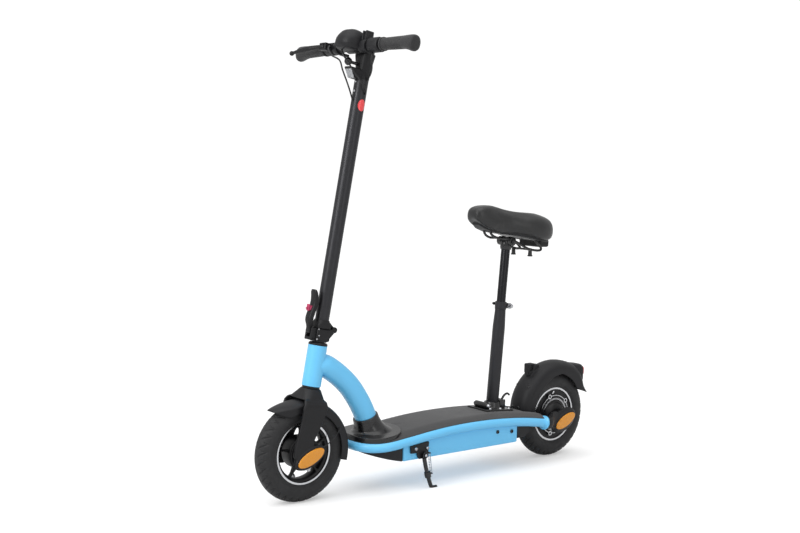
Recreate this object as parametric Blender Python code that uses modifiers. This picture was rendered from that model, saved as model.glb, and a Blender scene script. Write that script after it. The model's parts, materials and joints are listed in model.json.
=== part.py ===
"""Electric kick scooter with a seat: light-blue tube frame, small air tyres, hub motor and folding stem.

The scooter is drawn upright in metres: X forward, Y to its left, Z up, X = 0 halfway between the axles and the
ground at Z = 0. The last lines lean it onto its kickstand and put the middle of its footprint on the origin.
"""
import math

import bmesh
import bpy
import numpy as np
from mathutils import Matrix, Vector

# Stance and clearances
WHEELBASE = 0.887
LEAN = math.radians(2.4)
GAP = 0.0003

# Wheels and tyres
TYRE_R = 0.127
TYRE_SECTION_R = 0.0275
RIM_R = 0.0795
RIM_HALF = 0.0200
RIM_LIP = 0.0035
AXLE_R = 0.0050
WHEEL_STEPS = 28
SPOKES = 5
SPOKE_WIDTH = 0.0090
FRONT_DRUM_R = 0.0420
FRONT_DRUM_HALF = 0.0250
MOTOR_DOME_R = 0.0360
MOTOR_DOME_HALF = 0.0390
MOTOR_LUGS = 5

# Steering line and head tube
RAKE = math.radians(10.0)
STEER_OFFSET = 0.0025
HEAD_LOW = 0.1680
HEAD_LENGTH = 0.1040
HEAD_R = 0.0245
HEAD_BORE_R = 0.0198
STEERER_R = 0.0145
HEAD_FLANGE = 0.0045
CROWN_R = 0.0240

# Fork
BLADE_INSIDE = 0.0410
BLADE_THICK = 0.0110
CROWN_CLEARANCE = 0.0095
FENDER_CLEARANCE = 0.0050
FENDER_WALL = 0.0026
FRONT_FENDER_HALF = 0.0360

# Neck and deck
NECK_R = 0.0290
RAIL_R = 0.0131
RAIL_HALF = 0.0850
RAIL_REAR = -0.3575
RAIL_FLARE_R = 0.0225
NOSE_START = 0.2000
NOSE_LENGTH = 0.0830
ARCH_TOP = 0.1490
ARCH_TOP_X = -0.0600
ARCH_REAR_DROP = 0.0270
ARCH_FRONT_DROP = 0.0235
DECK_PLATE = 0.0040
DECK_PLATE_LIFT = 0.0045
MAT_OVERHANG = 0.0055
MAT_CROWN = 0.0225
MAT_CAMBER = 0.0015
MAT_REAR = -0.3450
MAT_NOTCH_X = -0.2850
MAT_NOTCH_HALF = 0.0420
BOX_FRONT = 0.1750
BOX_REAR = -0.2350
BOX_HALF = 0.0860
BOX_BOTTOM = 0.0820
BOOT_FLANGE_R = 0.0600
BOOT_FLANGE_HEIGHT = 0.0095
BOOT_X = 0.2150

# Kickstand
STAND_PIVOT_X = 0.1105
STAND_PIVOT_Y = 0.0955
STAND_PIVOT_Z = 0.0930
STAND_FOOT_X = 0.0775
STAND_FOOT_Y = 0.1005
STAND_LEG_R = 0.0045
SPRING_WIRE_R = 0.0007
SPRING_R = 0.0026
SPRING_TURNS = 11
SPRING_PIN_R = 0.0022

# Folding joint and stem
COLLAR_R = 0.0205
HINGE_LOW = 0.2812
HINGE_SPLIT = 0.3156
HINGE_TOP_HEIGHT = 0.0214
HINGE_HALF = 0.0205
KNUCKLE_BACK = 0.0306
KNUCKLE_R = 0.0075
KNUCKLE_HALF = 0.0095
HINGE_PIN_R = 0.0035
STEM_R = 0.0180
STEM_WALL = 0.0025
LATCH_FORWARD = 0.0330
LATCH_HEIGHT = 0.3060

# Handlebar and what is on it
BAR_HEIGHT = 1.0280
BAR_FORWARD = 0.0382
BAR_R = 0.0111
BAR_HALF = 0.2455
HEAD_CLAMP_R = 0.0215
GRIP_START = 0.1200
GRIP_END = BAR_HALF + 0.0030
GRIP_R = 0.0150
PERCH_Y = 0.0200 - GRIP_START
LEVER_FORWARD = 0.0270
LEVER_PIN_R = 0.0025
THROTTLE_Y = PERCH_Y + 0.0310
SWITCH_Y = GRIP_START - 0.0280
SWITCH_R = 0.0190

# Seat
SEAT_LEAN = math.radians(4.26)
SEAT_X = -0.2116
SEAT_TUBE_R = 0.0177
SEAT_TOP_R = 0.0154
SEAT_TUBE_LENGTH = 0.3060
SEAT_COLLAR_R = 0.0165
SEAT_COLLAR_HEIGHT = 0.0221
POST_R = 0.0127
POST_LOW = 0.1354
TILT_HEIGHT = 0.4815
POST_TOP = TILT_HEIGHT - 0.0155
TILT_BOLT_R = 0.0040
RAIL_WIRE_R = 0.0035
RAIL_WIRE_HALF = 0.0220
SADDLE_LIP = 0.0120

# Rear arms and fender
ARM_Y = 0.0560
ARM_POD_THICK = 0.0145
REFLECTOR_LONG = 0.0420
REFLECTOR_SHORT = 0.0190
REFLECTOR_THICK = 0.0024
REFLECTOR_TILT = math.radians(24.0)
REAR_FENDER_HALF = 0.0470

UP = Vector((0, 0, 1))
ALONG_Y = Matrix.Rotation(-math.pi / 2, 4, "X")
FACING_Y = Matrix.Rotation(math.pi / 2, 4, "X")

FRONT_AXLE = Vector((WHEELBASE / 2, 0, TYRE_R))
REAR_AXLE = Vector((-WHEELBASE / 2, 0, TYRE_R))
STEM = Matrix.Translation(FRONT_AXLE - Vector((STEER_OFFSET, 0, 0))) @ Matrix.Rotation(-RAKE, 4, "Y")
BAR = STEM @ Matrix.Translation((BAR_FORWARD, 0, BAR_HEIGHT))
HEAD_TOP = HEAD_LOW + HEAD_LENGTH
CROWN_TOP = HEAD_LOW - HEAD_FLANGE - 2 * GAP

for leftover in list(bpy.data.objects):
    bpy.data.objects.remove(leftover)
scooter = bpy.data.collections.new("electric_scooter")
bpy.context.scene.collection.children.link(scooter)


def linear(channel):
    return channel / 12.92 if channel <= 0.04045 else ((channel + 0.055) / 1.055) ** 2.4


def material(name, colour, roughness, metallic=0.0):
    made = bpy.data.materials.new(name)
    made.use_nodes = True
    shader = made.node_tree.nodes["Principled BSDF"]
    rgb = [linear(int(colour[i : i + 2], 16) / 255) for i in (1, 3, 5)]
    shader.inputs["Base Color"].default_value = (*rgb, 1)
    shader.inputs["Roughness"].default_value = roughness
    shader.inputs["Metallic"].default_value = metallic
    made.diffuse_color = (*rgb, 1)
    return made


BLUE_PAINT = material("blue_paint", "#78C8F3", 0.38)
BLACK_METAL = material("black_painted_metal", "#2E2E32", 0.45)
SATIN_BLACK = material("satin_black_tube", "#3C3C40", 0.35)
BLACK_PLASTIC = material("black_plastic", "#343437", 0.5)
RUBBER = material("tyre_rubber", "#2B2B2E", 0.75)
GRIP_RUBBER = material("grip_rubber", "#333336", 0.7)
MAT_RUBBER = material("deck_rubber", "#4B4B4D", 0.8)
BLACK_RIM = material("black_rim", "#1D1D20", 0.35)
STEEL = material("bright_steel", "#B9BABD", 0.3, 1.0)
ORANGE = material("orange_reflector", "#D6920F", 0.3)
RED_LENS = material("red_lens", "#C02228", 0.2)
RED_CATCH = material("red_catch", "#A52D55", 0.4)
CLEAR_LENS = material("clear_lens", "#D4D5D6", 0.15)
DARK_GLASS = material("dark_display_glass", "#0C0D10", 0.1)
LEATHER = material("black_leather", "#262629", 0.5)
CABLE_BLACK = material("cable_jacket", "#1E1E20", 0.5)


def link(name, data, frame=Matrix()):
    made = bpy.data.objects.new(name, data)
    scooter.objects.link(made)
    made.matrix_world = frame
    return made


def solid(name, bm, frame=Matrix()):
    """An object from a closed bmesh, with its faces turned outwards."""
    bmesh.ops.recalc_face_normals(bm, faces=bm.faces)
    mesh = bpy.data.meshes.new(name)
    bm.to_mesh(mesh)
    bm.free()
    return link(name, mesh, frame)


def baked(obj):
    """The same object as a plain welded mesh, with its curve or modifiers turned into faces."""
    bpy.context.view_layer.update()
    graph = bpy.context.evaluated_depsgraph_get()
    mesh = bpy.data.meshes.new_from_object(obj.evaluated_get(graph), depsgraph=graph)
    bm = bmesh.new()
    bm.from_mesh(mesh)
    bpy.data.meshes.remove(mesh)
    bmesh.ops.remove_doubles(bm, verts=bm.verts, dist=0.00002)
    bmesh.ops.dissolve_degenerate(bm, edges=bm.edges, dist=0.000001)
    name, frame = obj.name, obj.matrix_world.copy()
    bpy.data.objects.remove(obj)
    return solid(name, bm, frame)


def combined(base, others, operation):
    base = baked(base)
    others = [baked(other) for other in others]
    for other in others:
        step = base.modifiers.new(operation.lower(), "BOOLEAN")
        step.operation = operation
        step.object = other
    base = baked(base)
    for other in others:
        bpy.data.objects.remove(other)
    return base


def joined(base, *others):
    return combined(base, others, "UNION")


def cut(base, *cutters):
    return combined(base, cutters, "DIFFERENCE")


def turned(name, profile, frame=Matrix(), steps=16, phase=0.0):
    """A closed profile of (radius, height) pairs, down its outer side first, turned about local Z."""
    bm = bmesh.new()
    corners = [bm.verts.new((radius, 0, height)) for radius, height in profile]
    bmesh.ops.rotate(bm, verts=bm.verts, matrix=Matrix.Rotation(phase, 3, "Z"))
    for here, following in zip(corners, corners[1:] + corners[:1]):
        if profile[corners.index(here)][0] > 0 or profile[corners.index(following)][0] > 0:
            bm.edges.new((here, following))
    mesh = bpy.data.meshes.new(name)
    bm.to_mesh(mesh)
    bm.free()
    made = link(name, mesh, frame)
    screw = made.modifiers.new("turn", "SCREW")
    screw.axis = "Z"
    screw.steps = screw.render_steps = steps
    screw.use_merge_vertices = True
    screw.merge_threshold = 0.00005
    return baked(made)


def rod(name, start, end, radius, frame=Matrix(), sides=12, end_radius=None):
    """A straight round bar between two points, from a cone primitive."""
    start, end = Vector(start), Vector(end)
    bm = bmesh.new()
    bmesh.ops.create_cone(
        bm,
        cap_ends=True,
        segments=sides,
        radius1=radius,
        radius2=radius if end_radius is None else end_radius,
        depth=(end - start).length,
    )
    turn = (end - start).to_track_quat("Z", "Y").to_matrix().to_4x4()
    bmesh.ops.transform(bm, matrix=Matrix.Translation((start + end) / 2) @ turn, verts=bm.verts)
    return solid(name, bm, frame)


def ball(name, centre, radius, frame=Matrix(), rings=8):
    bm = bmesh.new()
    bmesh.ops.create_uvsphere(bm, u_segments=2 * rings, v_segments=rings, radius=radius)
    bmesh.ops.translate(bm, verts=bm.verts, vec=centre)
    return solid(name, bm, frame)


def block(name, low, high, rounding=0.0, frame=Matrix(), segments=1):
    """A box between two corners, with its edges rounded."""
    low, high = Vector(low), Vector(high)
    bm = bmesh.new()
    bmesh.ops.create_cube(bm, size=1)
    bmesh.ops.scale(bm, verts=bm.verts, vec=high - low)
    bmesh.ops.translate(bm, verts=bm.verts, vec=(low + high) / 2)
    if rounding:
        bmesh.ops.bevel(
            bm, geom=bm.edges[:], offset=rounding, segments=segments, profile=0.5, affect="EDGES"
        )
    return solid(name, bm, frame)


def smooth(points, count):
    """Evenly spaced points on a smooth curve through the given ones; any further values run along."""
    given = np.array([tuple(point) for point in points], float)
    given = np.vstack([2 * given[0] - given[1], given, 2 * given[-1] - given[-2]])
    fine = []
    for before, start, end, after in zip(given, given[1:], given[2:], given[3:]):
        for t in np.linspace(0, 1, 24, endpoint=False):
            fine.append(
                0.5
                * (
                    2 * start
                    + (end - before) * t
                    + (2 * before - 5 * start + 4 * end - after) * t**2
                    + (3 * start - before - 3 * end + after) * t**3
                )
            )
    fine = np.array(fine + [given[-2]])
    run = np.concatenate([[0], np.cumsum(np.linalg.norm(np.diff(fine[:, :3], axis=0), axis=1))])
    wanted = np.linspace(0, run[-1], count)
    return np.stack([np.interp(wanted, run, column) for column in fine.T], axis=1)


def tube(name, points, radius, frame=Matrix(), sides=8, factors=None):
    """A round tube along a row of points, thicker or thinner by its factors."""
    curve = bpy.data.curves.new(name, "CURVE")
    curve.dimensions = "3D"
    curve.bevel_depth = radius
    curve.bevel_resolution = (sides - 4) // 2
    curve.use_fill_caps = True
    spline = curve.splines.new("POLY")
    spline.points.add(len(points) - 1)
    for place, (spot, point) in enumerate(zip(spline.points, points)):
        spot.co = (*point[:3], 1)
        spot.radius = 1 if factors is None else factors[place]
    return baked(link(name, curve, frame))


def plate(name, outline, thickness, frame=Matrix()):
    """A flat outline of (x, y) pairs, half its thickness to each side."""
    curve = bpy.data.curves.new(name, "CURVE")
    curve.dimensions = "2D"
    curve.fill_mode = "BOTH"
    curve.extrude = thickness / 2
    spline = curve.splines.new("POLY")
    spline.points.add(len(outline) - 1)
    for spot, (x, y) in zip(spline.points, outline):
        spot.co = (x, y, 0, 1)
    spline.use_cyclic_u = True
    return baked(link(name, curve, frame))


def slab(name, along, across, lower, upper, frame=Matrix()):
    """A grid of faces and its copy, laid onto a lower and an upper surface, with the sides closed."""
    bm = bmesh.new()
    bmesh.ops.create_grid(bm, x_segments=along, y_segments=across, size=0.5)
    made = bmesh.ops.extrude_face_region(bm, geom=bm.faces[:])
    raised = {item for item in made["geom"] if isinstance(item, bmesh.types.BMVert)}
    for vert in bm.verts:
        surface = upper if vert in raised else lower
        vert.co = surface(vert.co.x + 0.5, vert.co.y + 0.5)
    return solid(name, bm, frame)


def shell(name, along, across, surface, thickness, frame=Matrix()):
    """An open sheet laid onto a surface and thickened inwards."""
    bm = bmesh.new()
    bmesh.ops.create_grid(bm, x_segments=along, y_segments=across, size=0.5)
    for vert in bm.verts:
        vert.co = surface(vert.co.x + 0.5, vert.co.y + 0.5)
    mesh = bpy.data.meshes.new(name)
    bm.to_mesh(mesh)
    bm.free()
    made = link(name, mesh, frame)
    wall = made.modifiers.new("wall", "SOLIDIFY")
    wall.thickness = thickness
    wall.offset = -1
    return baked(made)


def ring_points(centre, wide, high, power, sides):
    """Points round an oval that turns squarer as its power grows."""
    points = []
    for step in range(sides):
        angle = 2 * math.pi * (step + 0.5) / sides
        c, s = math.cos(angle), math.sin(angle)
        points.append(
            Vector(centre)
            + Vector(wide) * math.copysign(abs(c) ** (2 / power), c)
            + Vector(high) * math.copysign(abs(s) ** (2 / power), s)
        )
    return points


def loft(name, rings, frame=Matrix()):
    """A skin over a row of unlike rings with equal counts, closed at both ends."""
    bm = bmesh.new()
    rows = [[bm.verts.new(point) for point in ring] for ring in rings]
    for row, following in zip(rows, rows[1:]):
        for a, b, c, d in zip(row, row[1:] + row[:1], following[1:] + following[:1], following):
            bm.faces.new((a, b, c, d))
    bm.faces.new(rows[0])
    bm.faces.new(rows[-1])
    return solid(name, bm, frame)


def along_z(rows, sides=20):
    """Rings across local Z from (height, x, half length, half width, power)."""
    return [ring_points((x, 0, z), (a, 0, 0), (0, b, 0), n, sides) for z, x, a, b, n in rows]


def along_y(rows, sides=20):
    """Rings across local Y from (y, x, z, half length, half height, power)."""
    return [ring_points((x, y, z), (a, 0, 0), (0, 0, b), n, sides) for y, x, z, a, b, n in rows]


finished = []


def finish(name, obj, look, sharp=35.0):
    obj = baked(obj)
    obj.name = obj.data.name = name
    obj.data.materials.clear()
    obj.data.materials.append(look)
    obj.data.shade_smooth()
    obj.data.set_sharp_from_angle(angle=math.radians(sharp))
    finished.append(obj)
    return obj


def arch(x):
    """Height of the deck rails' centre line, which rises to its top behind the middle."""
    if x < ARCH_TOP_X:
        reach = (ARCH_TOP_X - x) / (ARCH_TOP_X - RAIL_REAR)
        return ARCH_TOP - ARCH_REAR_DROP * reach**2.15
    reach = min((x - ARCH_TOP_X) / (NOSE_START + 0.1 - ARCH_TOP_X), 1)
    return ARCH_TOP - ARCH_FRONT_DROP * (0.5 - 0.5 * math.cos(math.pi * reach**1.13))


def mat_top(x, y):
    edge = RAIL_HALF + MAT_OVERHANG
    return arch(x) + MAT_CROWN - MAT_CAMBER * (y / edge) ** 2


def rail_route(count_side=7, count_nose=10):
    """From the left rear end forward, round the nose and back to the right rear end."""
    side = [(x, RAIL_HALF) for x in np.linspace(RAIL_REAR + 0.03, NOSE_START, count_side)]
    flare = [(RAIL_REAR + step, RAIL_HALF) for step in (0, 0.003, 0.008, 0.016)]
    left = flare + side
    nose = []
    for step in range(1, count_nose):
        angle = math.pi / 2 - math.pi * step / count_nose
        c, s = math.cos(angle), math.sin(angle)
        nose.append(
            (
                NOSE_START + NOSE_LENGTH * abs(c) ** 0.8,
                math.copysign(RAIL_HALF * abs(s) ** 0.8, s),
            )
        )
    right = [(x, -y) for x, y in reversed(left)]
    return [(x, y, arch(x)) for x, y in left + nose + right]


def rail_tube(name, extra=0.0):
    route = rail_route()
    factors = [1.0] * len(route)
    for place, radius in enumerate((RAIL_FLARE_R, 0.0215, 0.0165, 0.0138)):
        factors[place] = factors[-1 - place] = (radius + extra) / (RAIL_R + extra)
    return tube(name, route, RAIL_R + extra, sides=8, factors=factors)


def steer_point(height):
    """The point of the steering line at this height above the ground."""
    return Vector((FRONT_AXLE.x - STEER_OFFSET - math.tan(RAKE) * (height - TYRE_R), 0, height))


def neck_route():
    top = steer_point(0.345)
    return [
        (top.x, 0, top.z, HEAD_BORE_R + 0.0035),
        (0.3860, 0, 0.3430, 0.0265),
        (0.3700, 0, 0.3400, NECK_R),
        (0.3300, 0, 0.3135, NECK_R),
        (0.2928, 0, 0.2795, NECK_R),
        (0.2620, 0, 0.2380, NECK_R),
        (0.2409, 0, 0.1994, NECK_R),
        (0.2280, 0, 0.1650, NECK_R),
        (0.2200, 0, 0.1350, NECK_R),
        (0.2190, 0, 0.1265, NECK_R),
    ]


def neck_tube(name, extra=0.0, sides=16):
    points = smooth(neck_route(), 10)
    factors = (points[:, 3] + extra) / (NECK_R + extra)
    return tube(name, points, NECK_R + extra, sides=sides, factors=list(factors))


# Frame: head tube, curved neck, hooped rails and the deck plate between them, in one weldment
def deck_half(x, reach):
    """Half width of the deck at x, where reach is how far past the rails' centre line it goes."""
    if x <= NOSE_START:
        return RAIL_HALF + reach
    share = min((x - NOSE_START) / (NOSE_LENGTH + reach), 1)
    return (RAIL_HALF + reach) * (1 - share**2.5) ** 0.4


def deck_stations(rear, reach):
    """Distances along the deck, closer together round its nose."""
    straight = [rear] + [x for x in np.linspace(MAT_REAR, NOSE_START, 10) if x > rear + 0.001]
    round_nose = [
        NOSE_START + (NOSE_LENGTH + reach) * math.sin(math.radians(angle))
        for angle in (27, 49, 66, 79)
    ]
    return straight + round_nose


def deck_slab(name, rear, reach, low, high, across=6):
    xs = deck_stations(rear, reach)

    def surface(height):
        def at(u, v):
            x = xs[round(u * (len(xs) - 1))]
            y = (1 - 2 * v) * deck_half(x, reach)
            return Vector((x, y, height(x, y)))

        return at

    return slab(name, len(xs) - 1, across, surface(low), surface(high))


head = rod("head_tube", (0, 0, HEAD_LOW), (0, 0, HEAD_TOP), HEAD_R, STEM, 20)
deck_plate = deck_slab(
    "deck_plate",
    MAT_NOTCH_X,
    -0.004,
    lambda x, y: arch(x) + DECK_PLATE_LIFT,
    lambda x, y: arch(x) + DECK_PLATE_LIFT + DECK_PLATE,
    2,
)
head_bore = rod("head_bore", (0, 0, HEAD_LOW - 0.02), (0, 0, HEAD_TOP + 0.02), HEAD_BORE_R, STEM, 16)
frame = joined(rail_tube("rails"), deck_plate, neck_tube("neck"), head)
frame = finish("frame", cut(frame, head_bore), BLUE_PAINT)

# Deck mat: a thick rubber cover that laps onto the rails, notched for the rear wheel
mat = deck_slab(
    "mat",
    MAT_REAR,
    MAT_OVERHANG,
    lambda x, y: arch(x) + DECK_PLATE_LIFT + DECK_PLATE + GAP,
    lambda x, y: mat_top(x, y) - 0.0075 * max(0, abs(y) / deck_half(x, MAT_OVERHANG) - 0.67) / 0.33,
    6,
)
notch = block(
    "notch",
    (MAT_REAR - 0.02, -MAT_NOTCH_HALF, 0.05),
    (MAT_NOTCH_X + 0.012, MAT_NOTCH_HALF, 0.25),
    0.012,
)
mat = cut(mat, rail_tube("rail_room", GAP), neck_tube("neck_room", GAP), notch)
mat = finish("deck_mat", mat, MAT_RUBBER)


# Battery box under the deck: a closed housing that the rails rest along
def cover_surface(front, rear, half, height):
    ys = [half, half - 0.008, half - 0.0135, half - 0.02, 0]
    ys = ys + [-y for y in reversed(ys[:-1])]

    def at(u, v):
        x = rear + (front - rear) * u
        y = ys[round(v * 8)]
        narrow = deck_half(min(x, NOSE_START + NOSE_LENGTH - 0.002), -0.001) / RAIL_HALF
        return Vector((x, y * narrow, height(x, y)))

    return at


def under_plate(x, y):
    return arch(x) + DECK_PLATE_LIFT - 3 * GAP


def under_deck(name, front, rear, half, bottom):
    """A body under the deck plate between two stations, let into the rails' underside."""
    made = slab(
        name, 7, 8, cover_surface(front, rear, half, bottom), cover_surface(front, rear, half, under_plate)
    )
    return cut(made, rail_tube("rail_room", GAP))


battery_box = under_deck("box", BOX_FRONT, BOX_REAR, BOX_HALF, lambda x, y: BOX_BOTTOM)
battery_box = finish("battery_box", battery_box, BLUE_PAINT)


def nose_bottom(x):
    """Underside of the cover between the battery box and the deck's nose."""
    reach = max((x - BOX_FRONT) / (0.300 - BOX_FRONT), 0)
    return BOX_BOTTOM + 0.0002 + 0.035 * reach**1.15


front_cover = under_deck(
    "front_cover", NOSE_START + 0.0740, BOX_FRONT + GAP, BOX_HALF - 0.002, lambda x, y: nose_bottom(x)
)
finish("front_cover", cut(front_cover, neck_tube("neck_room", GAP)), BLACK_PLASTIC)

rear_cover = block(
    "rear_cover",
    (BOX_REAR - 0.0500, -BOX_HALF + 0.002, BOX_BOTTOM + 0.010),
    (BOX_REAR - GAP, BOX_HALF - 0.002, arch(BOX_REAR - 0.05) + DECK_PLATE_LIFT - 2 * GAP),
    0.003,
)
slope = block("slope", (-0.05, -0.1, -0.06), (0.05, 0.1, 0), 0)
slope.matrix_world = Matrix.Translation((BOX_REAR - 0.052, 0, 0.108)) @ Matrix.Rotation(
    math.radians(32), 4, "Y"
)
wheel_room = turned(
    "wheel_room",
    [(0, 0.040), (TYRE_R + 0.010, 0.040), (TYRE_R + 0.010, -0.040), (0, -0.040)],
    Matrix.Translation(REAR_AXLE) @ ALONG_Y,
    32,
)
rear_cover = cut(rear_cover, slope, rail_tube("rail_room", GAP), wheel_room)
finish("rear_cover", rear_cover, BLACK_PLASTIC)

def mat_space():
    """Everything under the mat's top, which pieces that stand on the mat stay out of."""
    return deck_slab(
        "mat_space",
        MAT_REAR - 0.02,
        MAT_OVERHANG + 0.02,
        lambda x, y: 0.05,
        lambda x, y: mat_top(x, y) + GAP,
        4,
    )


# Rubber boot where the neck enters the deck: a round flange drawn up into a collar
boot_seat = mat_top(BOOT_X, 0)
boot = tube(
    "boot",
    [
        (BOOT_X, 0, boot_seat - 0.006),
        (BOOT_X, 0, boot_seat + BOOT_FLANGE_HEIGHT - 0.0015),
        (BOOT_X + 0.0002, 0, boot_seat + BOOT_FLANGE_HEIGHT + 0.0005),
        (0.2180, 0, boot_seat + 0.0160),
        (0.2235, 0, boot_seat + 0.0280),
        (0.2290, 0, boot_seat + 0.0370),
        (0.2350, 0, boot_seat + 0.0470),
        (0.2357, 0, boot_seat + 0.0482),
    ],
    BOOT_FLANGE_R,
    sides=16,
    factors=[
        1.0,
        1.0,
        0.97,
        0.74,
        0.615,
        0.578,
        (NECK_R + 0.005) / BOOT_FLANGE_R,
        (NECK_R + 0.0038) / BOOT_FLANGE_R,
    ],
)
boot = cut(boot, neck_tube("neck_room", GAP), mat_space())
finish("neck_boot", boot, BLACK_PLASTIC)

# Headset: lower ring, sleeve and top cap that the steerer turns in
headset = turned(
    "headset",
    [
        (STEERER_R + GAP, HEAD_TOP + 0.0075),
        (HEAD_R - 0.0030, HEAD_TOP + 0.0075),
        (HEAD_R, HEAD_TOP + 0.0045),
        (HEAD_R, HEAD_TOP + GAP),
        (HEAD_BORE_R - GAP, HEAD_TOP + GAP),
        (HEAD_BORE_R - GAP, HEAD_LOW - GAP),
        (HEAD_R - 0.0020, HEAD_LOW - GAP),
        (HEAD_R - 0.0020, HEAD_LOW - HEAD_FLANGE - GAP),
        (STEERER_R + GAP, HEAD_LOW - HEAD_FLANGE - GAP),
    ],
    STEM,
)
finish("headset", headset, BLACK_METAL)


# Wheels
def tyre_profile(points=8):
    centre = TYRE_R - TYRE_SECTION_R
    seat = RIM_R + GAP
    limit = math.acos((seat - centre) / TYRE_SECTION_R)
    return [
        (
            centre + TYRE_SECTION_R * math.cos(angle),
            TYRE_SECTION_R * math.sin(angle),
        )
        for angle in np.linspace(limit, -limit, points)
    ]


HALF_STEP = math.pi / WHEEL_STEPS
FRONT_WHEEL = Matrix.Translation(FRONT_AXLE) @ ALONG_Y
REAR_WHEEL = Matrix.Translation(REAR_AXLE) @ ALONG_Y


def mirrored(half):
    """A profile from its upper half, closed by the same corners below in turn."""
    return half + [(radius, -height) for radius, height in reversed(half)]


for name, where in (("front_tyre", FRONT_WHEEL), ("rear_tyre", REAR_WHEEL)):
    finish(name, turned(name, tyre_profile(), where, WHEEL_STEPS, HALF_STEP), RUBBER)

rim = turned(
    "rim",
    mirrored(
        [
            (0.0690, 0.0130),
            (RIM_R - RIM_LIP, RIM_HALF),
            (RIM_R, RIM_HALF),
        ]
    ),
    FRONT_WHEEL,
    WHEEL_STEPS,
    HALF_STEP,
)
drum = turned(
    "drum",
    mirrored(
        [
            (AXLE_R + GAP, FRONT_DRUM_HALF - 0.002),
            (FRONT_DRUM_R, FRONT_DRUM_HALF - 0.004),
        ]
    ),
    FRONT_WHEEL,
)
spokes = []
for step in range(SPOKES):
    angle = math.radians(-59) + 2 * math.pi * step / SPOKES
    spoke = block(
        "spoke",
        (FRONT_DRUM_R - 0.003, -SPOKE_WIDTH / 2, -0.0080),
        (0.0715, SPOKE_WIDTH / 2, 0.0080),
        0,
        FRONT_WHEEL @ Matrix.Rotation(-angle, 4, "Z"),
    )
    spokes.append(spoke)
front_wheel = finish("front_wheel", joined(rim, drum, *spokes), BLACK_RIM)

hub = turned(
    "hub",
    mirrored(
        [
            (AXLE_R + GAP, MOTOR_DOME_HALF),
            (0.0260, MOTOR_DOME_HALF - 0.0020),
            (MOTOR_DOME_R, MOTOR_DOME_HALF - 0.0100),
            (MOTOR_DOME_R + 0.0120, 0.0240),
            (0.0565, 0.0235),
            (0.0585, 0.0176),
            (RIM_R - RIM_LIP - 0.0010, 0.0176),
            (RIM_R - RIM_LIP, RIM_HALF + 0.0004),
            (RIM_R, RIM_HALF + 0.0004),
        ]
    ),
    REAR_WHEEL,
    WHEEL_STEPS,
    HALF_STEP,
)
lugs = []
for step in range(MOTOR_LUGS):
    angle = math.radians(68) + 2 * math.pi * step / MOTOR_LUGS
    spot = (0.0580 * math.cos(angle), 0.0580 * math.sin(angle), 0)
    ends = [(spot[0], spot[1], level) for level in (0.0150, 0.0231)]
    lugs.append(rod("lug", ends[0], ends[1], 0.0048, REAR_WHEEL, 6))
finish("rear_hub", joined(hub, *lugs), BLACK_RIM)


def axle(name, centre, half):
    return rod(name, (0, -half, 0), (0, half, 0), AXLE_R, Matrix.Translation(centre), 12)


BLADE_OUTSIDE = BLADE_INSIDE + BLADE_THICK
finish("front_axle", axle("front_axle", FRONT_AXLE, BLADE_OUTSIDE - 0.004), STEEL)
finish("rear_axle", axle("rear_axle", REAR_AXLE, ARM_Y + ARM_POD_THICK - 0.005), STEEL)


# Fork: steerer, crown and two blades that end in oval pods
def oval(y, centre, long, short, tilt, sides=16):
    """A tilted oval ring across Y; it rises to the rear."""
    rear_up = Vector((-math.cos(tilt), 0, math.sin(tilt)))
    upward = Vector((math.sin(tilt), 0, math.cos(tilt)))
    return ring_points(Vector((centre[0], y, centre[2])), rear_up * long, upward * short, 2, sides)


def pod(name, centre, side, inside, thick, grow=0.0055):
    long, short = REFLECTOR_LONG + grow, REFLECTOR_SHORT + grow
    rows = ((0, 0.95), (0.2, 1.0), (1.0, 0.95))
    rings = [
        oval(side * (inside + share * thick), centre, long * size, short * size, REFLECTOR_TILT)
        for share, size in rows
    ]
    return loft(name, rings)


def reflector(name, centre, side, seat):
    rows = ((0, 1.0), (1.0, 0.90))
    rings = [
        oval(
            side * (seat + GAP + share * REFLECTOR_THICK),
            centre,
            REFLECTOR_LONG * size,
            REFLECTOR_SHORT * size,
            REFLECTOR_TILT,
        )
        for share, size in rows
    ]
    return finish(name, loft(name, rings), ORANGE)


CROWN_LOW = 2 * TYRE_R + CROWN_CLEARANCE
FRONT_POD = FRONT_AXLE + Vector((0, 0, -0.0045))
REAR_POD = REAR_AXLE + Vector((0, 0, -0.0110))


def blade_outline():
    """Side view of a blade, from the crown down its rear edge and up its front edge."""
    rear = [(0.391, CROWN_LOW + 0.004), (0.392, 0.2407), (0.406, 0.2099), (0.428, 0.170), (0.4320, 0.127)]
    front = [(0.4560, 0.127), (0.4810, 0.142), (0.478, 0.1785), (0.469, 0.2099), (0.464, 0.2407)]
    front.append((0.460, CROWN_LOW + 0.004))
    shift = FRONT_AXLE.x - 0.4435
    both = list(smooth([(x, z, 0) for x, z in rear], 6)) + list(smooth([(x, z, 0) for x, z in front], 6))
    return [(x + shift, z) for x, z, _ in both]


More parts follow.
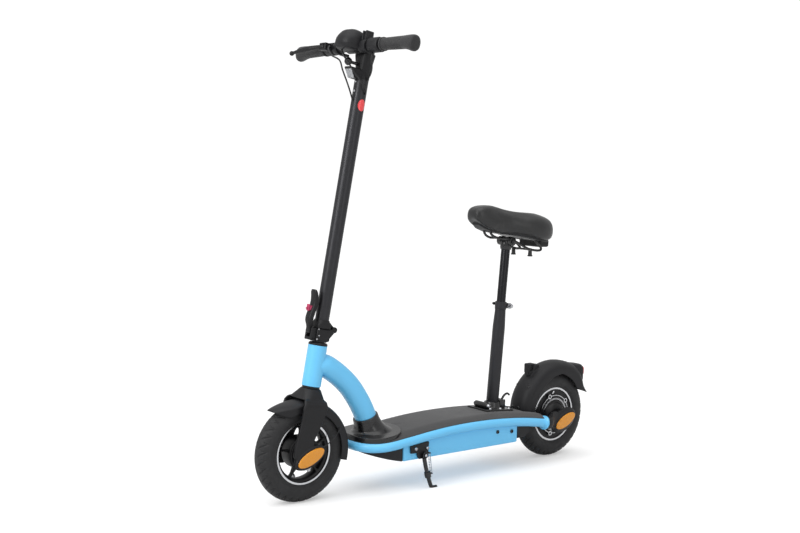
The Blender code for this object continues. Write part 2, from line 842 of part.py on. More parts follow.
crown_foot = (CROWN_LOW - TYRE_R) / math.cos(RAKE)
crown = loft(
    "crown",
    along_z(
        [
            (crown_foot - 0.002, 0.0085, 0.0340, BLADE_OUTSIDE, 7),
            (crown_foot + 0.004, 0.0070, 0.0335, BLADE_OUTSIDE - 0.001, 6),
            (crown_foot + 0.014, 0.0030, 0.0285, 0.0370, 3.5),
            (CROWN_TOP, 0, CROWN_R, CROWN_R, 2),
        ],
        16,
    ),
    STEM,
)
steerer = rod("steerer", (0, 0, CROWN_TOP - 0.01), (0, 0, HINGE_SPLIT - 0.0166), STEERER_R, STEM, 16)
blades = []
for side in (-1, 1):
    at = Matrix.Translation((0, side * (BLADE_INSIDE + BLADE_THICK / 2), 0)) @ FACING_Y
    blades.append(plate("blade", blade_outline(), BLADE_THICK, at))
    blades.append(pod("pod", FRONT_POD, side, BLADE_INSIDE, BLADE_THICK + 0.0020))
fork = joined(crown, steerer, *blades)
dropout = rod(
    "dropout",
    (0, -BLADE_OUTSIDE + 0.0035, 0),
    (0, BLADE_OUTSIDE - 0.0035, 0),
    AXLE_R + GAP,
    Matrix.Translation(FRONT_AXLE),
    12,
)
crown_flat = block(
    "crown_flat",
    (0.36, -BLADE_INSIDE + 0.001, CROWN_LOW - 0.03),
    (0.50, BLADE_INSIDE - 0.001, CROWN_LOW),
    0,
)
fork = finish("fork", cut(fork, dropout, crown_flat), BLACK_METAL)
for name, side in (("front_reflector_left", 1), ("front_reflector_right", -1)):
    reflector(name, FRONT_POD, side, BLADE_INSIDE + BLADE_THICK + 0.0020)


def front_fender_surface(u, v):
    """Front mudguard: a hoop over the tyre with turned-down sides, longer behind, lifted to a tip in front."""
    angle = math.radians(51 + (194 - 51) * u)
    crest = TYRE_R + FENDER_CLEARANCE + FENDER_WALL + 0.0125 * max(0, 1 - u / 0.16) ** 1.5
    low = TYRE_R - 0.0185 + 0.0300 * max(0, 1 - u / 0.10) ** 2 - 0.0025 * u
    half = FRONT_FENDER_HALF - 0.006 * max(0, 1 - u / 0.15)
    bend = 2 * v - 1
    side = math.copysign(min(1.0, (abs(bend) / 0.62)) if abs(bend) < 0.62 else 1.0, bend)
    if abs(bend) < 0.62:
        y = half * math.sin(side * math.pi / 2 * 0.96) / math.sin(math.pi / 2 * 0.96)
        drop = 0.0115 * (1 - math.cos(abs(side) * math.pi / 2 * 0.96))
        radius = crest - drop
    else:
        y = math.copysign(half, bend)
        edge = crest - 0.0115 * (1 - math.cos(math.pi / 2 * 0.96))
        radius = edge + (low - edge) * (abs(bend) - 0.62) / 0.38
    return FRONT_AXLE + Vector((radius * math.cos(angle), -y, radius * math.sin(angle)))


front_fender = shell("front_fender", 13, 6, front_fender_surface, FENDER_WALL)
saddle_block = block(
    "fender_boss",
    (0.410, -0.0120, 2 * TYRE_R + FENDER_CLEARANCE + 0.0005),
    (0.440, 0.0120, CROWN_LOW - GAP),
    0.0005,
)
finish("front_fender", joined(front_fender, saddle_block), BLACK_PLASTIC)

# Drum brake: backing plate with its torque tab, and the arm that the wire pulls
PLATE_IN = FRONT_DRUM_HALF + 0.0010
brake_plate = turned(
    "brake_plate",
    [
        (AXLE_R + GAP, PLATE_IN + 0.0090),
        (0.0160, PLATE_IN + 0.0090),
        (0.0180, PLATE_IN + 0.0055),
        (FRONT_DRUM_R, PLATE_IN + 0.0020),
        (FRONT_DRUM_R, PLATE_IN),
        (AXLE_R + GAP, PLATE_IN),
    ],
    FRONT_WHEEL,
)
CAM = FRONT_AXLE + Vector((0.0185, 0, -0.0290))
CABLE_STOP = FRONT_AXLE + Vector((-0.0345, 0, 0.0060))
cam_boss = rod("cam_boss", (0, 0.0255 + 0.001, 0), (0, 0.0345, 0), 0.0065, Matrix.Translation(CAM), 10)
stop_lug = block(
    "stop_lug",
    (-0.0060, PLATE_IN + 0.001, -0.0050),
    (0.0060, PLATE_IN + 0.0125, 0.0050),
    0,
    Matrix.Translation(CABLE_STOP) @ Matrix.Rotation(math.radians(35), 4, "Y"),
)
brake_plate = joined(brake_plate, cam_boss, stop_lug)
cam_pin = rod("cam_pin", (0, 0.0340, 0), (0, 0.0395, 0), 0.0030, Matrix.Translation(CAM), 10)
finish("brake_plate", joined(brake_plate, cam_pin), BLACK_METAL)

ARM_END = CAM + Vector((-0.0225, 0, -0.0100))
arm_level = 0.0370
arm_hub = rod(
    "arm_hub", (0, arm_level - 0.0020, 0), (0, arm_level + 0.0020, 0), 0.0062, Matrix.Translation(CAM), 12
)
arm_bar = tube(
    "arm_bar",
    smooth([(*(CAM + Vector((0, arm_level, 0))),), (*(ARM_END + Vector((0, arm_level, 0))),)], 3),
    0.0019,
    sides=6,
)
arm_eye = rod(
    "arm_eye", (0, arm_level - 0.0018, 0), (0, arm_level + 0.0018, 0), 0.0042, Matrix.Translation(ARM_END), 10
)
arm_bore = rod(
    "arm_bore", (0, 0.03, 0), (0, 0.045, 0), 0.0030 + GAP, Matrix.Translation(CAM), 10
)
finish("brake_arm", cut(joined(arm_hub, arm_bar, arm_eye), arm_bore), STEEL)

# Front brake wire: it leaves the mudguard's tail and ends in the stop on the backing plate
wire_y = PLATE_IN + 0.0090
wire_end = CABLE_STOP + Vector((-0.0060, wire_y, 0.0038))
wire = smooth(
    [
        (0.3455, FRONT_FENDER_HALF + 0.0035, 0.1850),
        (0.3600, FRONT_FENDER_HALF + 0.0030, 0.1650),
        (0.3800, 0.0370, 0.1480),
        (*wire_end,),
    ],
    9,
)
finish("front_brake_wire", tube("front_brake_wire", wire, 0.0013, sides=6), CABLE_BLACK)


# Rear arms from the flared rail ends to the rear axle, each with an oval pod over the axle nut
def arm(name, side):
    rear = RAIL_REAR - GAP
    slope = math.atan((arch(RAIL_REAR + 0.003) - arch(RAIL_REAR)) / 0.003)
    rows = [
        (rear, RAIL_HALF, arch(RAIL_REAR), 0.0205, 0.0205, 2.0, slope),
        (rear - 0.006, RAIL_HALF - 0.002, arch(RAIL_REAR), 0.0190, 0.0205, 2.2, slope),
        (rear - 0.018, RAIL_HALF - 0.009, 0.1205, 0.0120, 0.0200, 2.6, slope / 2),
        (rear - 0.031, RAIL_HALF - 0.0175, 0.1195, 0.0075, 0.0195, 3.0, 0),
        (rear - 0.050, ARM_Y + 0.0060, 0.1185, 0.0050, 0.0180, 3.0, 0),
        (rear - 0.085, ARM_Y + 0.0060, 0.1175, 0.0045, 0.0140, 3.0, 0),
    ]
    rings = [
        ring_points((x, side * y, z), (0, a, 0), (-b * math.sin(lean), 0, b * math.cos(lean)), n, 14)
        for x, y, z, a, b, n, lean in rows
    ]
    made = joined(loft(name, rings), pod("pod", REAR_POD, side, ARM_Y, ARM_POD_THICK))
    slot = rod(
        "slot",
        (0, side * (ARM_Y - 0.01), 0),
        (0, side * (ARM_Y + ARM_POD_THICK - 0.0045), 0),
        AXLE_R + GAP,
        Matrix.Translation(REAR_AXLE),
        12,
    )
    return finish(name, cut(made, slot), BLACK_METAL)


for label, side in (("left", 1), ("right", -1)):
    arm("rear_arm_" + label, side)
    reflector("rear_reflector_" + label, REAR_POD, side, ARM_Y + ARM_POD_THICK)


# Rear fender: a deep hood over the tyre that stands on the mat, with a tail and a lamp housing
FENDER_CREST = (
    (11.5, 0.1830, 0.0440),
    (14.0, 0.1790, 0.0440),
    (20.0, 0.1740, 0.0450),
    (35.0, 0.1735, 0.0460),
    (50.0, 0.1690, 0.0470),
    (65.0, 0.1655, 0.0470),
    (80.0, 0.1625, 0.0470),
    (94.0, 0.1600, 0.0470),
    (108.0, 0.1610, 0.0465),
    (117.0, 0.1650, 0.0460),
    (130.0, 0.1622, 0.0455),
    (142.0, 0.1622, 0.0450),
    (153.0, 0.1660, 0.0445),
    (164.0, 0.1720, 0.0430),
)
FENDER_SKIRT = (
    (11.5, 0.1060),
    (26.0, 0.1150),
    (42.0, 0.1170),
    (57.0, 0.1200),
    (70.0, 0.1230),
    (90.0, 0.1260),
    (120.0, 0.1240),
    (140.0, 0.1270),
    (152.0, 0.1330),
    (159.0, 0.1520),
    (164.0, 0.1700),
)


def rear_fender_surface(u, v):
    angle = 11.5 + (164 - 11.5) * u
    table = np.array(FENDER_CREST)
    crest = np.interp(angle, table[:, 0], table[:, 1])
    half = np.interp(angle, table[:, 0], table[:, 2]) + REAR_FENDER_HALF - 0.0470
    low = np.interp(angle, *np.array(FENDER_SKIRT).T)
    bend = 2 * v - 1
    depth = min(0.024, (crest - low) * 0.8)
    if abs(bend) < 0.6:
        turn = abs(bend) / 0.6 * math.pi / 2
        y = half * math.sin(turn) ** 0.9
        radius = crest - depth * (1 - math.cos(turn)) ** 0.95
    else:
        y = half
        radius = crest - depth + (low - crest + depth) * (abs(bend) - 0.6) / 0.4
    angle = math.radians(angle)
    y = math.copysign(y, bend)
    return REAR_AXLE + Vector((radius * math.cos(angle), -y, radius * math.sin(angle)))


fender = shell("rear_fender", 14, 6, rear_fender_surface, FENDER_WALL + 0.0004)
hook = block(
    "hook",
    (-0.0130, -0.0110, -0.0120),
    (0.0130, 0.0110, 0.0085),
    0.0025,
    Matrix.Translation(REAR_AXLE + Vector((0.1715 * math.cos(math.radians(56)), 0, 0.1715 * math.sin(math.radians(56)))))
    @ Matrix.Rotation(math.radians(-28), 4, "Y"),
    1,
)
lamp = loft(
    "lamp",
    [
        ring_points((x, 0, z), (0, half, 0), (0, 0, tall), 4, 16)
        for x, z, half, tall in (
            (-0.5150, 0.2560, 0.0160, 0.0140),
            (-0.5350, 0.2500, 0.0270, 0.0185),
            (-0.5700, 0.2420, 0.0320, 0.0235),
            (-0.5880, 0.2380, 0.0320, 0.0220),
            (-0.5925, 0.2365, 0.0300, 0.0200),
        )
    ],
)
tyre_room = turned(
    "tyre_room",
    [(0.080, 0.0400), (TYRE_R + 0.030, 0.0400), (TYRE_R + 0.030, -0.0400), (0.080, -0.0400)],
    REAR_WHEEL,
    32,
)
fender = joined(fender, hook, cut(lamp, tyre_room))
fender = cut(fender, mat_space())
finish("rear_fender", fender, BLACK_PLASTIC)
lens = loft(
    "tail_lens",
    [
        ring_points((x, 0, z), (0, half, 0), (0, 0, tall), 4, 16)
        for x, z, half, tall in (
            (-0.5925 - GAP, 0.2335, 0.0270, 0.0160),
            (-0.5950, 0.2330, 0.0270, 0.0160),
            (-0.5965, 0.2328, 0.0240, 0.0135),
        )
    ],
)
finish("tail_lens", lens, RED_LENS)


# Kickstand: bracket on the battery box, a sprung leg and its coil spring
stand_low, stand_high = BOX_HALF + GAP, STAND_PIVOT_Y - 0.0050
bracket = plate(
    "bracket",
    [
        (0.1540, 0.1015),
        (0.1560, 0.1225),
        (0.0960, 0.1280),
        (0.0930, 0.1260),
        (0.0955, 0.0880),
        (0.1000, 0.0845),
        (0.1250, 0.0835),
        (0.1310, 0.0900),
        (0.1335, 0.1010),
    ],
    stand_high - stand_low,
    Matrix.Translation((0, (stand_high + stand_low) / 2, 0)) @ FACING_Y,
)
STAND_PIVOT = Vector((STAND_PIVOT_X, STAND_PIVOT_Y, STAND_PIVOT_Z))
stand_pin = rod(
    "stand_pin", (0, -0.007, 0), (0, 0.0035, 0), 0.0030, Matrix.Translation(STAND_PIVOT), 12
)
stand_head = rod(
    "stand_head", (0, 0.0029, 0), (0, 0.0050, 0), 0.0055, Matrix.Translation(STAND_PIVOT), 12
)
SPRING_TOP = STAND_PIVOT + Vector((0.0150, 0.0030, 0.0040))
spring_post = rod(
    "spring_post",
    (SPRING_TOP.x, stand_high - 0.002, SPRING_TOP.z),
    (SPRING_TOP.x, SPRING_TOP.y + SPRING_R + 0.0030, SPRING_TOP.z),
    SPRING_PIN_R,
    sides=10,
)
bracket = cut(joined(bracket, stand_pin, stand_head, spring_post), rail_tube("rail_room", GAP))
finish("kickstand_bracket", bracket, BLACK_METAL)

STAND_FOOT = Vector((STAND_FOOT_X, STAND_FOOT_Y, STAND_LEG_R))
leg_line = [
    STAND_PIVOT + Vector((-0.0020, 0.0000, -0.0070)),
    STAND_PIVOT + (STAND_FOOT - STAND_PIVOT) * 0.35,
    STAND_PIVOT + (STAND_FOOT - STAND_PIVOT) * 0.70,
    STAND_FOOT + Vector((0.0060, 0.0010, 0.0125)),
    STAND_FOOT + Vector((0.0005, 0.0005, 0.0030)),
    STAND_FOOT + Vector((-0.0100, 0.0020, 0.0005)),
]
leg = tube("leg", smooth(leg_line, 8), STAND_LEG_R, sides=8)
leg_eye = rod(
    "leg_eye",
    (0, stand_high + GAP - STAND_PIVOT_Y, 0),
    (0, 0.0029 - GAP, 0),
    0.0088,
    Matrix.Translation(STAND_PIVOT),
    16,
)
eye_bore = rod(
    "eye_bore", (0, -0.02, 0), (0, 0.02, 0), 0.0030 + GAP, Matrix.Translation(STAND_PIVOT), 12
)
stop_collar = STAND_PIVOT + (STAND_FOOT - STAND_PIVOT) * 0.58
leg_axis = (STAND_FOOT - STAND_PIVOT).normalized()
leg_sleeve = rod("leg_sleeve", stop_collar - leg_axis * 0.007, stop_collar + leg_axis * 0.007, 0.0072, sides=10)
SPRING_FOOT = stop_collar + Vector((0.0120, 0, -0.0020))
hook_arm = rod("hook_arm", stop_collar, SPRING_FOOT, SPRING_PIN_R, sides=6)
spring_hook = rod(
    "spring_hook",
    SPRING_FOOT - Vector((0, SPRING_R + 0.0020, 0)),
    SPRING_FOOT + Vector((0, SPRING_R + 0.0020, 0)),
    SPRING_PIN_R,
    sides=10,
)
ground = block("ground", (-0.1, -0.2, -0.05), (0.3, 0.3, 0), 0)
SOLE = TYRE_R * (1 - math.cos(HALF_STEP))
TO_GROUND = Matrix.Rotation(-LEAN, 4, "X")
ground.matrix_world = TO_GROUND.inverted() @ Matrix.Translation((0, 0, SOLE))
leg = cut(joined(leg, leg_eye, leg_sleeve, hook_arm, spring_hook), eye_bore, ground)
finish("kickstand_leg", leg, BLACK_METAL)


def coil(name, start, end, radius, wire, turns, points_a_turn=9):
    """A coil spring between two points: one unbroken wire whose ends run straight for one wire diameter."""
    axis = (end - start).normalized()
    third = axis.cross(Vector((0, 1, 0))).normalized()
    side = third.cross(axis)
    lead = 2 * wire
    length = (end - start).length - 2 * lead
    count = turns * points_a_turn
    points = [start + side * radius]
    for step in range(count + 1):
        angle = 2 * math.pi * step / points_a_turn
        points.append(
            start
            + axis * (lead + length * step / count)
            + (side * math.cos(angle) + third * math.sin(angle)) * radius
        )
    points.append(end + side * radius)
    spots = np.array([tuple(point) for point in points])
    apart = np.linalg.norm(spots[:, None] - spots[None], axis=2)
    far_enough = abs(np.subtract.outer(range(len(spots)), range(len(spots)))) > points_a_turn // 2
    print(name, "least gap to itself, mm:", round((apart[far_enough].min() - 2 * wire) * 1000, 2))
    return tube(name, points, wire, sides=6)


spring_line = (SPRING_FOOT - SPRING_TOP).normalized()
spring_seat = spring_line * (SPRING_PIN_R + GAP)
spring = coil(
    "spring", SPRING_TOP + spring_seat, SPRING_FOOT - spring_seat, SPRING_R, SPRING_WIRE_R, SPRING_TURNS
)
finish("kickstand_spring", spring, STEEL)


# Seat: socket on the mat, tube, collar, sliding post and saddle
SEAT = Matrix.Translation((SEAT_X, 0, 0.165)) @ Matrix.Rotation(-SEAT_LEAN, 4, "Y")
MOUNT_REAR, MOUNT_FRONT, MOUNT_HALF, MOUNT_PLATE = -0.2600, -0.1680, 0.0400, 0.0050


def mount_surface(lift, inset=0.0):
    def at(u, v):
        x = MOUNT_REAR + inset + (MOUNT_FRONT - MOUNT_REAR - 2 * inset) * u
        y = (MOUNT_HALF - inset) * (1 - 2 * v)
        return Vector((x, y, mat_top(x, y) + lift))

    return at


foot_plate = slab("foot_plate", 4, 2, mount_surface(GAP + 0.0002), mount_surface(MOUNT_PLATE, 0.001))
socket = turned(
    "socket",
    [
        (SEAT_TUBE_R + GAP, 0.0210),
        (SEAT_TUBE_R + 0.0045, 0.0210),
        (SEAT_TUBE_R + 0.0055, 0.0195),
        (SEAT_TUBE_R + 0.0075, 0.0060),
        (SEAT_TUBE_R + 0.0120, 0.0050),
        (SEAT_TUBE_R + 0.0120, 0.0030),
        (SEAT_TUBE_R + GAP, 0.0030),
    ],
    SEAT,
)
HANDLE_PIVOT = Vector((SEAT_X - 0.0355, 0, 0.1830))
lugs = []
for side in (-1, 1):
    lugs.append(
        block(
            "lug",
            (SEAT_X - 0.0420, side * 0.0100 - 0.0025, 0.1660),
            (SEAT_X - 0.0190, side * 0.0100 + 0.0025, 0.1895),
        )
    )
handle_pin = rod("handle_pin", (0, -0.0110, 0), (0, 0.0110, 0), 0.0025, Matrix.Translation(HANDLE_PIVOT), 10)
seat_mount = joined(foot_plate, socket, *lugs, handle_pin)
seat_room = rod("seat_room", (0, 0, 0.0060 - GAP), (0, 0, 0.05), SEAT_TUBE_R + GAP, SEAT, 16)
seat_mount = cut(seat_mount, seat_room)
finish("seat_mount", seat_mount, BLACK_METAL)

handle = tube(
    "handle",
    smooth(
        [
            HANDLE_PIVOT,
            HANDLE_PIVOT + Vector((-0.0080, 0, 0.0120)),
            HANDLE_PIVOT + Vector((-0.0160, 0, 0.0185)),
            HANDLE_PIVOT + Vector((-0.0250, 0, 0.0200)),
            HANDLE_PIVOT + Vector((-0.0320, 0, 0.0150)),
        ],
        7,
    ),
    0.0036,
    sides=8,
    factors=list(np.linspace(1.0, 0.8, 7)),
)
handle_eye = rod(
    "handle_eye", (0, -0.0070, 0), (0, 0.0070, 0), 0.0058, Matrix.Translation(HANDLE_PIVOT), 12
)
handle_bore = rod(
    "handle_bore", (0, -0.02, 0), (0, 0.02, 0), 0.0025 + GAP, Matrix.Translation(HANDLE_PIVOT), 10
)
finish("mount_handle", cut(joined(handle, handle_eye), handle_bore), BLACK_METAL)

seat_tube = turned(
    "seat_tube",
    [
        (POST_R + GAP, SEAT_TUBE_LENGTH),
        (SEAT_TOP_R - 0.0010, SEAT_TUBE_LENGTH),
        (SEAT_TOP_R - 0.0010, SEAT_TUBE_LENGTH - SEAT_COLLAR_HEIGHT + 0.0020),
        (SEAT_TOP_R, SEAT_TUBE_LENGTH - SEAT_COLLAR_HEIGHT + 0.0020),
        (SEAT_TOP_R, SEAT_TUBE_LENGTH - SEAT_COLLAR_HEIGHT - 0.0010),
        (SEAT_TUBE_R, SEAT_TUBE_LENGTH - SEAT_COLLAR_HEIGHT - 0.0480),
        (SEAT_TUBE_R, 0.0060),
        (POST_R + GAP, 0.0060),
    ],
    SEAT,
)
finish("seat_tube", seat_tube, SATIN_BLACK)
seat_post = turned(
    "seat_post",
    [
        (0, POST_TOP),
        (POST_R - 0.0035, POST_TOP),
        (POST_R - 0.0020, POST_TOP - 0.0010),
        (POST_R, POST_TOP - 0.0110),
        (POST_R, POST_LOW),
        (POST_R - 0.0022, POST_LOW),
        (POST_R - 0.0022, POST_TOP - 0.0200),
        (0, POST_TOP - 0.0200),
    ],
    SEAT,
)
finish("seat_post", seat_post, SATIN_BLACK)

COLLAR_LOW = SEAT_TUBE_LENGTH - SEAT_COLLAR_HEIGHT + 0.0020 + GAP
collar = turned(
    "collar",
    [
        (SEAT_TOP_R - 0.0010 + GAP, COLLAR_LOW + SEAT_COLLAR_HEIGHT),
        (SEAT_COLLAR_R, COLLAR_LOW + SEAT_COLLAR_HEIGHT),
        (SEAT_COLLAR_R, COLLAR_LOW),
        (SEAT_TOP_R - 0.0010 + GAP, COLLAR_LOW),
    ],
    SEAT,
)
ears = block(
    "ears",
    (-0.0290, -0.0085, COLLAR_LOW + 0.0035),
    (-0.0152, 0.0085, COLLAR_LOW + SEAT_COLLAR_HEIGHT - 0.0035),
    0.0015,
    SEAT,
)
ear_slot = block("ear_slot", (-0.04, -0.0015, COLLAR_LOW - 0.01), (-0.010, 0.0015, COLLAR_LOW + 0.04), 0, SEAT)
CLAMP_BOLT = SEAT @ Vector((-0.0235, 0, COLLAR_LOW + SEAT_COLLAR_HEIGHT / 2))
clamp_bolt = rod("clamp_bolt", (0, -0.0150, 0), (0, 0.0120, 0), 0.0025, Matrix.Translation(CLAMP_BOLT), 10)
clamp_nut = rod("clamp_nut", (0, 0.0080, 0), (0, 0.0150, 0), 0.0052, Matrix.Translation(CLAMP_BOLT), 6)
collar = cut(joined(collar, ears), ear_slot)
finish("seat_collar", joined(collar, clamp_bolt, clamp_nut), STEEL)
cam = rod("cam", (0, -0.0240, 0), (0, -0.0088, 0), 0.0068, Matrix.Translation(CLAMP_BOLT), 12)
bolt_room = rod(
    "bolt_room", (0, -0.0150 - GAP, 0), (0, 0.01, 0), 0.0025 + GAP, Matrix.Translation(CLAMP_BOLT), 10
)
quick_lever = tube(
    "quick_lever",
    smooth(
        [
            CLAMP_BOLT + Vector((0.0000, -0.0190, 0.0000)),
            CLAMP_BOLT + Vector((0.0120, -0.0240, 0.0030)),
            CLAMP_BOLT + Vector((0.0280, -0.0270, 0.0060)),
            CLAMP_BOLT + Vector((0.0440, -0.0260, 0.0080)),
        ],
        7,
    ),
    0.0045,
    sides=8,
    factors=[1.0, 1.0, 0.95, 0.9, 0.95, 0.95, 0.8],
)
finish("seat_lever", cut(joined(cam, quick_lever), bolt_room), BLACK_METAL)

# Saddle clamp on the post, and the rail frame that tilts about its bolt
clamp = turned(
    "clamp",
    [
        (0, TILT_HEIGHT),
        (POST_R + 0.0035, TILT_HEIGHT),
        (POST_R + 0.0040, TILT_HEIGHT - 0.0150),
        (POST_R + 0.0025, TILT_HEIGHT - 0.0240),
        (POST_R + GAP, TILT_HEIGHT - 0.0240),
        (POST_R + GAP, POST_TOP + GAP),
        (0, POST_TOP + GAP),
    ],
    SEAT,
)
TILT = SEAT @ Vector((0, 0, TILT_HEIGHT))
TILT_AT = Matrix.Translation(TILT)
eye = rod("eye", (0, -0.0100, 0), (0, 0.0100, 0), 0.0115, TILT_AT, 12)
tilt_bore = rod("tilt_bore", (0, -0.03, 0), (0, 0.03, 0), TILT_BOLT_R + GAP, TILT_AT, 10)
tilt_room = [
    rod("tilt_room", (0, side * 0.0100, 0), (0, side * 0.04, 0), 0.0150, TILT_AT, 12) for side in (-1, 1)
]
finish("saddle_clamp", cut(joined(clamp, eye), tilt_bore, *tilt_room), BLACK_METAL)

rail_parts = [
    rod("tilt_bolt", (0, -0.0330, 0), (0, 0.0330, 0), TILT_BOLT_R, TILT_AT, 10),
]
for side in (-1, 1):
    rail_parts.append(
        rod("cheek", (0, side * 0.0103, 0), (0, side * 0.0275, 0), 0.0135, TILT_AT, 12)
    )
    rail_parts.append(rod("tilt_nut", (0, side * 0.0270, 0), (0, side * 0.0320, 0), 0.0070, TILT_AT, 6))
    route = [
        (TILT.x + 0.1109, side * 0.0100, TILT.z + 0.0576),
        (TILT.x + 0.1095, side * 0.0100, TILT.z + 0.0500),
        (TILT.x + 0.0990, side * 0.0115, TILT.z + 0.0370),
        (TILT.x + 0.0720, side * 0.0160, TILT.z + 0.0210),
        (TILT.x + 0.0400, side * RAIL_WIRE_HALF, TILT.z + 0.0090),
        (TILT.x + 0.0100, side * RAIL_WIRE_HALF, TILT.z + 0.0072),
        (TILT.x - 0.0250, side * RAIL_WIRE_HALF, TILT.z + 0.0040),
        (TILT.x - 0.0520, side * 0.0270, TILT.z - 0.0090),
        (TILT.x - 0.0720, side * 0.0380, TILT.z - 0.0170),
        (TILT.x - 0.0840, side * 0.0500, TILT.z - 0.0080),
        (TILT.x - 0.0870, side * 0.0530, TILT.z + 0.0030),
    ]
    rail_parts.append(tube("wire", smooth(route, 13), RAIL_WIRE_R, sides=6))
bumper_x = TILT.x - 0.0600
rail_parts.append(
    rod("bridge", (bumper_x, -0.0330, TILT.z - 0.0125), (bumper_x, 0.0330, TILT.z - 0.0125), 0.0032, sides=6)
)
for side in (-1, 1):
    rail_parts.append(
        rod(
            "bumper",
            (bumper_x, side * 0.0210, TILT.z - 0.0330),
            (bumper_x, side * 0.0210, TILT.z - 0.0105),
            0.0062,
            sides=8,
        )
    )
finish("saddle_rails", joined(*rail_parts), BLACK_METAL)

# The saddle from nose to tail: how far ahead of the tilt bolt, half width, and its top and skirt above the bolt
SADDLE = (
    (0.1339, 0.0150, 0.0848, 0.0663),
    (0.1234, 0.0255, 0.0963, 0.0593),
    (0.0974, 0.0335, 0.1023, 0.0528),
    (0.0674, 0.0370, 0.0978, 0.0448),
    (0.0324, 0.0460, 0.0878, 0.0348),
    (-0.0026, 0.0620, 0.0813, 0.0248),
    (-0.0376, 0.0780, 0.0788, 0.0128),
    (-0.0726, 0.0860, 0.0773, 0.0028),
    (-0.1126, 0.0825, 0.0718, -0.0017),
    (-0.1406, 0.0620, 0.0598, 0.0068),
    (-0.1526, 0.0300, 0.0468, 0.0228),
)


def saddle_at(x):
    table = np.array(SADDLE)[::-1]
    return [np.interp(x, table[:, 0], table[:, column]) for column in (1, 2, 3)]


def base_surface(grow, lift):
    def at(u, v):
        x = -0.1316 - grow + (0.2440 + 2 * grow) * u
        half, _, skirt = saddle_at(x)
        y = (half - SADDLE_LIP + grow) * (1 - 2 * v)
        y *= 1 - 0.25 * (2 * u - 1) ** 8
        return Vector((x, y, skirt + lift))

    return at


base = slab("base", 8, 4, base_surface(0, 0.0035), base_surface(0, 0.0095), TILT_AT)
finish("saddle_base", base, BLACK_PLASTIC)
pocket = slab("pocket", 8, 4, base_surface(GAP, -0.03), base_surface(GAP, 0.0095 + GAP), TILT_AT)

cage = []
for x, half, top, skirt in SADDLE:
    ring = []
    for share, height in (
        (0.00, top - 0.0010),
        (0.55, top + 0.0010),
        (0.98, top - (top - skirt) * 0.12),
        (1.09, skirt + (top - skirt) * 0.40),
        (0.96, skirt - 0.0015),
        (0.55, skirt + 0.0035),
    ):
        ring.append((share * half, height))
    full = [Vector((x, y, z)) for y, z in ring]
    full.append(Vector((x, 0, skirt + 0.0040)))
    full += [Vector((x, -y, z)) for y, z in reversed(ring[1:])]
    cage.append(full)
cushion = loft("cushion", cage, TILT_AT)
soft = cushion.modifiers.new("soft", "SUBSURF")
soft.levels = soft.render_levels = 1
finish("saddle_cushion", cut(cushion, pocket), LEATHER, 50)

# Folding joint: base on the steerer, with two outer lugs, and the block above it with the centre knuckle
half_box = HINGE_HALF
knuckle_at = STEM @ Matrix.Translation((-KNUCKLE_BACK, 0, HINGE_SPLIT))
hinge_base = block(
    "hinge_base",
    (-half_box, -half_box, HINGE_LOW + 0.0020),
    (half_box, half_box, HINGE_SPLIT - GAP),
    0.0060,
    STEM,
)
collar_low = rod("collar_low", (0, 0, HINGE_LOW), (0, 0, HINGE_LOW + 0.0130), COLLAR_R, STEM, 16)
latch_box = block(
    "latch_box",
    (half_box - 0.0060, -0.0140, HINGE_LOW + 0.0020),
    (half_box + 0.0150, 0.0140, HINGE_SPLIT - GAP),
    0.0050,
    STEM,
)
latch_gap = block(
    "latch_gap",
    (half_box + 0.0010, -0.0082, HINGE_LOW + 0.0105),
    (half_box + 0.0300, 0.0082, HINGE_SPLIT + 0.02),
    0,
    STEM,
)
outer_lugs = []
for side in (-1, 1):
    outer_lugs.append(
        rod("lug", (0, side * 0.0100, 0), (0, side * 0.0200, 0), KNUCKLE_R, knuckle_at, 12)
    )
    gusset = plate(
        "gusset",
        [
            (-KNUCKLE_BACK, HINGE_SPLIT - 0.0073),
            (-half_box + 0.004, HINGE_LOW + 0.0080),
            (-half_box + 0.004, HINGE_SPLIT - GAP),
            (-KNUCKLE_BACK, HINGE_SPLIT - GAP),
        ],
        0.0100,
        STEM @ Matrix.Translation((0, side * 0.0150, 0)) @ FACING_Y,
    )
    outer_lugs.append(gusset)
hinge_pin = rod("hinge_pin", (0, -0.0205, 0), (0, 0.0205, 0), HINGE_PIN_R, knuckle_at, 8)
steerer_room = rod(
    "steerer_room", (0, 0, HINGE_LOW - 0.02), (0, 0, HINGE_SPLIT - 0.0156), STEERER_R + GAP, STEM, 16
)
LATCH = STEM @ Vector((LATCH_FORWARD, 0, LATCH_HEIGHT))
LATCH_AT = STEM @ Matrix.Translation((LATCH_FORWARD, 0, LATCH_HEIGHT))
latch_pin = rod("latch_pin", (0, -0.0130, 0), (0, 0.0130, 0), 0.0025, LATCH_AT, 10)
hinge_base = cut(joined(hinge_base, collar_low, latch_box, *outer_lugs), steerer_room, latch_gap)
hinge_base = joined(hinge_base, hinge_pin, latch_pin)
finish("hinge_base", hinge_base, BLACK_METAL)

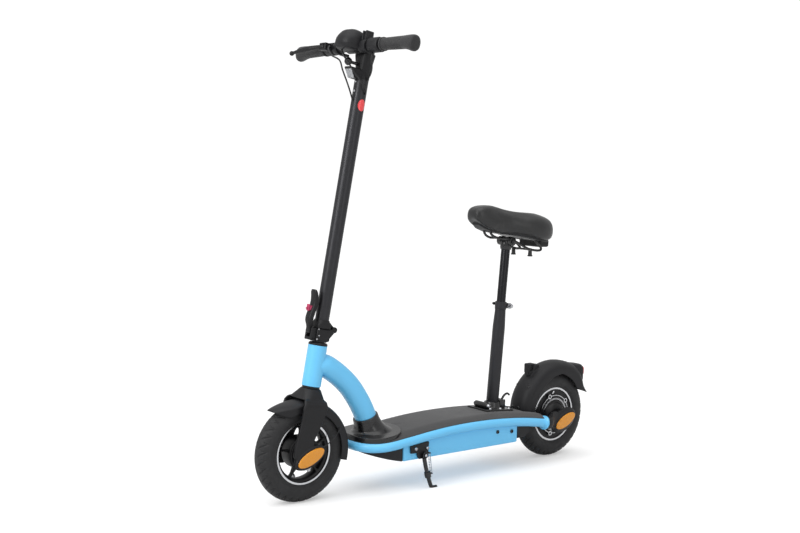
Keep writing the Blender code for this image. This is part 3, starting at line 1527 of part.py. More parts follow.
HINGE_TOP = HINGE_SPLIT + HINGE_TOP_HEIGHT
hinge_top = loft(
    "hinge_top",
    along_z(
        [
            (HINGE_SPLIT + GAP, 0, half_box, half_box, 6),
            (HINGE_SPLIT + 0.0100, 0, half_box, half_box, 6),
            (HINGE_SPLIT + 0.0150, 0, 0.0200, 0.0200, 3),
            (HINGE_TOP, 0, 0.0192, 0.0192, 2),
        ],
        20,
    ),
    STEM,
)
knuckle = rod("knuckle", (0, -KNUCKLE_HALF, 0), (0, KNUCKLE_HALF, 0), KNUCKLE_R, knuckle_at, 12)
web = plate(
    "web",
    [
        (-KNUCKLE_BACK - 0.0020, HINGE_SPLIT + 0.0070),
        (-KNUCKLE_BACK, HINGE_SPLIT + 2 * GAP),
        (-half_box + 0.004, HINGE_SPLIT + 2 * GAP),
        (-half_box + 0.004, HINGE_TOP - 0.0020),
    ],
    2 * KNUCKLE_HALF,
    STEM @ FACING_Y,
)
knuckle_bore = rod("knuckle_bore", (0, -0.03, 0), (0, 0.03, 0), HINGE_PIN_R + GAP, knuckle_at, 8)
spigot = rod("spigot", (0, 0, HINGE_TOP - 0.005), (0, 0, HINGE_TOP + 0.030), STEM_R - STEM_WALL - GAP, STEM, 20)
hinge_top = cut(joined(hinge_top, knuckle, web, spigot), knuckle_bore)
finish("hinge_top", hinge_top, BLACK_METAL)

lever_line = [
    (0.0000, 0.0000, 1.0),
    (0.0035, 0.0150, 1.15),
    (0.0060, 0.0300, 1.2),
    (0.0030, 0.0480, 1.25),
    (-0.0010, 0.0660, 1.2),
    (0.0000, 0.0840, 1.05),
    (0.0055, 0.1040, 0.70),
]
lever_points = smooth([(x, 0, z, size) for x, z, size in lever_line], 9)
lever_rings = []
for place, (x, _, z, size) in enumerate(lever_points):
    wide = 0.0070 + 0.0050 * min(1, max(0, (z - 0.012) / 0.012))
    if place == len(lever_points) - 1:
        wide, size = wide * 0.7, size * 0.6
    lever_rings.append(
        ring_points((x, 0, z), (0.0060 * size, 0, 0), (0, wide, 0), 3.5, 8)
    )
lever = loft("lever", lever_rings, LATCH_AT)
lever_hub = rod("lever_hub", (0, -0.0078, 0), (0, 0.0078, 0), 0.0066, LATCH_AT, 12)
lever_bore = rod("lever_bore", (0, -0.02, 0), (0, 0.02, 0), 0.0025 + GAP, LATCH_AT, 10)
CATCH_AT = LATCH_AT @ Matrix.Translation((0.0085, 0, 0.0560))
catch_slot = block("catch_slot", (-0.0082, -0.0062, -0.0104), (0.02, 0.0062, 0.0104), 0, CATCH_AT)
catch_pin = rod("catch_pin", (-0.0015, -0.0100, 0), (-0.0015, 0.0100, 0), 0.0016, CATCH_AT, 8)
lever = joined(cut(joined(lever, lever_hub), lever_bore, catch_slot), catch_pin)
finish("latch_lever", lever, BLACK_METAL)
catch = block("catch", (-0.0050, -0.0056, -0.0085), (0.0040, 0.0056, 0.0085), 0.0015, CATCH_AT, 1)
catch_tip = rod("catch_tip", (0.0020, 0, -0.0030), (0.0120, 0, -0.0010), 0.0018, CATCH_AT, 8)
catch_bore = rod("catch_bore", (-0.0015, -0.02, 0), (-0.0015, 0.02, 0), 0.0016 + GAP, CATCH_AT, 8)
finish("safety_catch", cut(joined(catch, catch_tip), catch_bore), RED_CATCH)

stem_tube = turned(
    "stem_tube",
    [
        (STEM_R - STEM_WALL, BAR_HEIGHT + 0.0060),
        (STEM_R, BAR_HEIGHT + 0.0060),
        (STEM_R, HINGE_TOP + GAP),
        (STEM_R - STEM_WALL, HINGE_TOP + GAP),
    ],
    STEM,
    20,
)
finish("stem_tube", stem_tube, SATIN_BLACK)


# Handlebar: cross tube, clamp ring, arm and the head that caps the stem
def bar_head(name, grow=0.0):
    pieces = [
        rod(name, (0, 0, BAR_HEIGHT - 0.0280 - grow), (0, 0, BAR_HEIGHT + 0.0110 + grow), HEAD_CLAMP_R + grow, STEM, 16),
        rod("ring", (0, -0.0200 - grow, 0), (0, 0.0200 + grow, 0), BAR_R + 0.0055 + grow, BAR, 16),
        block(
            "arm",
            (-BAR_FORWARD + 0.005, -0.0150 - grow, -0.0125 - grow),
            (0, 0.0150 + grow, 0.0100 + grow),
            0.003,
            BAR,
        ),
    ]
    return joined(*pieces)


bar = rod("bar", (0, -BAR_HALF, 0), (0, BAR_HALF, 0), BAR_R, BAR, 16)
stem_room = rod(
    "stem_room", (0, 0, BAR_HEIGHT - 0.05), (0, 0, BAR_HEIGHT + 0.0060 + GAP), STEM_R + GAP, STEM, 20
)
handlebar = cut(joined(bar_head("bar_head"), bar), stem_room)
finish("handlebar", handlebar, BLACK_METAL)

for label, side in (("left", 1), ("right", -1)):
    rows = [
        (GRIP_START, 0.0170, 0.0170, 0.0170),
        (GRIP_START + 0.0040, 0.0170, 0.0170, 0.0170),
        (GRIP_START + 0.0050, GRIP_R, GRIP_R, GRIP_R),
        (GRIP_END - 0.0435, GRIP_R, GRIP_R + 0.0020, GRIP_R),
        (GRIP_END - 0.0235, GRIP_R + 0.0006, GRIP_R + 0.0055, GRIP_R + 0.0010),
        (GRIP_END - 0.0105, GRIP_R + 0.0004, GRIP_R + 0.0095, GRIP_R + 0.0015),
        (GRIP_END - 0.0025, GRIP_R - 0.0010, GRIP_R + 0.0090, GRIP_R),
        (GRIP_END, GRIP_R - 0.0050, GRIP_R + 0.0040, GRIP_R - 0.0040),
    ]
    rings = [
        ring_points(
            (0, side * y, (up - down) / 2), (fore, 0, 0), (0, 0, (up + down) / 2), 2.2, 14
        )
        for y, up, down, fore in rows
    ]
    grip = loft("grip", rings, BAR)
    grip_bore = rod(
        "grip_bore", (0, side * (GRIP_START - 0.01), 0), (0, side * (BAR_HALF + GAP), 0), BAR_R + GAP, BAR, 16
    )
    finish("grip_" + label, cut(grip, grip_bore), GRIP_RUBBER)

# Display pod over the bar's middle, with its window towards the rider and a ribbed clamp beside it
POD = STEM @ Matrix.Translation((BAR_FORWARD + 0.0110, 0, BAR_HEIGHT + 0.0080))
pod_rows = [
    (-0.0340, 0.0000, 0.0240, 0.0280, 2.4),
    (-0.0240, 0.0000, 0.0345, 0.0360, 2.4),
    (-0.0080, 0.0000, 0.0395, 0.0400, 2.3),
    (0.0100, -0.0010, 0.0380, 0.0385, 2.2),
    (0.0260, -0.0015, 0.0270, 0.0285, 2.1),
    (0.0330, -0.0020, 0.0110, 0.0120, 2.0),
]
display = loft("display", along_z(pod_rows, 16), POD)
WINDOW = POD @ Matrix.Translation((-0.0180, 0, 0.0165)) @ Matrix.Rotation(math.radians(-42), 4, "Y")
window_cut = block("window_cut", (-0.05, -0.06, 0), (0.05, 0.06, 0.05), 0, WINDOW)
window_seat = block("window_seat", (-0.0180, -0.0240, -0.0022), (0.0180, 0.0240, 0.01), 0, WINDOW)
ribs = []
for place in (0.0430, 0.0560):
    ribs.append(
        block("rib", (-0.0120, place - 0.0028, 0.0100), (0.0120, place + 0.0028, 0.0370), 0.0025, BAR, 1)
    )
clip = rod("clip", (0, 0.0330, 0), (0, 0.0620, 0), BAR_R + 0.0055, BAR, 16)
clip_top = block("clip_top", (-0.0090, 0.0390, 0.0120), (0.0090, 0.0600, 0.0300), 0.003, BAR, 1)
bar_room = rod("bar_room", (0, -0.08, 0), (0, 0.08, 0), BAR_R + GAP, BAR, 16)
display = joined(display, clip, clip_top, *ribs)
ring_room = block(
    "ring_room",
    (-BAR_FORWARD, -0.0200 - GAP, -BAR_R - 0.0055 - GAP),
    (BAR_R + 0.0055 + GAP, 0.0200 + GAP, BAR_R + 0.0055 + GAP),
    0,
    BAR,
)
head_room = rod(
    "head_room",
    (0, 0, BAR_HEIGHT - 0.06),
    (0, 0, BAR_HEIGHT + 0.0110 + GAP),
    HEAD_CLAMP_R + GAP,
    STEM,
    16,
)
display = cut(display, window_cut, window_seat, ring_room, head_room, bar_room)
finish("display_housing", display, BLACK_PLASTIC)
window = block(
    "window", (-0.0180 + GAP, -0.0240 + GAP, -0.0022 + GAP), (0.0180 - GAP, 0.0240 - GAP, 0.0004), 0, WINDOW
)
finish("display_window", window, DARK_GLASS)

# Headlamp under the bar and the small horn above it
LAMP = STEM @ Matrix.Translation((0, 0, BAR_HEIGHT - 0.0630))
LAMP_FACE = STEM @ Matrix.Translation((0.0393, 0, BAR_HEIGHT - 0.0666)) @ Matrix.Rotation(
    math.radians(123), 4, "Y"
)
lamp_body = block("lamp_body", (0.0100, -0.0150, -0.0140), (0.0560, 0.0150, 0.0115), 0.0030, LAMP)
lamp_cut = block("lamp_cut", (-0.05, -0.05, 0), (0.05, 0.05, 0.05), 0, LAMP_FACE)
stem_space = rod("stem_space", (0, 0, 0.3), (0, 0, BAR_HEIGHT), STEM_R + GAP, STEM, 20)
finish("headlamp_housing", cut(lamp_body, lamp_cut, stem_space), BLACK_PLASTIC)
lamp_lens = block("lamp_lens", (-0.0120, -0.0130, GAP), (0.0120, 0.0130, 0.0024), 0.0008, LAMP_FACE, 1)
finish("headlamp_lens", lamp_lens, CLEAR_LENS)
horn = ball("horn", (0.0500, 0, BAR_HEIGHT - 0.0392), 0.0100, STEM, 6)
horn_stalk = rod("horn_stalk", (0.0100, 0, BAR_HEIGHT - 0.0392), (0.0460, 0, BAR_HEIGHT - 0.0392), 0.0040, STEM, 10)
stem_space = rod("stem_space", (0, 0, 0.3), (0, 0, BAR_HEIGHT), STEM_R + GAP, STEM, 20)
finish("horn", cut(joined(horn, horn_stalk), stem_space), BLACK_PLASTIC)

# Brake lever in its perch on the right, thumb throttle beside it
perch_ring = rod("perch_ring", (0, PERCH_Y - 0.0125, 0), (0, PERCH_Y + 0.0185, 0), BAR_R + 0.0055, BAR, 16)
perch_body = block(
    "perch_body",
    (0.0080, PERCH_Y - 0.0115, -0.0095),
    (LEVER_FORWARD + 0.0060, PERCH_Y + 0.0175, 0.0095),
    0.0030,
    BAR,
)
perch_gap = block(
    "perch_gap",
    (LEVER_FORWARD - 0.0088, PERCH_Y - 0.03, -0.0046),
    (LEVER_FORWARD + 0.03, PERCH_Y + 0.0100, 0.0046),
    0,
    BAR,
)
LEVER_AT = BAR @ Matrix.Translation((LEVER_FORWARD, PERCH_Y, 0))
lever_pin = rod("lever_pin", (0, 0, -0.0080), (0, 0, 0.0080), LEVER_PIN_R, LEVER_AT, 10)
perch_bore = rod("perch_bore", (0, PERCH_Y - 0.05, 0), (0, PERCH_Y + 0.05, 0), BAR_R + GAP, BAR, 16)
perch = joined(cut(joined(perch_ring, perch_body), perch_gap, perch_bore), lever_pin)
finish("brake_perch", perch, BLACK_METAL)
blade_points = smooth(
    [
        (0.0000, -0.0020, 0, 0.0040, 0.0042),
        (0.0060, -0.0200, 0, 0.0042, 0.0042),
        (0.0150, -0.0420, -0.0005, 0.0046, 0.0040),
        (0.0220, -0.0700, -0.0012, 0.0046, 0.0036),
        (0.0255, -0.0980, -0.0020, 0.0036, 0.0034),
    ],
    8,
)
blade_rings = [
    ring_points((x, y, z), (a, 0, 0), (0, 0, b), 2.5, 10) for x, y, z, a, b in blade_points
]
lever_hub = rod("lever_hub", (0, 0, -0.0043), (0, 0, 0.0043), 0.0068, LEVER_AT, 12)
lever_ball = ball("lever_ball", (0.0258, -0.1040, -0.0022), 0.0064, LEVER_AT, 4)
lever_bore = rod("lever_bore", (0, 0, -0.02), (0, 0, 0.02), LEVER_PIN_R + GAP, LEVER_AT, 10)
lever = cut(joined(loft("blade", blade_rings, LEVER_AT), lever_hub, lever_ball), lever_bore)
finish("brake_lever", lever, BLACK_METAL)

throttle_ring = rod(
    "throttle_ring", (0, THROTTLE_Y - 0.0090, 0), (0, THROTTLE_Y + 0.0090, 0), BAR_R + 0.0050, BAR, 16
)
paddle = block(
    "paddle",
    (-0.0330, THROTTLE_Y - 0.0075, -0.0150),
    (-0.0080, THROTTLE_Y + 0.0060, -0.0080),
    0.0025,
    BAR,
)
throttle_bore = rod("throttle_bore", (0, THROTTLE_Y - 0.03, 0), (0, THROTTLE_Y + 0.03, 0), BAR_R + GAP, BAR, 16)
finish("throttle", cut(joined(throttle_ring, paddle), throttle_bore), BLACK_PLASTIC)

# Switch pod on the left with its horn button
pod_rows = [
    (SWITCH_Y - 0.0200, 0, 0, 0.0150, 0.0150, 2.4),
    (SWITCH_Y - 0.0180, -0.001, 0, SWITCH_R, SWITCH_R - 0.001, 2.6),
    (SWITCH_Y + 0.0160, -0.001, 0, SWITCH_R, SWITCH_R - 0.001, 2.6),
    (SWITCH_Y + 0.0200, 0, 0, 0.0155, 0.0155, 2.4),
]
switch_pod = loft("switch_pod", along_y(pod_rows, 16), BAR)
BUTTON_AT = BAR @ Matrix.Translation((-SWITCH_R - 0.0010, SWITCH_Y, 0.0020)) @ Matrix.Rotation(-math.pi / 2, 4, "Y")
switch_bore = rod("switch_bore", (0, SWITCH_Y - 0.05, 0), (0, SWITCH_Y + 0.05, 0), BAR_R + GAP, BAR, 16)
button_seat = rod("button_seat", (0, 0, -0.0040), (0, 0, 0.02), 0.0058, BUTTON_AT, 12)
finish("switch_pod", cut(switch_pod, switch_bore, button_seat), BLACK_PLASTIC)
button = rod("button", (0, 0, -0.0027), (0, 0, 0.0012), 0.0054, BUTTON_AT, 12)
finish("horn_button", button, RED_CATCH)


# Cables: the brake cable hangs in front of the stem, the other two go into its side
def cable(name, route, radius=0.0021, count=14):
    """A cable through points of the stem's own frame, trimmed where it meets the stem tube."""
    inside = rod("inside", (0, 0, 0.3), (0, 0, BAR_HEIGHT), STEM_R + GAP, STEM, 20)
    return finish(name, cut(tube(name, smooth(route, count), radius, STEM, 6), inside), CABLE_BLACK)


BAR_F, BAR_S = BAR_FORWARD, BAR_HEIGHT
cable(
    "brake_cable",
    [
        (BAR_F + LEVER_FORWARD - 0.0010, PERCH_Y + 0.0190, BAR_S),
        (BAR_F + LEVER_FORWARD + 0.0010, PERCH_Y + 0.0290, BAR_S - 0.0005),
        (BAR_F + 0.0420, -0.0530, BAR_S - 0.0120),
        (BAR_F + 0.0440, -0.0310, BAR_S - 0.0300),
        (BAR_F + 0.0343, -0.0060, BAR_S - 0.0420),
        (BAR_F + 0.0250, 0.0010, BAR_S - 0.0650),
        (0.0430, 0.0030, BAR_S - 0.0950),
        (0.0280, 0.0030, BAR_S - 0.1180),
        (0.0150, 0.0030, BAR_S - 0.1400),
    ],
    count=18,
)
cable(
    "signal_cable",
    [
        (BAR_F + 0.0200, 0.0130, BAR_S - 0.0275),
        (BAR_F + 0.0195, 0.0190, BAR_S - 0.0400),
        (BAR_F + 0.0120, 0.0240, BAR_S - 0.0560),
        (0.0350, 0.0260, BAR_S - 0.0750),
        (0.0200, 0.0255, BAR_S - 0.0980),
        (0.0070, 0.0225, BAR_S - 0.1220),
        (0.0010, 0.0140, BAR_S - 0.1390),
    ],
)
cable(
    "switch_cable",
    [
        (BAR_F, SWITCH_Y - 0.0100, BAR_S - SWITCH_R - 0.0003),
        (BAR_F - 0.0010, SWITCH_Y - 0.0120, BAR_S - SWITCH_R - 0.0080),
        (BAR_F - 0.0120, SWITCH_Y - 0.0340, BAR_S - 0.0470),
        (BAR_F - 0.0290, SWITCH_Y - 0.0560, BAR_S - 0.0570),
        (BAR_F - 0.0400, SWITCH_Y - 0.0680, BAR_S - 0.0680),
        (-0.0040, 0.0100, BAR_S - 0.0830),
    ],
)

# Bodies: an empty on each joint's axis, local Z along the axis, carries the pieces that move with it
SIDEWAYS = Vector((0, 1, 0))
STEER_UP = (STEM.to_3x3() @ UP).normalized()
SEAT_UP = (SEAT.to_3x3() @ UP).normalized()


def hold(child, parent):
    bpy.context.view_layer.update()
    child.parent = parent
    child.matrix_parent_inverse = parent.matrix_world.inverted()


def pivot(name, where, axis, parent):
    empty = link(name, None, Matrix.Translation(where) @ axis.to_track_quat("Z", "Y").to_matrix().to_4x4())
    empty.empty_display_size = 0.03
    hold(empty, parent)
    return empty


stance = link("stance", None)
steering = pivot("steering_axis", STEM @ Vector((0, 0, HEAD_LOW)), STEER_UP, stance)
folding = pivot("stem_fold_axis", knuckle_at.translation, -SIDEWAYS, steering)
carried = {
    steering: (
        "fork",
        "front_fender",
        "front_reflector_left",
        "front_reflector_right",
        "front_axle",
        "brake_plate",
        "front_brake_wire",
        "hinge_base",
    ),
    folding: (
        "hinge_top",
        "stem_tube",
        "handlebar",
        "grip_left",
        "grip_right",
        "display_housing",
        "display_window",
        "headlamp_housing",
        "headlamp_lens",
        "horn",
        "brake_perch",
        "switch_pod",
        "brake_cable",
        "signal_cable",
        "switch_cable",
    ),
    pivot("front_wheel_axis", FRONT_AXLE, SIDEWAYS, steering): ("front_tyre", "front_wheel"),
    pivot("rear_wheel_axis", REAR_AXLE, SIDEWAYS, stance): ("rear_tyre", "rear_hub"),
    pivot("brake_cam_axis", CAM, SIDEWAYS, steering): ("brake_arm",),
    pivot("brake_lever_axis", LEVER_AT.translation, STEER_UP, folding): ("brake_lever",),
    pivot("throttle_axis", BAR.translation, SIDEWAYS, folding): ("throttle",),
    pivot("horn_button_axis", BUTTON_AT.translation, BUTTON_AT.to_3x3() @ UP, folding): ("horn_button",),
    pivot("kickstand_axis", STAND_PIVOT, SIDEWAYS, stance): ("kickstand_leg", "kickstand_spring"),
    pivot("seat_lever_axis", CLAMP_BOLT, SIDEWAYS, stance): ("seat_lever",),
    pivot("mount_handle_axis", HANDLE_PIVOT, SIDEWAYS, stance): ("mount_handle",),
}
latch = pivot("latch_axis", LATCH, SIDEWAYS, steering)
carried[latch] = ("latch_lever",)
carried[pivot("catch_axis", CATCH_AT @ Vector((-0.0015, 0, 0)), SIDEWAYS, latch)] = ("safety_catch",)
post = pivot("seat_post_axis", SEAT @ Vector((0, 0, POST_LOW)), SEAT_UP, stance)
carried[post] = ("seat_post", "saddle_clamp")
tilting = pivot("saddle_tilt_axis", TILT, SIDEWAYS, post)
carried[tilting] = ("saddle_rails", "saddle_base", "saddle_cushion")

riding = {name: empty for empty, names in carried.items() for name in names}
for obj in finished:
    hold(obj, riding.get(obj.name, stance))

# The stance: leaned onto the kickstand, standing on Z = 0 over the middle of its own footprint
stance.matrix_world = TO_GROUND
bpy.context.view_layer.update()
corners = np.array([tuple(obj.matrix_world @ vert.co) for obj in finished for vert in obj.data.vertices])
low, high = corners.min(axis=0), corners.max(axis=0)
middle = Vector(((low[0] + high[0]) / 2, (low[1] + high[1]) / 2, low[2]))
stance.matrix_world = Matrix.Translation(-middle) @ TO_GROUND
bpy.context.view_layer.update()
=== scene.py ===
"""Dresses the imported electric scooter: finer shapes, trim, fasteners and finishes around the fixed frame.

Every shape is drawn upright in metres, as the scooter stands before it leans: X forward, Y to its left,
Z up, X = 0 halfway between the axles and the ground at Z = 0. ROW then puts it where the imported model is.
"""
import json
import math

import bmesh
import bpy
import numpy as np
from mathutils import Matrix, Vector


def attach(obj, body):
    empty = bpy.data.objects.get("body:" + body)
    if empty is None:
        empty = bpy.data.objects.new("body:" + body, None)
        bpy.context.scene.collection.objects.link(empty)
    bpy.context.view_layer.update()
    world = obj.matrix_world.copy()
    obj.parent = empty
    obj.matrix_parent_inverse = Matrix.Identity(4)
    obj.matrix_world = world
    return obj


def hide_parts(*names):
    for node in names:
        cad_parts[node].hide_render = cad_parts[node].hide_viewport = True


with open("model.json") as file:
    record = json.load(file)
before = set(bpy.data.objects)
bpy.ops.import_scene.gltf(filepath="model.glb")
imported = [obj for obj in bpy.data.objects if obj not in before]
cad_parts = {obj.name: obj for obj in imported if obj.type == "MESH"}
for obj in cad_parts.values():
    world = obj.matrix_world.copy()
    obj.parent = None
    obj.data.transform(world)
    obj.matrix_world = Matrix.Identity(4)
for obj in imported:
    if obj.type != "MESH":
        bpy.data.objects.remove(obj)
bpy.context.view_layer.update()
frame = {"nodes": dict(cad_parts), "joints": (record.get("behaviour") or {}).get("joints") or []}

scene = bpy.context.scene


def shift(x, y, z):
    return Matrix.Translation((x, y, z))


# Stance and clearances
WHEELBASE = 0.887
LEAN = math.radians(2.4)
GAP = 0.0003

# Wheels and tyres
TYRE_R = 0.127
TYRE_SECTION_R = 0.0275
RIM_R = 0.0795
RIM_HALF = 0.02
RIM_LIP = 0.0035
AXLE_R = 0.005
WHEEL_STEPS = 28
SPOKES = 5
FRONT_DRUM_R = 0.042
FRONT_DRUM_HALF = 0.025
MOTOR_DOME_R = 0.036
MOTOR_DOME_HALF = 0.039
MOTOR_LUGS = 5

# Steering line and head tube
RAKE = math.radians(10.0)
STEER_OFFSET = 0.0025
HEAD_LOW = 0.168
HEAD_LENGTH = 0.104
HEAD_R = 0.0245
HEAD_BORE_R = 0.0198
STEERER_R = 0.0145
HEAD_FLANGE = 0.0045

# Fork
BLADE_INSIDE = 0.041
BLADE_THICK = 0.011
CROWN_CLEARANCE = 0.0095
FENDER_CLEARANCE = 0.005
FENDER_WALL = 0.0026
FRONT_FENDER_HALF = 0.036

# Neck and deck
NECK_R = 0.029
RAIL_R = 0.0131
RAIL_HALF = 0.085
RAIL_REAR = -0.3575
NOSE_START = 0.2
NOSE_LENGTH = 0.083
ARCH_TOP = 0.149
ARCH_TOP_X = -0.06
ARCH_REAR_DROP = 0.027
ARCH_FRONT_DROP = 0.0235
DECK_PLATE = 0.004
DECK_PLATE_LIFT = 0.0045
MAT_OVERHANG = 0.0055
MAT_CROWN = 0.0225
MAT_CAMBER = 0.0015
MAT_REAR = -0.345
MAT_NOTCH_HALF = 0.042
BOX_FRONT = 0.175
BOX_REAR = -0.235
BOX_HALF = 0.086
BOX_BOTTOM = 0.082
BOOT_X = 0.215

# Kickstand
STAND_PIVOT_X = 0.1105
STAND_PIVOT_Y = 0.0955
STAND_PIVOT_Z = 0.093
STAND_FOOT_Y = 0.1005
STAND_LEG_R = 0.0045
SPRING_WIRE_R = 0.0007
SPRING_R = 0.0026
SPRING_TURNS = 11
SPRING_PIN_R = 0.0022

# Folding joint and stem
COLLAR_R = 0.0205
HINGE_LOW = 0.2812
HINGE_SPLIT = 0.3156
HINGE_TOP_HEIGHT = 0.0214
HINGE_HALF = 0.0205
KNUCKLE_BACK = 0.0306
KNUCKLE_R = 0.0075
KNUCKLE_HALF = 0.0095
HINGE_PIN_R = 0.0035
STEM_R = 0.018
STEM_WALL = 0.0025
LATCH_FORWARD = 0.033
LATCH_HEIGHT = 0.306

# Handlebar and what is on it
BAR_HEIGHT = 1.028
BAR_FORWARD = 0.0382
BAR_R = 0.0111
BAR_HALF = 0.2455
HEAD_CLAMP_R = 0.0215
GRIP_LENGTH = 0.1285
GRIP_START = BAR_HALF + 0.003 - GRIP_LENGTH
GRIP_R = 0.015
PERCH_Y = 0.02 - GRIP_START
LEVER_FORWARD = 0.027
LEVER_PIN_R = 0.0025
THROTTLE_Y = PERCH_Y + 0.031
SWITCH_Y = GRIP_START - 0.028
SWITCH_R = 0.019

# Seat
SEAT_LEAN = math.radians(4.26)
SEAT_X = -0.2116
SEAT_TUBE_R = 0.0177
SEAT_TOP_R = 0.0154
SEAT_TUBE_LENGTH = 0.306
SEAT_COLLAR_R = 0.0165
SEAT_COLLAR_HEIGHT = 0.0221
POST_R = 0.0127
POST_LOW = 0.1354
TILT_HEIGHT = 0.4815
POST_TOP = TILT_HEIGHT - 0.0155
TILT_BOLT_R = 0.004
RAIL_WIRE_R = 0.0035
RAIL_WIRE_HALF = 0.022
SADDLE_LIP = 0.012

# Rear arms and fender
ARM_Y = 0.056
ARM_POD_THICK = 0.0145
REFLECTOR_THICK = 0.0024
REFLECTOR_TILT = math.radians(24.0)

SIDES = (("left", 1), ("right", -1))
UP = Vector((0, 0, 1))
SIDEWAYS = Vector((0, 1, 0))
ALONG_Y = Matrix.Rotation(-math.pi / 2, 4, "X")
FACING_Y = Matrix.Rotation(math.pi / 2, 4, "X")

FRONT_AXLE = Vector((WHEELBASE / 2, 0, TYRE_R))
REAR_AXLE = Vector((-WHEELBASE / 2, 0, TYRE_R))
STEM = Matrix.Translation(FRONT_AXLE - Vector((STEER_OFFSET, 0, 0))) @ Matrix.Rotation(-RAKE, 4, "Y")
BAR = STEM @ shift(BAR_FORWARD, 0, BAR_HEIGHT)
HEAD_TOP = HEAD_LOW + HEAD_LENGTH
CROWN_TOP = HEAD_LOW - HEAD_FLANGE - 2 * GAP

TO_GROUND = Matrix.Rotation(-LEAN, 4, "X")
axle_joint = next(joint for joint in frame["joints"] if joint["name"] == "rear_wheel_spin")
ROW = Matrix.Translation(Vector(axle_joint["pos_m"]) - TO_GROUND @ REAR_AXLE) @ TO_GROUND

# The camera stands to the scooter's front left, as the photograph's does
CAMERA_AT = Vector((2.0673, 2.4052, 0.7552))
CAMERA_YAW, CAMERA_PITCH = math.radians(231.8), math.radians(-3.17)
camera = bpy.data.objects.new("camera", bpy.data.cameras.new("camera"))
camera.data.lens = 52.6
camera.data.sensor_width = 36.0
level = math.cos(CAMERA_PITCH)
looking = Vector((level * math.cos(CAMERA_YAW), level * math.sin(CAMERA_YAW), math.sin(CAMERA_PITCH)))
camera.matrix_world = Matrix.Translation(CAMERA_AT) @ looking.to_track_quat("-Z", "Y").to_matrix().to_4x4()
scene.collection.objects.link(camera)
scene.camera = camera


def smooth(points, count):
    """Evenly spaced points on a smooth curve through the given ones; any further values run along."""
    given = np.array([tuple(point) for point in points], float)
    given = np.vstack([2 * given[0] - given[1], given, 2 * given[-1] - given[-2]])
    fine = []
    for before, start, end, after in zip(given, given[1:], given[2:], given[3:]):
        for t in np.linspace(0, 1, 24, endpoint=False):
            straight = 2 * start + (end - before) * t
            bent = (2 * before - 5 * start + 4 * end - after) * t**2
            fine.append(0.5 * (straight + bent + (3 * start - before - 3 * end + after) * t**3))
    fine = np.array(fine + [given[-2]])
    run = np.concatenate([[0], np.cumsum(np.linalg.norm(np.diff(fine[:, :3], axis=0), axis=1))])
    wanted = np.linspace(0, run[-1], count)
    return np.stack([np.interp(wanted, run, column) for column in fine.T], axis=1)


def arch(x):
    """Height of the deck rails' centre line, which rises to its top behind the middle."""
    if x < ARCH_TOP_X:
        reach = (ARCH_TOP_X - x) / (ARCH_TOP_X - RAIL_REAR)
        return ARCH_TOP - ARCH_REAR_DROP * reach**2.15
    reach = min((x - ARCH_TOP_X) / (NOSE_START + 0.1 - ARCH_TOP_X), 1)
    return ARCH_TOP - ARCH_FRONT_DROP * (0.5 - 0.5 * math.cos(math.pi * reach**1.13))


def mat_top(x, y):
    edge = RAIL_HALF + MAT_OVERHANG
    return arch(x) + MAT_CROWN - MAT_CAMBER * (y / edge) ** 2


def rail_route(count_side=7, count_nose=10):
    """From the left rear end forward, round the nose and back to the right rear end."""
    side = [(x, RAIL_HALF) for x in np.linspace(RAIL_REAR + 0.03, NOSE_START, count_side)]
    flare = [(RAIL_REAR + step, RAIL_HALF) for step in (0, 0.003, 0.008, 0.016)]
    left = flare + side
    nose = []
    for step in range(1, count_nose):
        angle = math.pi / 2 - math.pi * step / count_nose
        c, s = math.cos(angle), math.sin(angle)
        nose.append((NOSE_START + NOSE_LENGTH * abs(c) ** 0.8, math.copysign(RAIL_HALF * abs(s) ** 0.8, s)))
    right = [(x, -y) for x, y in reversed(left)]
    return [(x, y, arch(x)) for x, y in left + nose + right]


def steer_point(height):
    """The point of the steering line at this height above the ground."""
    return Vector((FRONT_AXLE.x - STEER_OFFSET - math.tan(RAKE) * (height - TYRE_R), 0, height))


def neck_route():
    top = steer_point(0.345)
    return [
        (top.x, 0, top.z, HEAD_BORE_R + 0.0035), (0.386, 0, 0.343, 0.0265), (0.37, 0, 0.34, NECK_R),
        (0.33, 0, 0.3135, NECK_R), (0.2928, 0, 0.2795, NECK_R), (0.262, 0, 0.238, NECK_R),
        (0.2409, 0, 0.1994, NECK_R), (0.228, 0, 0.165, NECK_R), (0.22, 0, 0.135, NECK_R),
        (0.219, 0, 0.1265, NECK_R)]


def deck_half(x, reach):
    """Half width of the deck at x, where reach is how far past the rails' centre line it goes."""
    if x <= NOSE_START:
        return RAIL_HALF + reach
    share = min((x - NOSE_START) / (NOSE_LENGTH + reach), 1)
    return (RAIL_HALF + reach) * (1 - share**2.5) ** 0.4


def under_plate(x):
    return arch(x) + DECK_PLATE_LIFT - 3 * GAP


def nose_bottom(x):
    """Underside of the cover between the battery box and the deck's nose."""
    reach = max((x - BOX_FRONT) / (0.3 - BOX_FRONT), 0)
    return BOX_BOTTOM + 0.0002 + 0.035 * reach**1.15


CROWN_LOW = 2 * TYRE_R + CROWN_CLEARANCE
FRONT_POD = FRONT_AXLE + Vector((0, 0, -0.0045))
REAR_POD = REAR_AXLE + Vector((0, 0, -0.011))


def blade_outline():
    """Side view of a blade, from the crown down its rear edge and up its front edge."""
    rear = (
        (0.3926, 0.241), (0.3945, 0.235), (0.402, 0.2179), (0.4112, 0.1996), (0.4223, 0.1799),
        (0.4315, 0.1633), (0.434, 0.145))
    front = (
        (0.46, 0.12), (0.488, 0.124), (0.488, 0.1482), (0.4774, 0.1868), (0.4698, 0.215), (0.4655, 0.235),
        (0.4618, 0.253))
    edges = [smooth([(x, z, 0) for x, z in edge], 26) for edge in (rear, front)]
    return [(x, z) for edge in edges for x, z, _ in edge]


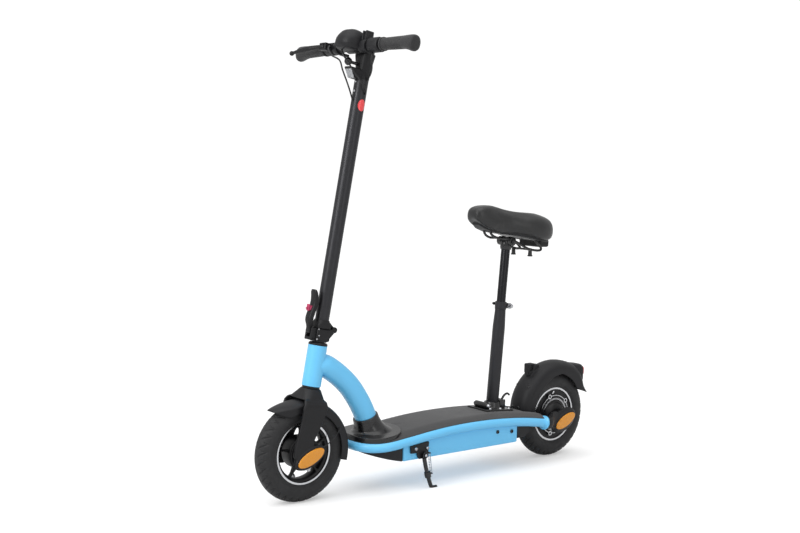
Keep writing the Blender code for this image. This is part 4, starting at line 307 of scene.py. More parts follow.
# Where the front fender starts and ends, in degrees round the axle from straight ahead
FENDER_FROM, FENDER_TO = 53, 194
# Share of the front fender's width that is round, before its sides go straight down
FENDER_ROUND = 0.62
# How far that part turns, as a share of a right angle, and how far it drops
FENDER_TURN = 0.96
FENDER_DROP = 0.0115


def front_fender_surface(u, v):
    """Front mudguard: a hoop with turned-down sides, longer behind, its tip raised in front."""
    angle = math.radians(FENDER_FROM + (FENDER_TO - FENDER_FROM) * u)
    near_tip, at_tip = max(0, 1 - u / 0.16), max(0, 1 - u / 0.1)
    crest = TYRE_R + FENDER_CLEARANCE + FENDER_WALL + 0.0125 * near_tip**1.5
    low = TYRE_R - 0.0185 + 0.03 * at_tip**2 - 0.0025 * u
    half = FRONT_FENDER_HALF - 0.015 * near_tip**1.6
    bend = 2 * v - 1
    if abs(bend) < FENDER_ROUND:
        side = bend / FENDER_ROUND
        y = half * math.sin(side * math.pi / 2 * FENDER_TURN) / math.sin(math.pi / 2 * FENDER_TURN)
        drop = FENDER_DROP * (1 - math.cos(abs(side) * math.pi / 2 * FENDER_TURN))
        radius = crest - drop
    else:
        y = math.copysign(half, bend)
        edge = crest - FENDER_DROP * (1 - math.cos(math.pi / 2 * FENDER_TURN))
        radius = edge + (low - edge) * (abs(bend) - FENDER_ROUND) / (1 - FENDER_ROUND)
    return FRONT_AXLE + Vector((radius * math.cos(angle), -y, radius * math.sin(angle)))


# Share of the rear fender's width that is round
REAR_ROUND = 0.6
# Its crest: degrees round the axle, radius and half width
FENDER_CREST = (
    (7.0, 0.14, 0.0385), (20.0, 0.144, 0.039), (35.0, 0.1475, 0.0395), (50.0, 0.1503, 0.0395),
    (65.0, 0.1532, 0.0395), (80.0, 0.1562, 0.0395), (94.0, 0.1595, 0.0395), (108.0, 0.162, 0.0395),
    (117.0, 0.164, 0.0395), (128.0, 0.161, 0.0395), (138.0, 0.154, 0.0395), (147.0, 0.1455, 0.0395),
    (155.0, 0.1372, 0.039))
# The lower edge of its sides: degrees and radius
FENDER_SKIRT = (
    (7.0, 0.0955), (26.0, 0.1005), (44.0, 0.103), (63.6, 0.1093), (81.0, 0.1172), (97.0, 0.1222),
    (117.7, 0.1147), (138.0, 0.107), (147.3, 0.1199), (155.0, 0.1355))


def rear_fender_surface(u, v):
    """Rear mudguard: a flat-sided hoop, its skirt deeper in front and behind, running out at the tail."""
    table = np.array(FENDER_CREST)
    angle = table[0, 0] + (table[-1, 0] - table[0, 0]) * u
    crest = np.interp(angle, table[:, 0], table[:, 1])
    half = np.interp(angle, table[:, 0], table[:, 2])
    low = np.interp(angle, *np.array(FENDER_SKIRT).T)
    bend = 2 * v - 1
    depth = min(0.024, (crest - low) * 0.8)
    if abs(bend) < REAR_ROUND:
        turn = abs(bend) / REAR_ROUND * math.pi / 2
        y = half * math.sin(turn) ** 0.9
        radius = crest - depth * (1 - math.cos(turn)) ** 0.95
    else:
        y = half
        radius = crest - depth + (low - crest + depth) * (abs(bend) - REAR_ROUND) / (1 - REAR_ROUND)
    angle = math.radians(angle)
    y = math.copysign(y, bend)
    return REAR_AXLE + Vector((radius * math.cos(angle), -y, radius * math.sin(angle)))


# The cover starts this much smaller than its place, and swells by no more than the cap
PAD_SWELL = 0.0016
PAD_CAP = 0.005
CLOTH_STEPS = 20

# The saddle from nose to tail: distance ahead of the tilt bolt, half width, top and skirt above the bolt
SADDLE = (
    (0.14, 0.018, 0.0868, 0.0625), (0.129, 0.029, 0.0985, 0.053), (0.101, 0.0365, 0.1035, 0.036),
    (0.07, 0.04, 0.098, 0.026), (0.034, 0.048, 0.088, 0.022), (-0.002, 0.063, 0.0812, 0.0175),
    (-0.037, 0.077, 0.079, 0.0105), (-0.071, 0.082, 0.0775, 0.002), (-0.106, 0.077, 0.072, -0.002),
    (-0.131, 0.059, 0.06, 0.005), (-0.142, 0.03, 0.048, 0.02))


def saddle_at(x):
    table = np.array(SADDLE)[::-1]
    return [np.interp(x, table[:, 0], table[:, column]) for column in (1, 2, 3)]


# Finishes
def hex_colour(colour):
    """An sRGB hex colour as the linear values that a shader takes."""
    channels = [int(colour[place : place + 2], 16) / 255 for place in (1, 3, 5)]
    return (*(c / 12.92 if c <= 0.04045 else ((c + 0.055) / 1.055) ** 2.4 for c in channels), 1.0)


def add(tree, kind, settings=None, feeds=None):
    """Adds a node with its settings and with what feeds its sockets: a value or another socket."""
    node = tree.nodes.new(kind)
    for name, value in (settings or {}).items():
        setattr(node, name, value)
    for socket, value in (feeds or {}).items():
        if isinstance(value, bpy.types.NodeSocket):
            tree.links.new(value, node.inputs[socket])
        else:
            node.inputs[socket].default_value = value
    return node


def started(name, metallic=0.0, coat=0.0, coat_roughness=0.1, ior=1.5, sheen=0.0, gleam=0.5):
    """A new material with its shader's even values, its tree, its shader and its object coordinates."""
    made = bpy.data.materials.new(name)
    made.use_nodes = True
    tree = made.node_tree
    shader = tree.nodes["Principled BSDF"]
    shader.inputs["Metallic"].default_value = metallic
    shader.inputs["Coat Weight"].default_value = coat
    shader.inputs["Coat Roughness"].default_value = coat_roughness
    shader.inputs["Sheen Weight"].default_value = sheen
    shader.inputs["Specular IOR Level"].default_value = gleam
    if not metallic:
        shader.inputs["IOR"].default_value = ior
    place = add(tree, "ShaderNodeTexCoord").outputs["Object"]
    return made, tree, shader, place


def followed(tree, shader, share, colours, rough, span):
    """Colour and roughness that both follow one value from one end of its span to the other."""
    ends = {0: share, 6: hex_colour(colours[0]), 7: hex_colour(colours[1])}
    blend = add(tree, "ShaderNodeMix", {"data_type": "RGBA"}, ends)
    tree.links.new(blend.outputs[2], shader.inputs["Base Color"])
    ends = {
        "Value": share, "From Min": span[0], "From Max": span[1], "To Min": rough[0], "To Max": rough[1]}
    gloss = add(tree, "ShaderNodeMapRange", None, ends)
    tree.links.new(gloss.outputs["Result"], shader.inputs["Roughness"])


def mottled(tree, shader, place, colours, patch, rough):
    """Colour and roughness that drift between two values in soft patches of the given size."""
    drift = add(tree, "ShaderNodeTexNoise", None, {"Vector": place, "Scale": 1 / patch, "Detail": 4.0})
    followed(tree, shader, drift.outputs["Fac"], colours, rough, (0.3, 0.7))


def embossed(tree, shader, height, depth, strength=1.0):
    bump = add(tree, "ShaderNodeBump", None, {"Height": height, "Distance": depth, "Strength": strength})
    if shader.inputs["Normal"].is_linked:
        tree.links.new(shader.inputs["Normal"].links[0].from_socket, bump.inputs["Normal"])
    tree.links.new(bump.outputs["Normal"], shader.inputs["Normal"])


def grained(tree, shader, place, size, depth, stretch=(1.0, 1.0, 1.0)):
    """A fine even grain: the spacing and the depth of its bumps in metres."""
    fitted = add(tree, "ShaderNodeMapping", None, {"Vector": place, "Scale": stretch}).outputs["Vector"]
    grain = add(tree, "ShaderNodeTexNoise", None, {"Vector": fitted, "Scale": 1 / size, "Detail": 2.0})
    embossed(tree, shader, grain.outputs["Fac"], depth)


def celled(tree, shader, place, size, depth):
    """Raised cells, such as leather grain or pebbles: their spacing and depth in metres."""
    cells = add(tree, "ShaderNodeTexVoronoi", None, {"Vector": place, "Scale": 1 / size})
    embossed(tree, shader, cells.outputs["Distance"], depth)


def finish(name, colours, rough, patch, grain=None, cells=None, stretch=(1.0, 1.0, 1.0), **shine):
    """A mottled material with raised cells, a grain or both, each given as its spacing and depth."""
    made, tree, shader, place = started(name, **shine)
    mottled(tree, shader, place, colours, patch, rough)
    if cells:
        celled(tree, shader, place, *cells)
    if grain:
        grained(tree, shader, place, *grain, stretch)
    return made


# Stove enamel over steel: a wet gloss with the faint ripple of sprayed paint every 2 mm or so
BLUE_ENAMEL = finish(
    "sky_blue_enamel", ("#64BFF0", "#6BC5F3"), (0.34, 0.42), 0.09, (0.004, 0.000012), coat=0.25,
    coat_roughness=0.16)
# Powder coat on castings: a satin black skin with grit under a millimetre across
POWDER_BLACK = finish(
    "black_powder_coat", ("#121214", "#19191B"), (0.4, 0.5), 0.03, (0.0009, 0.00003), gleam=0.32)
# Gloss black enamel on bolts, wires and clamps: smooth, with sharp highlights
GLOSS_BLACK = finish(
    "gloss_black_enamel", ("#0C0C0E", "#131315"), (0.2, 0.3), 0.02, (0.0016, 0.00001), coat=0.3)
# Moulded ABS of the fenders and covers: fine spark grain, a soft sheen, slightly greyer where it was rubbed
MOULDED_ABS = finish(
    "moulded_black_abs", ("#151517", "#1D1D20"), (0.42, 0.54), 0.05, (0.0011, 0.00003), gleam=0.32)
# Soft PVC of the boot: smooth and a little shiny
BOOT_PVC = finish(
    "black_pvc_boot", ("#0E0E10", "#151517"), (0.24, 0.34), 0.04, (0.0025, 0.000015), coat=0.2)
# Nylon of the red catch and the horn button: even, with a dull gloss
RED_NYLON = finish("red_nylon", ("#A32A50", "#B63560"), (0.3, 0.42), 0.008, (0.0008, 0.00003))
# Enamel badge: a plain red oval with a clear coat
RED_ENAMEL = finish("red_enamel", ("#E8383D", "#F04A4E"), (0.18, 0.26), 0.01, (0.0012, 0.00001), coat=0.6)
# PVC jacket of the cables: matt black with a faint gloss along the bends
CABLE_PVC = finish("black_cable_pvc", ("#0D0D0F", "#141416"), (0.36, 0.48), 0.02, (0.0008, 0.00002))
# Cast aluminium rims and hub in black paint: tiny pits every 1.2 mm and a low gloss
CAST_BLACK = finish(
    "black_cast_rim", ("#08080A", "#101012"), (0.34, 0.46), 0.03, (0.0012, 0.00004), gleam=0.34)
# Anodised aluminium of the stem and seat tubes: dark grey satin with drawing lines along the tube
ALONG_TUBE = (1.0, 1.0, 0.05)
ANODISED_GREY = finish(
    "dark_anodised_tube", ("#2C2C2F", "#343437"), (0.34, 0.42), 0.015, (0.0007, 0.00001),
    stretch=ALONG_TUBE, metallic=0.55)
# Black anodised tube of the sliding post: darker and shinier than the tube that it slides in
ANODISED_BLACK = finish(
    "black_anodised_post", ("#17171A", "#202024"), (0.2, 0.28), 0.015, (0.0007, 0.000008),
    stretch=ALONG_TUBE, metallic=0.5)
# Zinc-plated steel of bolts, nuts, axle and spring: pale grey, with a soft broken shine
ZINC_STEEL = finish(
    "zinc_plated_steel", ("#B4B5B8", "#D2D3D6"), (0.2, 0.34), 0.015, (0.0007, 0.00004), metallic=1.0)
# Turned aluminium rings on the rims: bright, with lines round them from the lathe
TURNED_ALUMINIUM = finish(
    "turned_aluminium", ("#C9CACD", "#E6E7EA"), (0.16, 0.28), 0.015, (0.0007, 0.00004),
    stretch=(0.4, 1.0, 0.4), metallic=1.0)
# Vulcanised tyre rubber: dull charcoal, drier and paler in soft patches, with a skin of fine pores
TYRE_RUBBER = finish(
    "tyre_rubber", ("#111113", "#1B1B1D"), (0.6, 0.78), 0.015, (0.001, 0.00006), ior=1.52, sheen=0.1)
# Moulded grip rubber: matt black, with small raised cells every 2.4 mm
GRIP_RUBBER = finish(
    "grip_rubber", ("#111113", "#1A1A1C"), (0.55, 0.7), 0.02, cells=(0.0024, 0.00035), ior=1.52, sheen=0.15)
# Pressed deck rubber: matt dark grey with low pebbles every 2 mm, and a trace of dust in patches
DECK_RUBBER = finish(
    "deck_rubber", ("#1E1E20", "#262628"), (0.6, 0.74), 0.06, cells=(0.002, 0.00022), ior=1.52, sheen=0.2)
# Vinyl-coated saddle cover: leather grain of about a millimetre and a half over soft waves, and a low sheen
SADDLE_VINYL = finish(
    "saddle_vinyl", ("#0B0B0C", "#111113"), (0.36, 0.46), 0.03, (0.02, 0.0004), (0.0016, 0.00012),
    sheen=0.04, coat=0.25, coat_roughness=0.32)
# Hard-coated display window: near black and mirror smooth, with a breath of haze
DISPLAY_GLASS = finish(
    "dark_display_glass", ("#08090B", "#101217"), (0.05, 0.11), 0.03, coat=0.8, coat_roughness=0.02)


def prism_lens(name, colours, size, rough=(0.08, 0.16)):
    """Moulded acrylic over prisms: clear gloss above small cells, each painted lighter in its middle as a
    glint and darker at its edge as shade.
    """
    made, tree, shader, place = started(name, ior=1.49, coat=0.6, coat_roughness=0.04)
    cells = add(
        tree, "ShaderNodeTexVoronoi", {"distance": "CHEBYCHEV"}, {"Vector": place, "Scale": 1 / size})
    followed(tree, shader, cells.outputs["Distance"], colours, rough, (0.0, 0.7))
    embossed(tree, shader, cells.outputs["Distance"], 0.0003, 0.6)
    return made


# Amber acrylic reflector: prism cells 1.6 mm across under a clear face, with a painted glint in each cell's
# middle and painted shade at its edge
AMBER_ACRYLIC = prism_lens("amber_reflector_acrylic", ("#E29400", "#C87E00"), 0.0016)
# Red acrylic of the tail lamp: cells of 3 mm, with strong painted shade at their edges and a painted glint
# in their middles
RED_ACRYLIC = prism_lens("red_lamp_acrylic", ("#D3222B", "#8E0F17"), 0.003)
# Clear polycarbonate of the headlamp: 4 mm cells painted silver-grey, a painted reflection of its silvered
# bowl
CLEAR_POLYCARBONATE = prism_lens(
    "clear_lamp_polycarbonate", ("#C9CBCE", "#85878B"), 0.004, rough=(0.08, 0.14))


# Shapes: each gives a closed bmesh in the upright frame, and piece() makes one object of a few of them
def closed(bm, at=Matrix(), ease=0.0, segments=2):
    """Welds a shape, turns its faces out, rounds its sharp edges by ease and puts it in place."""
    bmesh.ops.remove_doubles(bm, verts=bm.verts, dist=0.000001)
    bmesh.ops.dissolve_degenerate(bm, edges=bm.edges, dist=0.0000005)
    bmesh.ops.recalc_face_normals(bm, faces=bm.faces)
    if ease:
        sharp = [edge for edge in bm.edges if len(edge.link_faces) == 2 and edge.calc_face_angle() > 0.6]
        bmesh.ops.bevel(
            bm, geom=sharp, offset=ease, segments=segments, profile=0.5, affect="EDGES", material=-1,
            clamp_overlap=True)
    bmesh.ops.transform(bm, matrix=at, verts=bm.verts)
    return bm


def turned(profile, at=Matrix(), steps=96, ease=0.0):
    """A profile of (radius, height) pairs, turned about local Z."""
    bm = bmesh.new()
    corners = [bm.verts.new((radius, 0, height)) for radius, height in profile]
    edges = []
    for here, following in zip(corners, corners[1:] + corners[:1]):
        if here.co.x > 0 or following.co.x > 0:
            edges.append(bm.edges.new((here, following)))
    bmesh.ops.spin(
        bm, geom=corners + edges, axis=(0, 0, 1), cent=(0, 0, 0), angle=2 * math.pi, steps=steps,
        use_merge=True)
    return closed(bm, at, ease)


def rod(start, end, radius, at=Matrix(), sides=40, end_radius=None, ease=0.0004):
    start, end = Vector(start), Vector(end)
    bm = bmesh.new()
    bmesh.ops.create_cone(
        bm, cap_ends=True, segments=sides, radius1=radius,
        radius2=radius if end_radius is None else end_radius, depth=(end - start).length)
    turn = (end - start).to_track_quat("Z", "Y").to_matrix().to_4x4()
    bmesh.ops.transform(bm, matrix=Matrix.Translation((start + end) / 2) @ turn, verts=bm.verts)
    return closed(bm, at, ease)


def pin(low, high, radius, *rest, **settings):
    """A rod along local Y, from low to high."""
    return rod((0, low, 0), (0, high, 0), radius, *rest, **settings)


def ball(centre, radius, at=Matrix()):
    bm = bmesh.new()
    bmesh.ops.create_uvsphere(bm, u_segments=40, v_segments=24, radius=radius)
    bmesh.ops.translate(bm, verts=bm.verts, vec=centre)
    return closed(bm, at)


def block(low, high, rounding=0.0008, at=Matrix(), segments=3):
    low, high = Vector(low), Vector(high)
    bm = bmesh.new()
    bmesh.ops.create_cube(bm, size=1)
    bmesh.ops.scale(bm, verts=bm.verts, vec=high - low)
    bmesh.ops.translate(bm, verts=bm.verts, vec=(low + high) / 2)
    return closed(bm, at, rounding, segments)


def evaluated(drawn):
    """The mesh of an object with its modifiers, or of a curve."""
    return bpy.data.meshes.new_from_object(drawn.evaluated_get(bpy.context.evaluated_depsgraph_get()))


def read_back(drawn):
    """A new bmesh of the object's evaluated mesh; the object goes."""
    scene.collection.objects.link(drawn)
    bpy.context.view_layer.update()
    mesh = evaluated(drawn)
    bm = bmesh.new()
    bm.from_mesh(mesh)
    bpy.data.objects.remove(drawn)
    bpy.data.meshes.remove(mesh)
    return bm


def pipe(points, radius, at=Matrix(), sides=20, factors=None):
    """A round tube along a row of points, thicker or thinner by its factors."""
    curve = bpy.data.curves.new("pipe", "CURVE")
    curve.dimensions = "3D"
    curve.bevel_depth = radius
    curve.bevel_resolution = (sides - 4) // 2
    curve.use_fill_caps = True
    spline = curve.splines.new("POLY")
    spline.points.add(len(points) - 1)
    for spot, point, size in zip(spline.points, points, factors or [1.0] * len(points)):
        spot.co = (*point[:3], 1)
        spot.radius = size
    bm = read_back(bpy.data.objects.new("pipe", curve))
    bpy.data.curves.remove(curve)
    return closed(bm, at)


def doubled(bm):
    """Extrudes all faces in place and gives the new corners."""
    made = bmesh.ops.extrude_face_region(bm, geom=bm.faces[:])
    return [item for item in made["geom"] if isinstance(item, bmesh.types.BMVert)]


def plate(outline, thickness, at=Matrix(), ease=0.0005):
    """A flat outline of (x, y) pairs, half its thickness to each side."""
    bm = bmesh.new()
    corners = [bm.verts.new((x, y, -thickness / 2)) for x, y in outline]
    bmesh.ops.contextual_create(bm, geom=corners)
    bmesh.ops.translate(bm, verts=doubled(bm), vec=(0, 0, thickness))
    return closed(bm, at, ease)


def skin(point_at, rows, sides, at=Matrix(), ease=0.0, caps=True):
    """A closed sleeve of faces: point_at gives the point at a share along and a share round."""
    bm = bmesh.new()
    bmesh.ops.create_grid(bm, x_segments=rows, y_segments=sides, size=0.5)
    for vert in bm.verts:
        vert.co = point_at(vert.co.x + 0.5, vert.co.y + 0.5)
    bmesh.ops.remove_doubles(bm, verts=bm.verts, dist=0.000001)
    if caps:
        bmesh.ops.holes_fill(bm, edges=[edge for edge in bm.edges if edge.is_boundary], sides=0)
    return closed(bm, at, ease)


def oval_point(centre, wide, high, power, share):
    """A point on an oval that turns squarer as its power grows."""
    angle = 2 * math.pi * share
    c, s = math.cos(angle), math.sin(angle)
    return (
        Vector(centre) + Vector(wide) * math.copysign(abs(c) ** (2 / power), c)
        + Vector(high) * math.copysign(abs(s) ** (2 / power), s))


def across_z(z, x, a, b, power):
    return (x, 0, z), (a, 0, 0), (0, b, 0), power


def across_y(y, x, z, a, b, power):
    return (x, y, z), (a, 0, 0), (0, 0, b), power


def oval_skin(table, across, at=Matrix(), rows=24, sides=48, ease=0.0006, soft=True):
    """A sleeve through a table of ovals, drawn smoothly between them or straight from one to the next."""
    fine = smooth(table, rows + 1) if soft else np.array(table, float)
    last = len(fine) - 1

    def at_shares(u, v):
        return oval_point(*across(*fine[round(u * last)]), v)

    return skin(at_shares, last, sides, at, ease)


def slab(along, across, lower, upper, at=Matrix(), ease=0.0):
    """A grid of faces and its copy, laid onto a lower and an upper surface, with the sides closed."""
    bm = bmesh.new()
    bmesh.ops.create_grid(bm, x_segments=along, y_segments=across, size=0.5)
    raised = set(doubled(bm))
    for vert in bm.verts:
        surface = upper if vert in raised else lower
        vert.co = surface(vert.co.x + 0.5, vert.co.y + 0.5)
    return closed(bm, at, ease)


def shell(along, across, surface, thickness, inside):
    """An open sheet laid onto a surface, with its wall on the side of the point inside."""

    def inner(u, v):
        step = 0.004
        low_u, high_u = max(u - step, 0), min(u + step, 1)
        low_v, high_v = max(v - step, 0), min(v + step, 1)
        lengthwise = surface(high_u, v) - surface(low_u, v)
        crosswise = surface(u, high_v) - surface(u, low_v)
        out = lengthwise.cross(crosswise).normalized()
        here = surface(u, v)
        if out.dot(here - inside) < 0:
            out = -out
        return here - out * thickness

    return slab(along, across, inner, surface, ease=0.0007)


def trimmed(bm, point, normal):
    """Cuts away what lies beyond a plane and closes the cut."""
    bmesh.ops.bisect_plane(
        bm, geom=bm.verts[:] + bm.edges[:] + bm.faces[:], plane_co=point, plane_no=normal, clear_outer=True)
    bmesh.ops.holes_fill(bm, edges=[edge for edge in bm.edges if edge.is_boundary], sides=0)
    bmesh.ops.recalc_face_normals(bm, faces=bm.faces)
    return bm


def bolt(point, direction, radius=0.0032, height=0.0024, at=Matrix(), domed=True):
    """A button-head bolt with a round socket, its head standing off the point along the direction."""
    rise = radius * 0.35 if domed else 0.0003
    profile = [
        (0, height - 0.0012), (radius * 0.42, height - 0.0012), (radius * 0.46, height + rise * 0.7),
        (radius * 0.72, height + rise * 0.35), (radius * 0.92, height * 0.62), (radius, 0.0002),
        (radius, -0.001), (0, -0.001)]
    turn = Vector(direction).normalized().to_track_quat("Z", "Y").to_matrix().to_4x4()
    return turned(profile, at @ Matrix.Translation(Vector(point)) @ turn, 24)


def joined(name, shapes, at):
    """One mesh of a few shapes, put in place; the shapes are used up."""
    mesh = bpy.data.meshes.new(name)
    whole = bmesh.new()
    for shape in shapes:
        shape.to_mesh(mesh)
        whole.from_mesh(mesh)
        shape.free()
    bmesh.ops.transform(whole, matrix=at, verts=whole.verts)
    whole.to_mesh(mesh)
    whole.free()
    return mesh


def cast(shapes, grain=0.0012, rounds=6):
    """Shapes grown into one skin, with soft fillets where they meet, as in a casting or a moulding."""
    mesh = joined("cast", shapes, Matrix())
    lump = bpy.data.objects.new("cast", mesh)
    grown = lump.modifiers.new("grown", "REMESH")
    grown.mode = "VOXEL"
    grown.voxel_size = grain
    eased = lump.modifiers.new("eased", "SMOOTH")
    eased.factor = 0.5
    eased.iterations = rounds
    bm = read_back(lump)
    bpy.data.meshes.remove(mesh)
    return bm


def piece(name, body, look, shapes, stands_for=(), slot=None, crisp=35.0):
    """One object of the scooter: shapes joined, put in the model's own place, riding on its body."""
    mesh = joined(name, shapes, ROW)
    made = bpy.data.objects.new(name, mesh)
    scene.collection.objects.link(made)
    mesh.materials.append(look)
    mesh.shade_smooth()
    mesh.set_sharp_from_angle(angle=math.radians(crisp))
    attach(made, body)
    if stands_for:
        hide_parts(*stands_for)
    return made


def dressed(node, body, look, shapes, **rest):
    """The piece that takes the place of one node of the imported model, named after it."""
    return piece("dressed_" + node, body, look, shapes, (node,), **rest)


# Frame: hooped rails, the deck plate between them, the curved neck and the head tube, all in one weldment
rail_points = smooth(rail_route(12, 16)[4:-4], 120)
# The flared rail end: distance ahead of its rear and radius
RAIL_END = (
    (0.015, 0.0188), (0.0156, 0.02), (0.0194, 0.02), (0.02, 0.019), (0.0212, 0.0162), (0.0235, 0.014),
    (0.027, 0.0132))
rail_ends = [(RAIL_REAR + step, RAIL_HALF, arch(RAIL_REAR + step)) for step, _ in RAIL_END]
other_ends = [(x, -y, z) for x, y, z in reversed(rail_ends)]
route = rail_ends + [tuple(point) for point in rail_points] + other_ends
sizes = [size / RAIL_R for _, size in RAIL_END]
sizes = sizes + [1.0] * 120 + sizes[::-1]


def deck_surface(xs, reach, height, ys):
    def at(u, v):
        x = xs[round(u * (len(xs) - 1))]
        y = ys[round(v * (len(ys) - 1))] * deck_half(x, reach)
        return Vector((x, y, height(x, y)))

    return at


def nose_stations(reach, count=14):
    return [
        NOSE_START + (NOSE_LENGTH + reach) * math.sin(math.radians(a)) for a in np.linspace(6, 86, count)]


NOTCH_FRONT = -0.298
plate_xs = list(np.linspace(NOTCH_FRONT, NOSE_START, 30)) + nose_stations(-0.004)
plate_ys = list(np.linspace(1, -1, 9))
neck_line = smooth(neck_route(), 60)
dressed("frame", "chassis", BLUE_ENAMEL, [
    pipe(route, RAIL_R, sides=28, factors=sizes),
    pipe(neck_line, NECK_R, sides=64, factors=list(neck_line[:, 3] / NECK_R)),
    turned([
        (HEAD_BORE_R, HEAD_TOP), (HEAD_R - 0.0006, HEAD_TOP), (HEAD_R, HEAD_TOP - 0.0006),
        (HEAD_R, HEAD_LOW + 0.0006), (HEAD_R - 0.0006, HEAD_LOW), (HEAD_BORE_R, HEAD_LOW)], STEM),
    slab(
        len(plate_xs) - 1, 8,
        deck_surface(plate_xs, -0.004, lambda x, y: arch(x) + DECK_PLATE_LIFT, plate_ys),
        deck_surface(plate_xs, -0.004, lambda x, y: arch(x) + DECK_PLATE_LIFT + DECK_PLATE, plate_ys))])

# Deck mat: a thick rubber cover, notched for the rear wheel, with rounded lips
notch_share = MAT_NOTCH_HALF / (RAIL_HALF + MAT_OVERHANG)
mat_shares = [1.0, 0.985, 0.955, 0.91, 0.86, 0.8, 0.73, 0.66, 0.58, notch_share, 0.36, 0.24, 0.12]
mat_ys = mat_shares + [0.0] + [-share for share in reversed(mat_shares)]
mat_xs = list(np.linspace(MAT_REAR, NOTCH_FRONT, 14)) + list(np.linspace(NOTCH_FRONT, NOSE_START, 60))[1:]
mat_xs += nose_stations(MAT_OVERHANG, 18)


def mat_height(x, y):
    share = abs(y) / deck_half(x, MAT_OVERHANG)
    fall = 0.0075 * max(0, (share - 0.67) / 0.33) ** 1.25
    dimple = ((x - 0.129) / 0.013) ** 2 + (y / 0.0042) ** 2
    return mat_top(x, y) - fall - (0.0012 if dimple < 1 else 0.0)


mat = bmesh.new()
bmesh.ops.create_grid(mat, x_segments=len(mat_xs) - 1, y_segments=len(mat_ys) - 1, size=0.5)
lay = deck_surface(mat_xs, MAT_OVERHANG, lambda x, y: arch(x) + DECK_PLATE_LIFT + DECK_PLATE + GAP, mat_ys)
shares = {vert: (vert.co.x + 0.5, vert.co.y + 0.5) for vert in mat.verts}
for vert, (u, v) in shares.items():
    vert.co = lay(u, v)
behind = [
    face for face in mat.faces
    if face.calc_center_median().x < NOTCH_FRONT and abs(face.calc_center_median().y) < MAT_NOTCH_HALF]
bmesh.ops.delete(mat, geom=behind, context="FACES")
for vert in doubled(mat):
    vert.co.z = mat_height(vert.co.x, vert.co.y)
piece("dressed_mat", "chassis", DECK_RUBBER, [closed(mat, ease=0.0012)], stands_for=("deck_mat",), crisp=50)


# Battery box and the covers at its two ends
def cover(front, rear, half, bottom, top, along=24, ease=0.0045):
    shares = list(np.linspace(1, -1, 13))

    def at(height):
        def point(u, v):
            x = rear + (front - rear) * u
            narrow = deck_half(min(x, NOSE_START + NOSE_LENGTH - 0.002), -0.001) / RAIL_HALF
            return Vector((x, shares[round(v * 12)] * half * narrow, height(x)))

        return point

    return slab(along, 12, at(bottom), at(top), ease=ease)


dressed(
    "battery_box", "chassis", BLUE_ENAMEL,
    [cover(BOX_FRONT, BOX_REAR, BOX_HALF, lambda x: BOX_BOTTOM, under_plate)], slot="blue_box")
nose = cover(NOSE_START + 0.074, BOX_FRONT + GAP, BOX_HALF - 0.002, nose_bottom, under_plate, 16, 0.0025)
dressed("front_cover", "chassis", MOULDED_ABS, [nose])

boot_seat = mat_top(BOOT_X, 0)
BOOT_LONG = 0.069
neck_line_up = neck_route()[::-1]
# The boot upwards: height over the mat, shift, half length, half width and lean in degrees
boot_rows = [
    (0.003, -0.01, 0.056, 0.056, 3), (0.0075, -0.006, 0.049, 0.049, 6), (0.013, -0.003, 0.0425, 0.043, 10),
    (0.021, -0.001, 0.0378, 0.0385, 14), (0.03, 0, 0.0352, 0.0356, 18), (0.038, 0, 0.0342, 0.0344, 20),
    (0.0425, 0, 0.034, 0.0342, 20), (0.044, 0, 0.0333, 0.0335, 20), (0.0446, 0, 0.0305, 0.0305, 20)]


def boot_oval(z, back, along, across, lean):
    height = boot_seat + z
    x = np.interp(height, [row[2] for row in neck_line_up], [row[0] for row in neck_line_up])
    lean = math.radians(lean)
    return (x + back, 0, height), (along * math.cos(lean), 0, -along * math.sin(lean)), (0, across, 0), 2


def boot_half(x):
    """Half width of the boot's foot: round behind, and along the deck's edge in front."""
    back = max((BOOT_X - x) / BOOT_LONG, 0)
    return min(0.086 * math.sqrt(max(1 - back**2, 0)), deck_half(x, MAT_OVERHANG) + 0.0008)


boot_xs = [BOOT_X - BOOT_LONG * math.cos(math.radians(a)) for a in np.linspace(2, 90, 18)][:-1]
boot_xs += nose_stations(MAT_OVERHANG, 18)
boot_xs = sorted(x for x in boot_xs if x < NOSE_START + NOSE_LENGTH + MAT_OVERHANG - 0.0004)
boot_ys = [math.sin(math.radians(a)) for a in np.linspace(-90, 90, 33)]


def boot_foot(lift, sunk):
    def at(u, v):
        x = boot_xs[round(u * (len(boot_xs) - 1))]
        y = boot_ys[round(v * (len(boot_ys) - 1))] * boot_half(x)
        return Vector((x, y, sunk(x, y) + lift))

    return at


foot = slab(
    len(boot_xs) - 1, len(boot_ys) - 1, boot_foot(0.012, lambda x, y: arch(x)), boot_foot(0.004, mat_top))
boot = oval_skin(boot_rows, boot_oval, rows=50, sides=80, ease=0)
dressed("neck_boot", "chassis", BOOT_PVC, [cast([foot, boot], 0.0013, 9)], crisp=70)
dressed("headset", "chassis", POWDER_BLACK, [
    turned([
        (STEERER_R + GAP, HEAD_TOP + 0.0075), (HEAD_R - 0.0034, HEAD_TOP + 0.0075),
        (HEAD_R - 0.0026, HEAD_TOP + 0.007), (HEAD_R, HEAD_TOP + 0.0045), (HEAD_R, HEAD_TOP + GAP),
        (HEAD_BORE_R - GAP, HEAD_TOP + GAP), (HEAD_BORE_R - GAP, HEAD_LOW - GAP),
        (HEAD_R - 0.002, HEAD_LOW - GAP), (HEAD_R - 0.002, HEAD_LOW - HEAD_FLANGE - GAP),
        (STEERER_R + GAP, HEAD_LOW - HEAD_FLANGE - GAP)], STEM, ease=0.0003)])

box_screws = []
for x, z in ((-0.158, 0.1205), (-0.2118, 0.116)):
    for side in (1, -1):
        box_screws.append(bolt((x, side * BOX_HALF, z), (0, side, 0), 0.0055, 0.0016))
piece("battery_box_screws", "chassis", GLOSS_BLACK, box_screws)

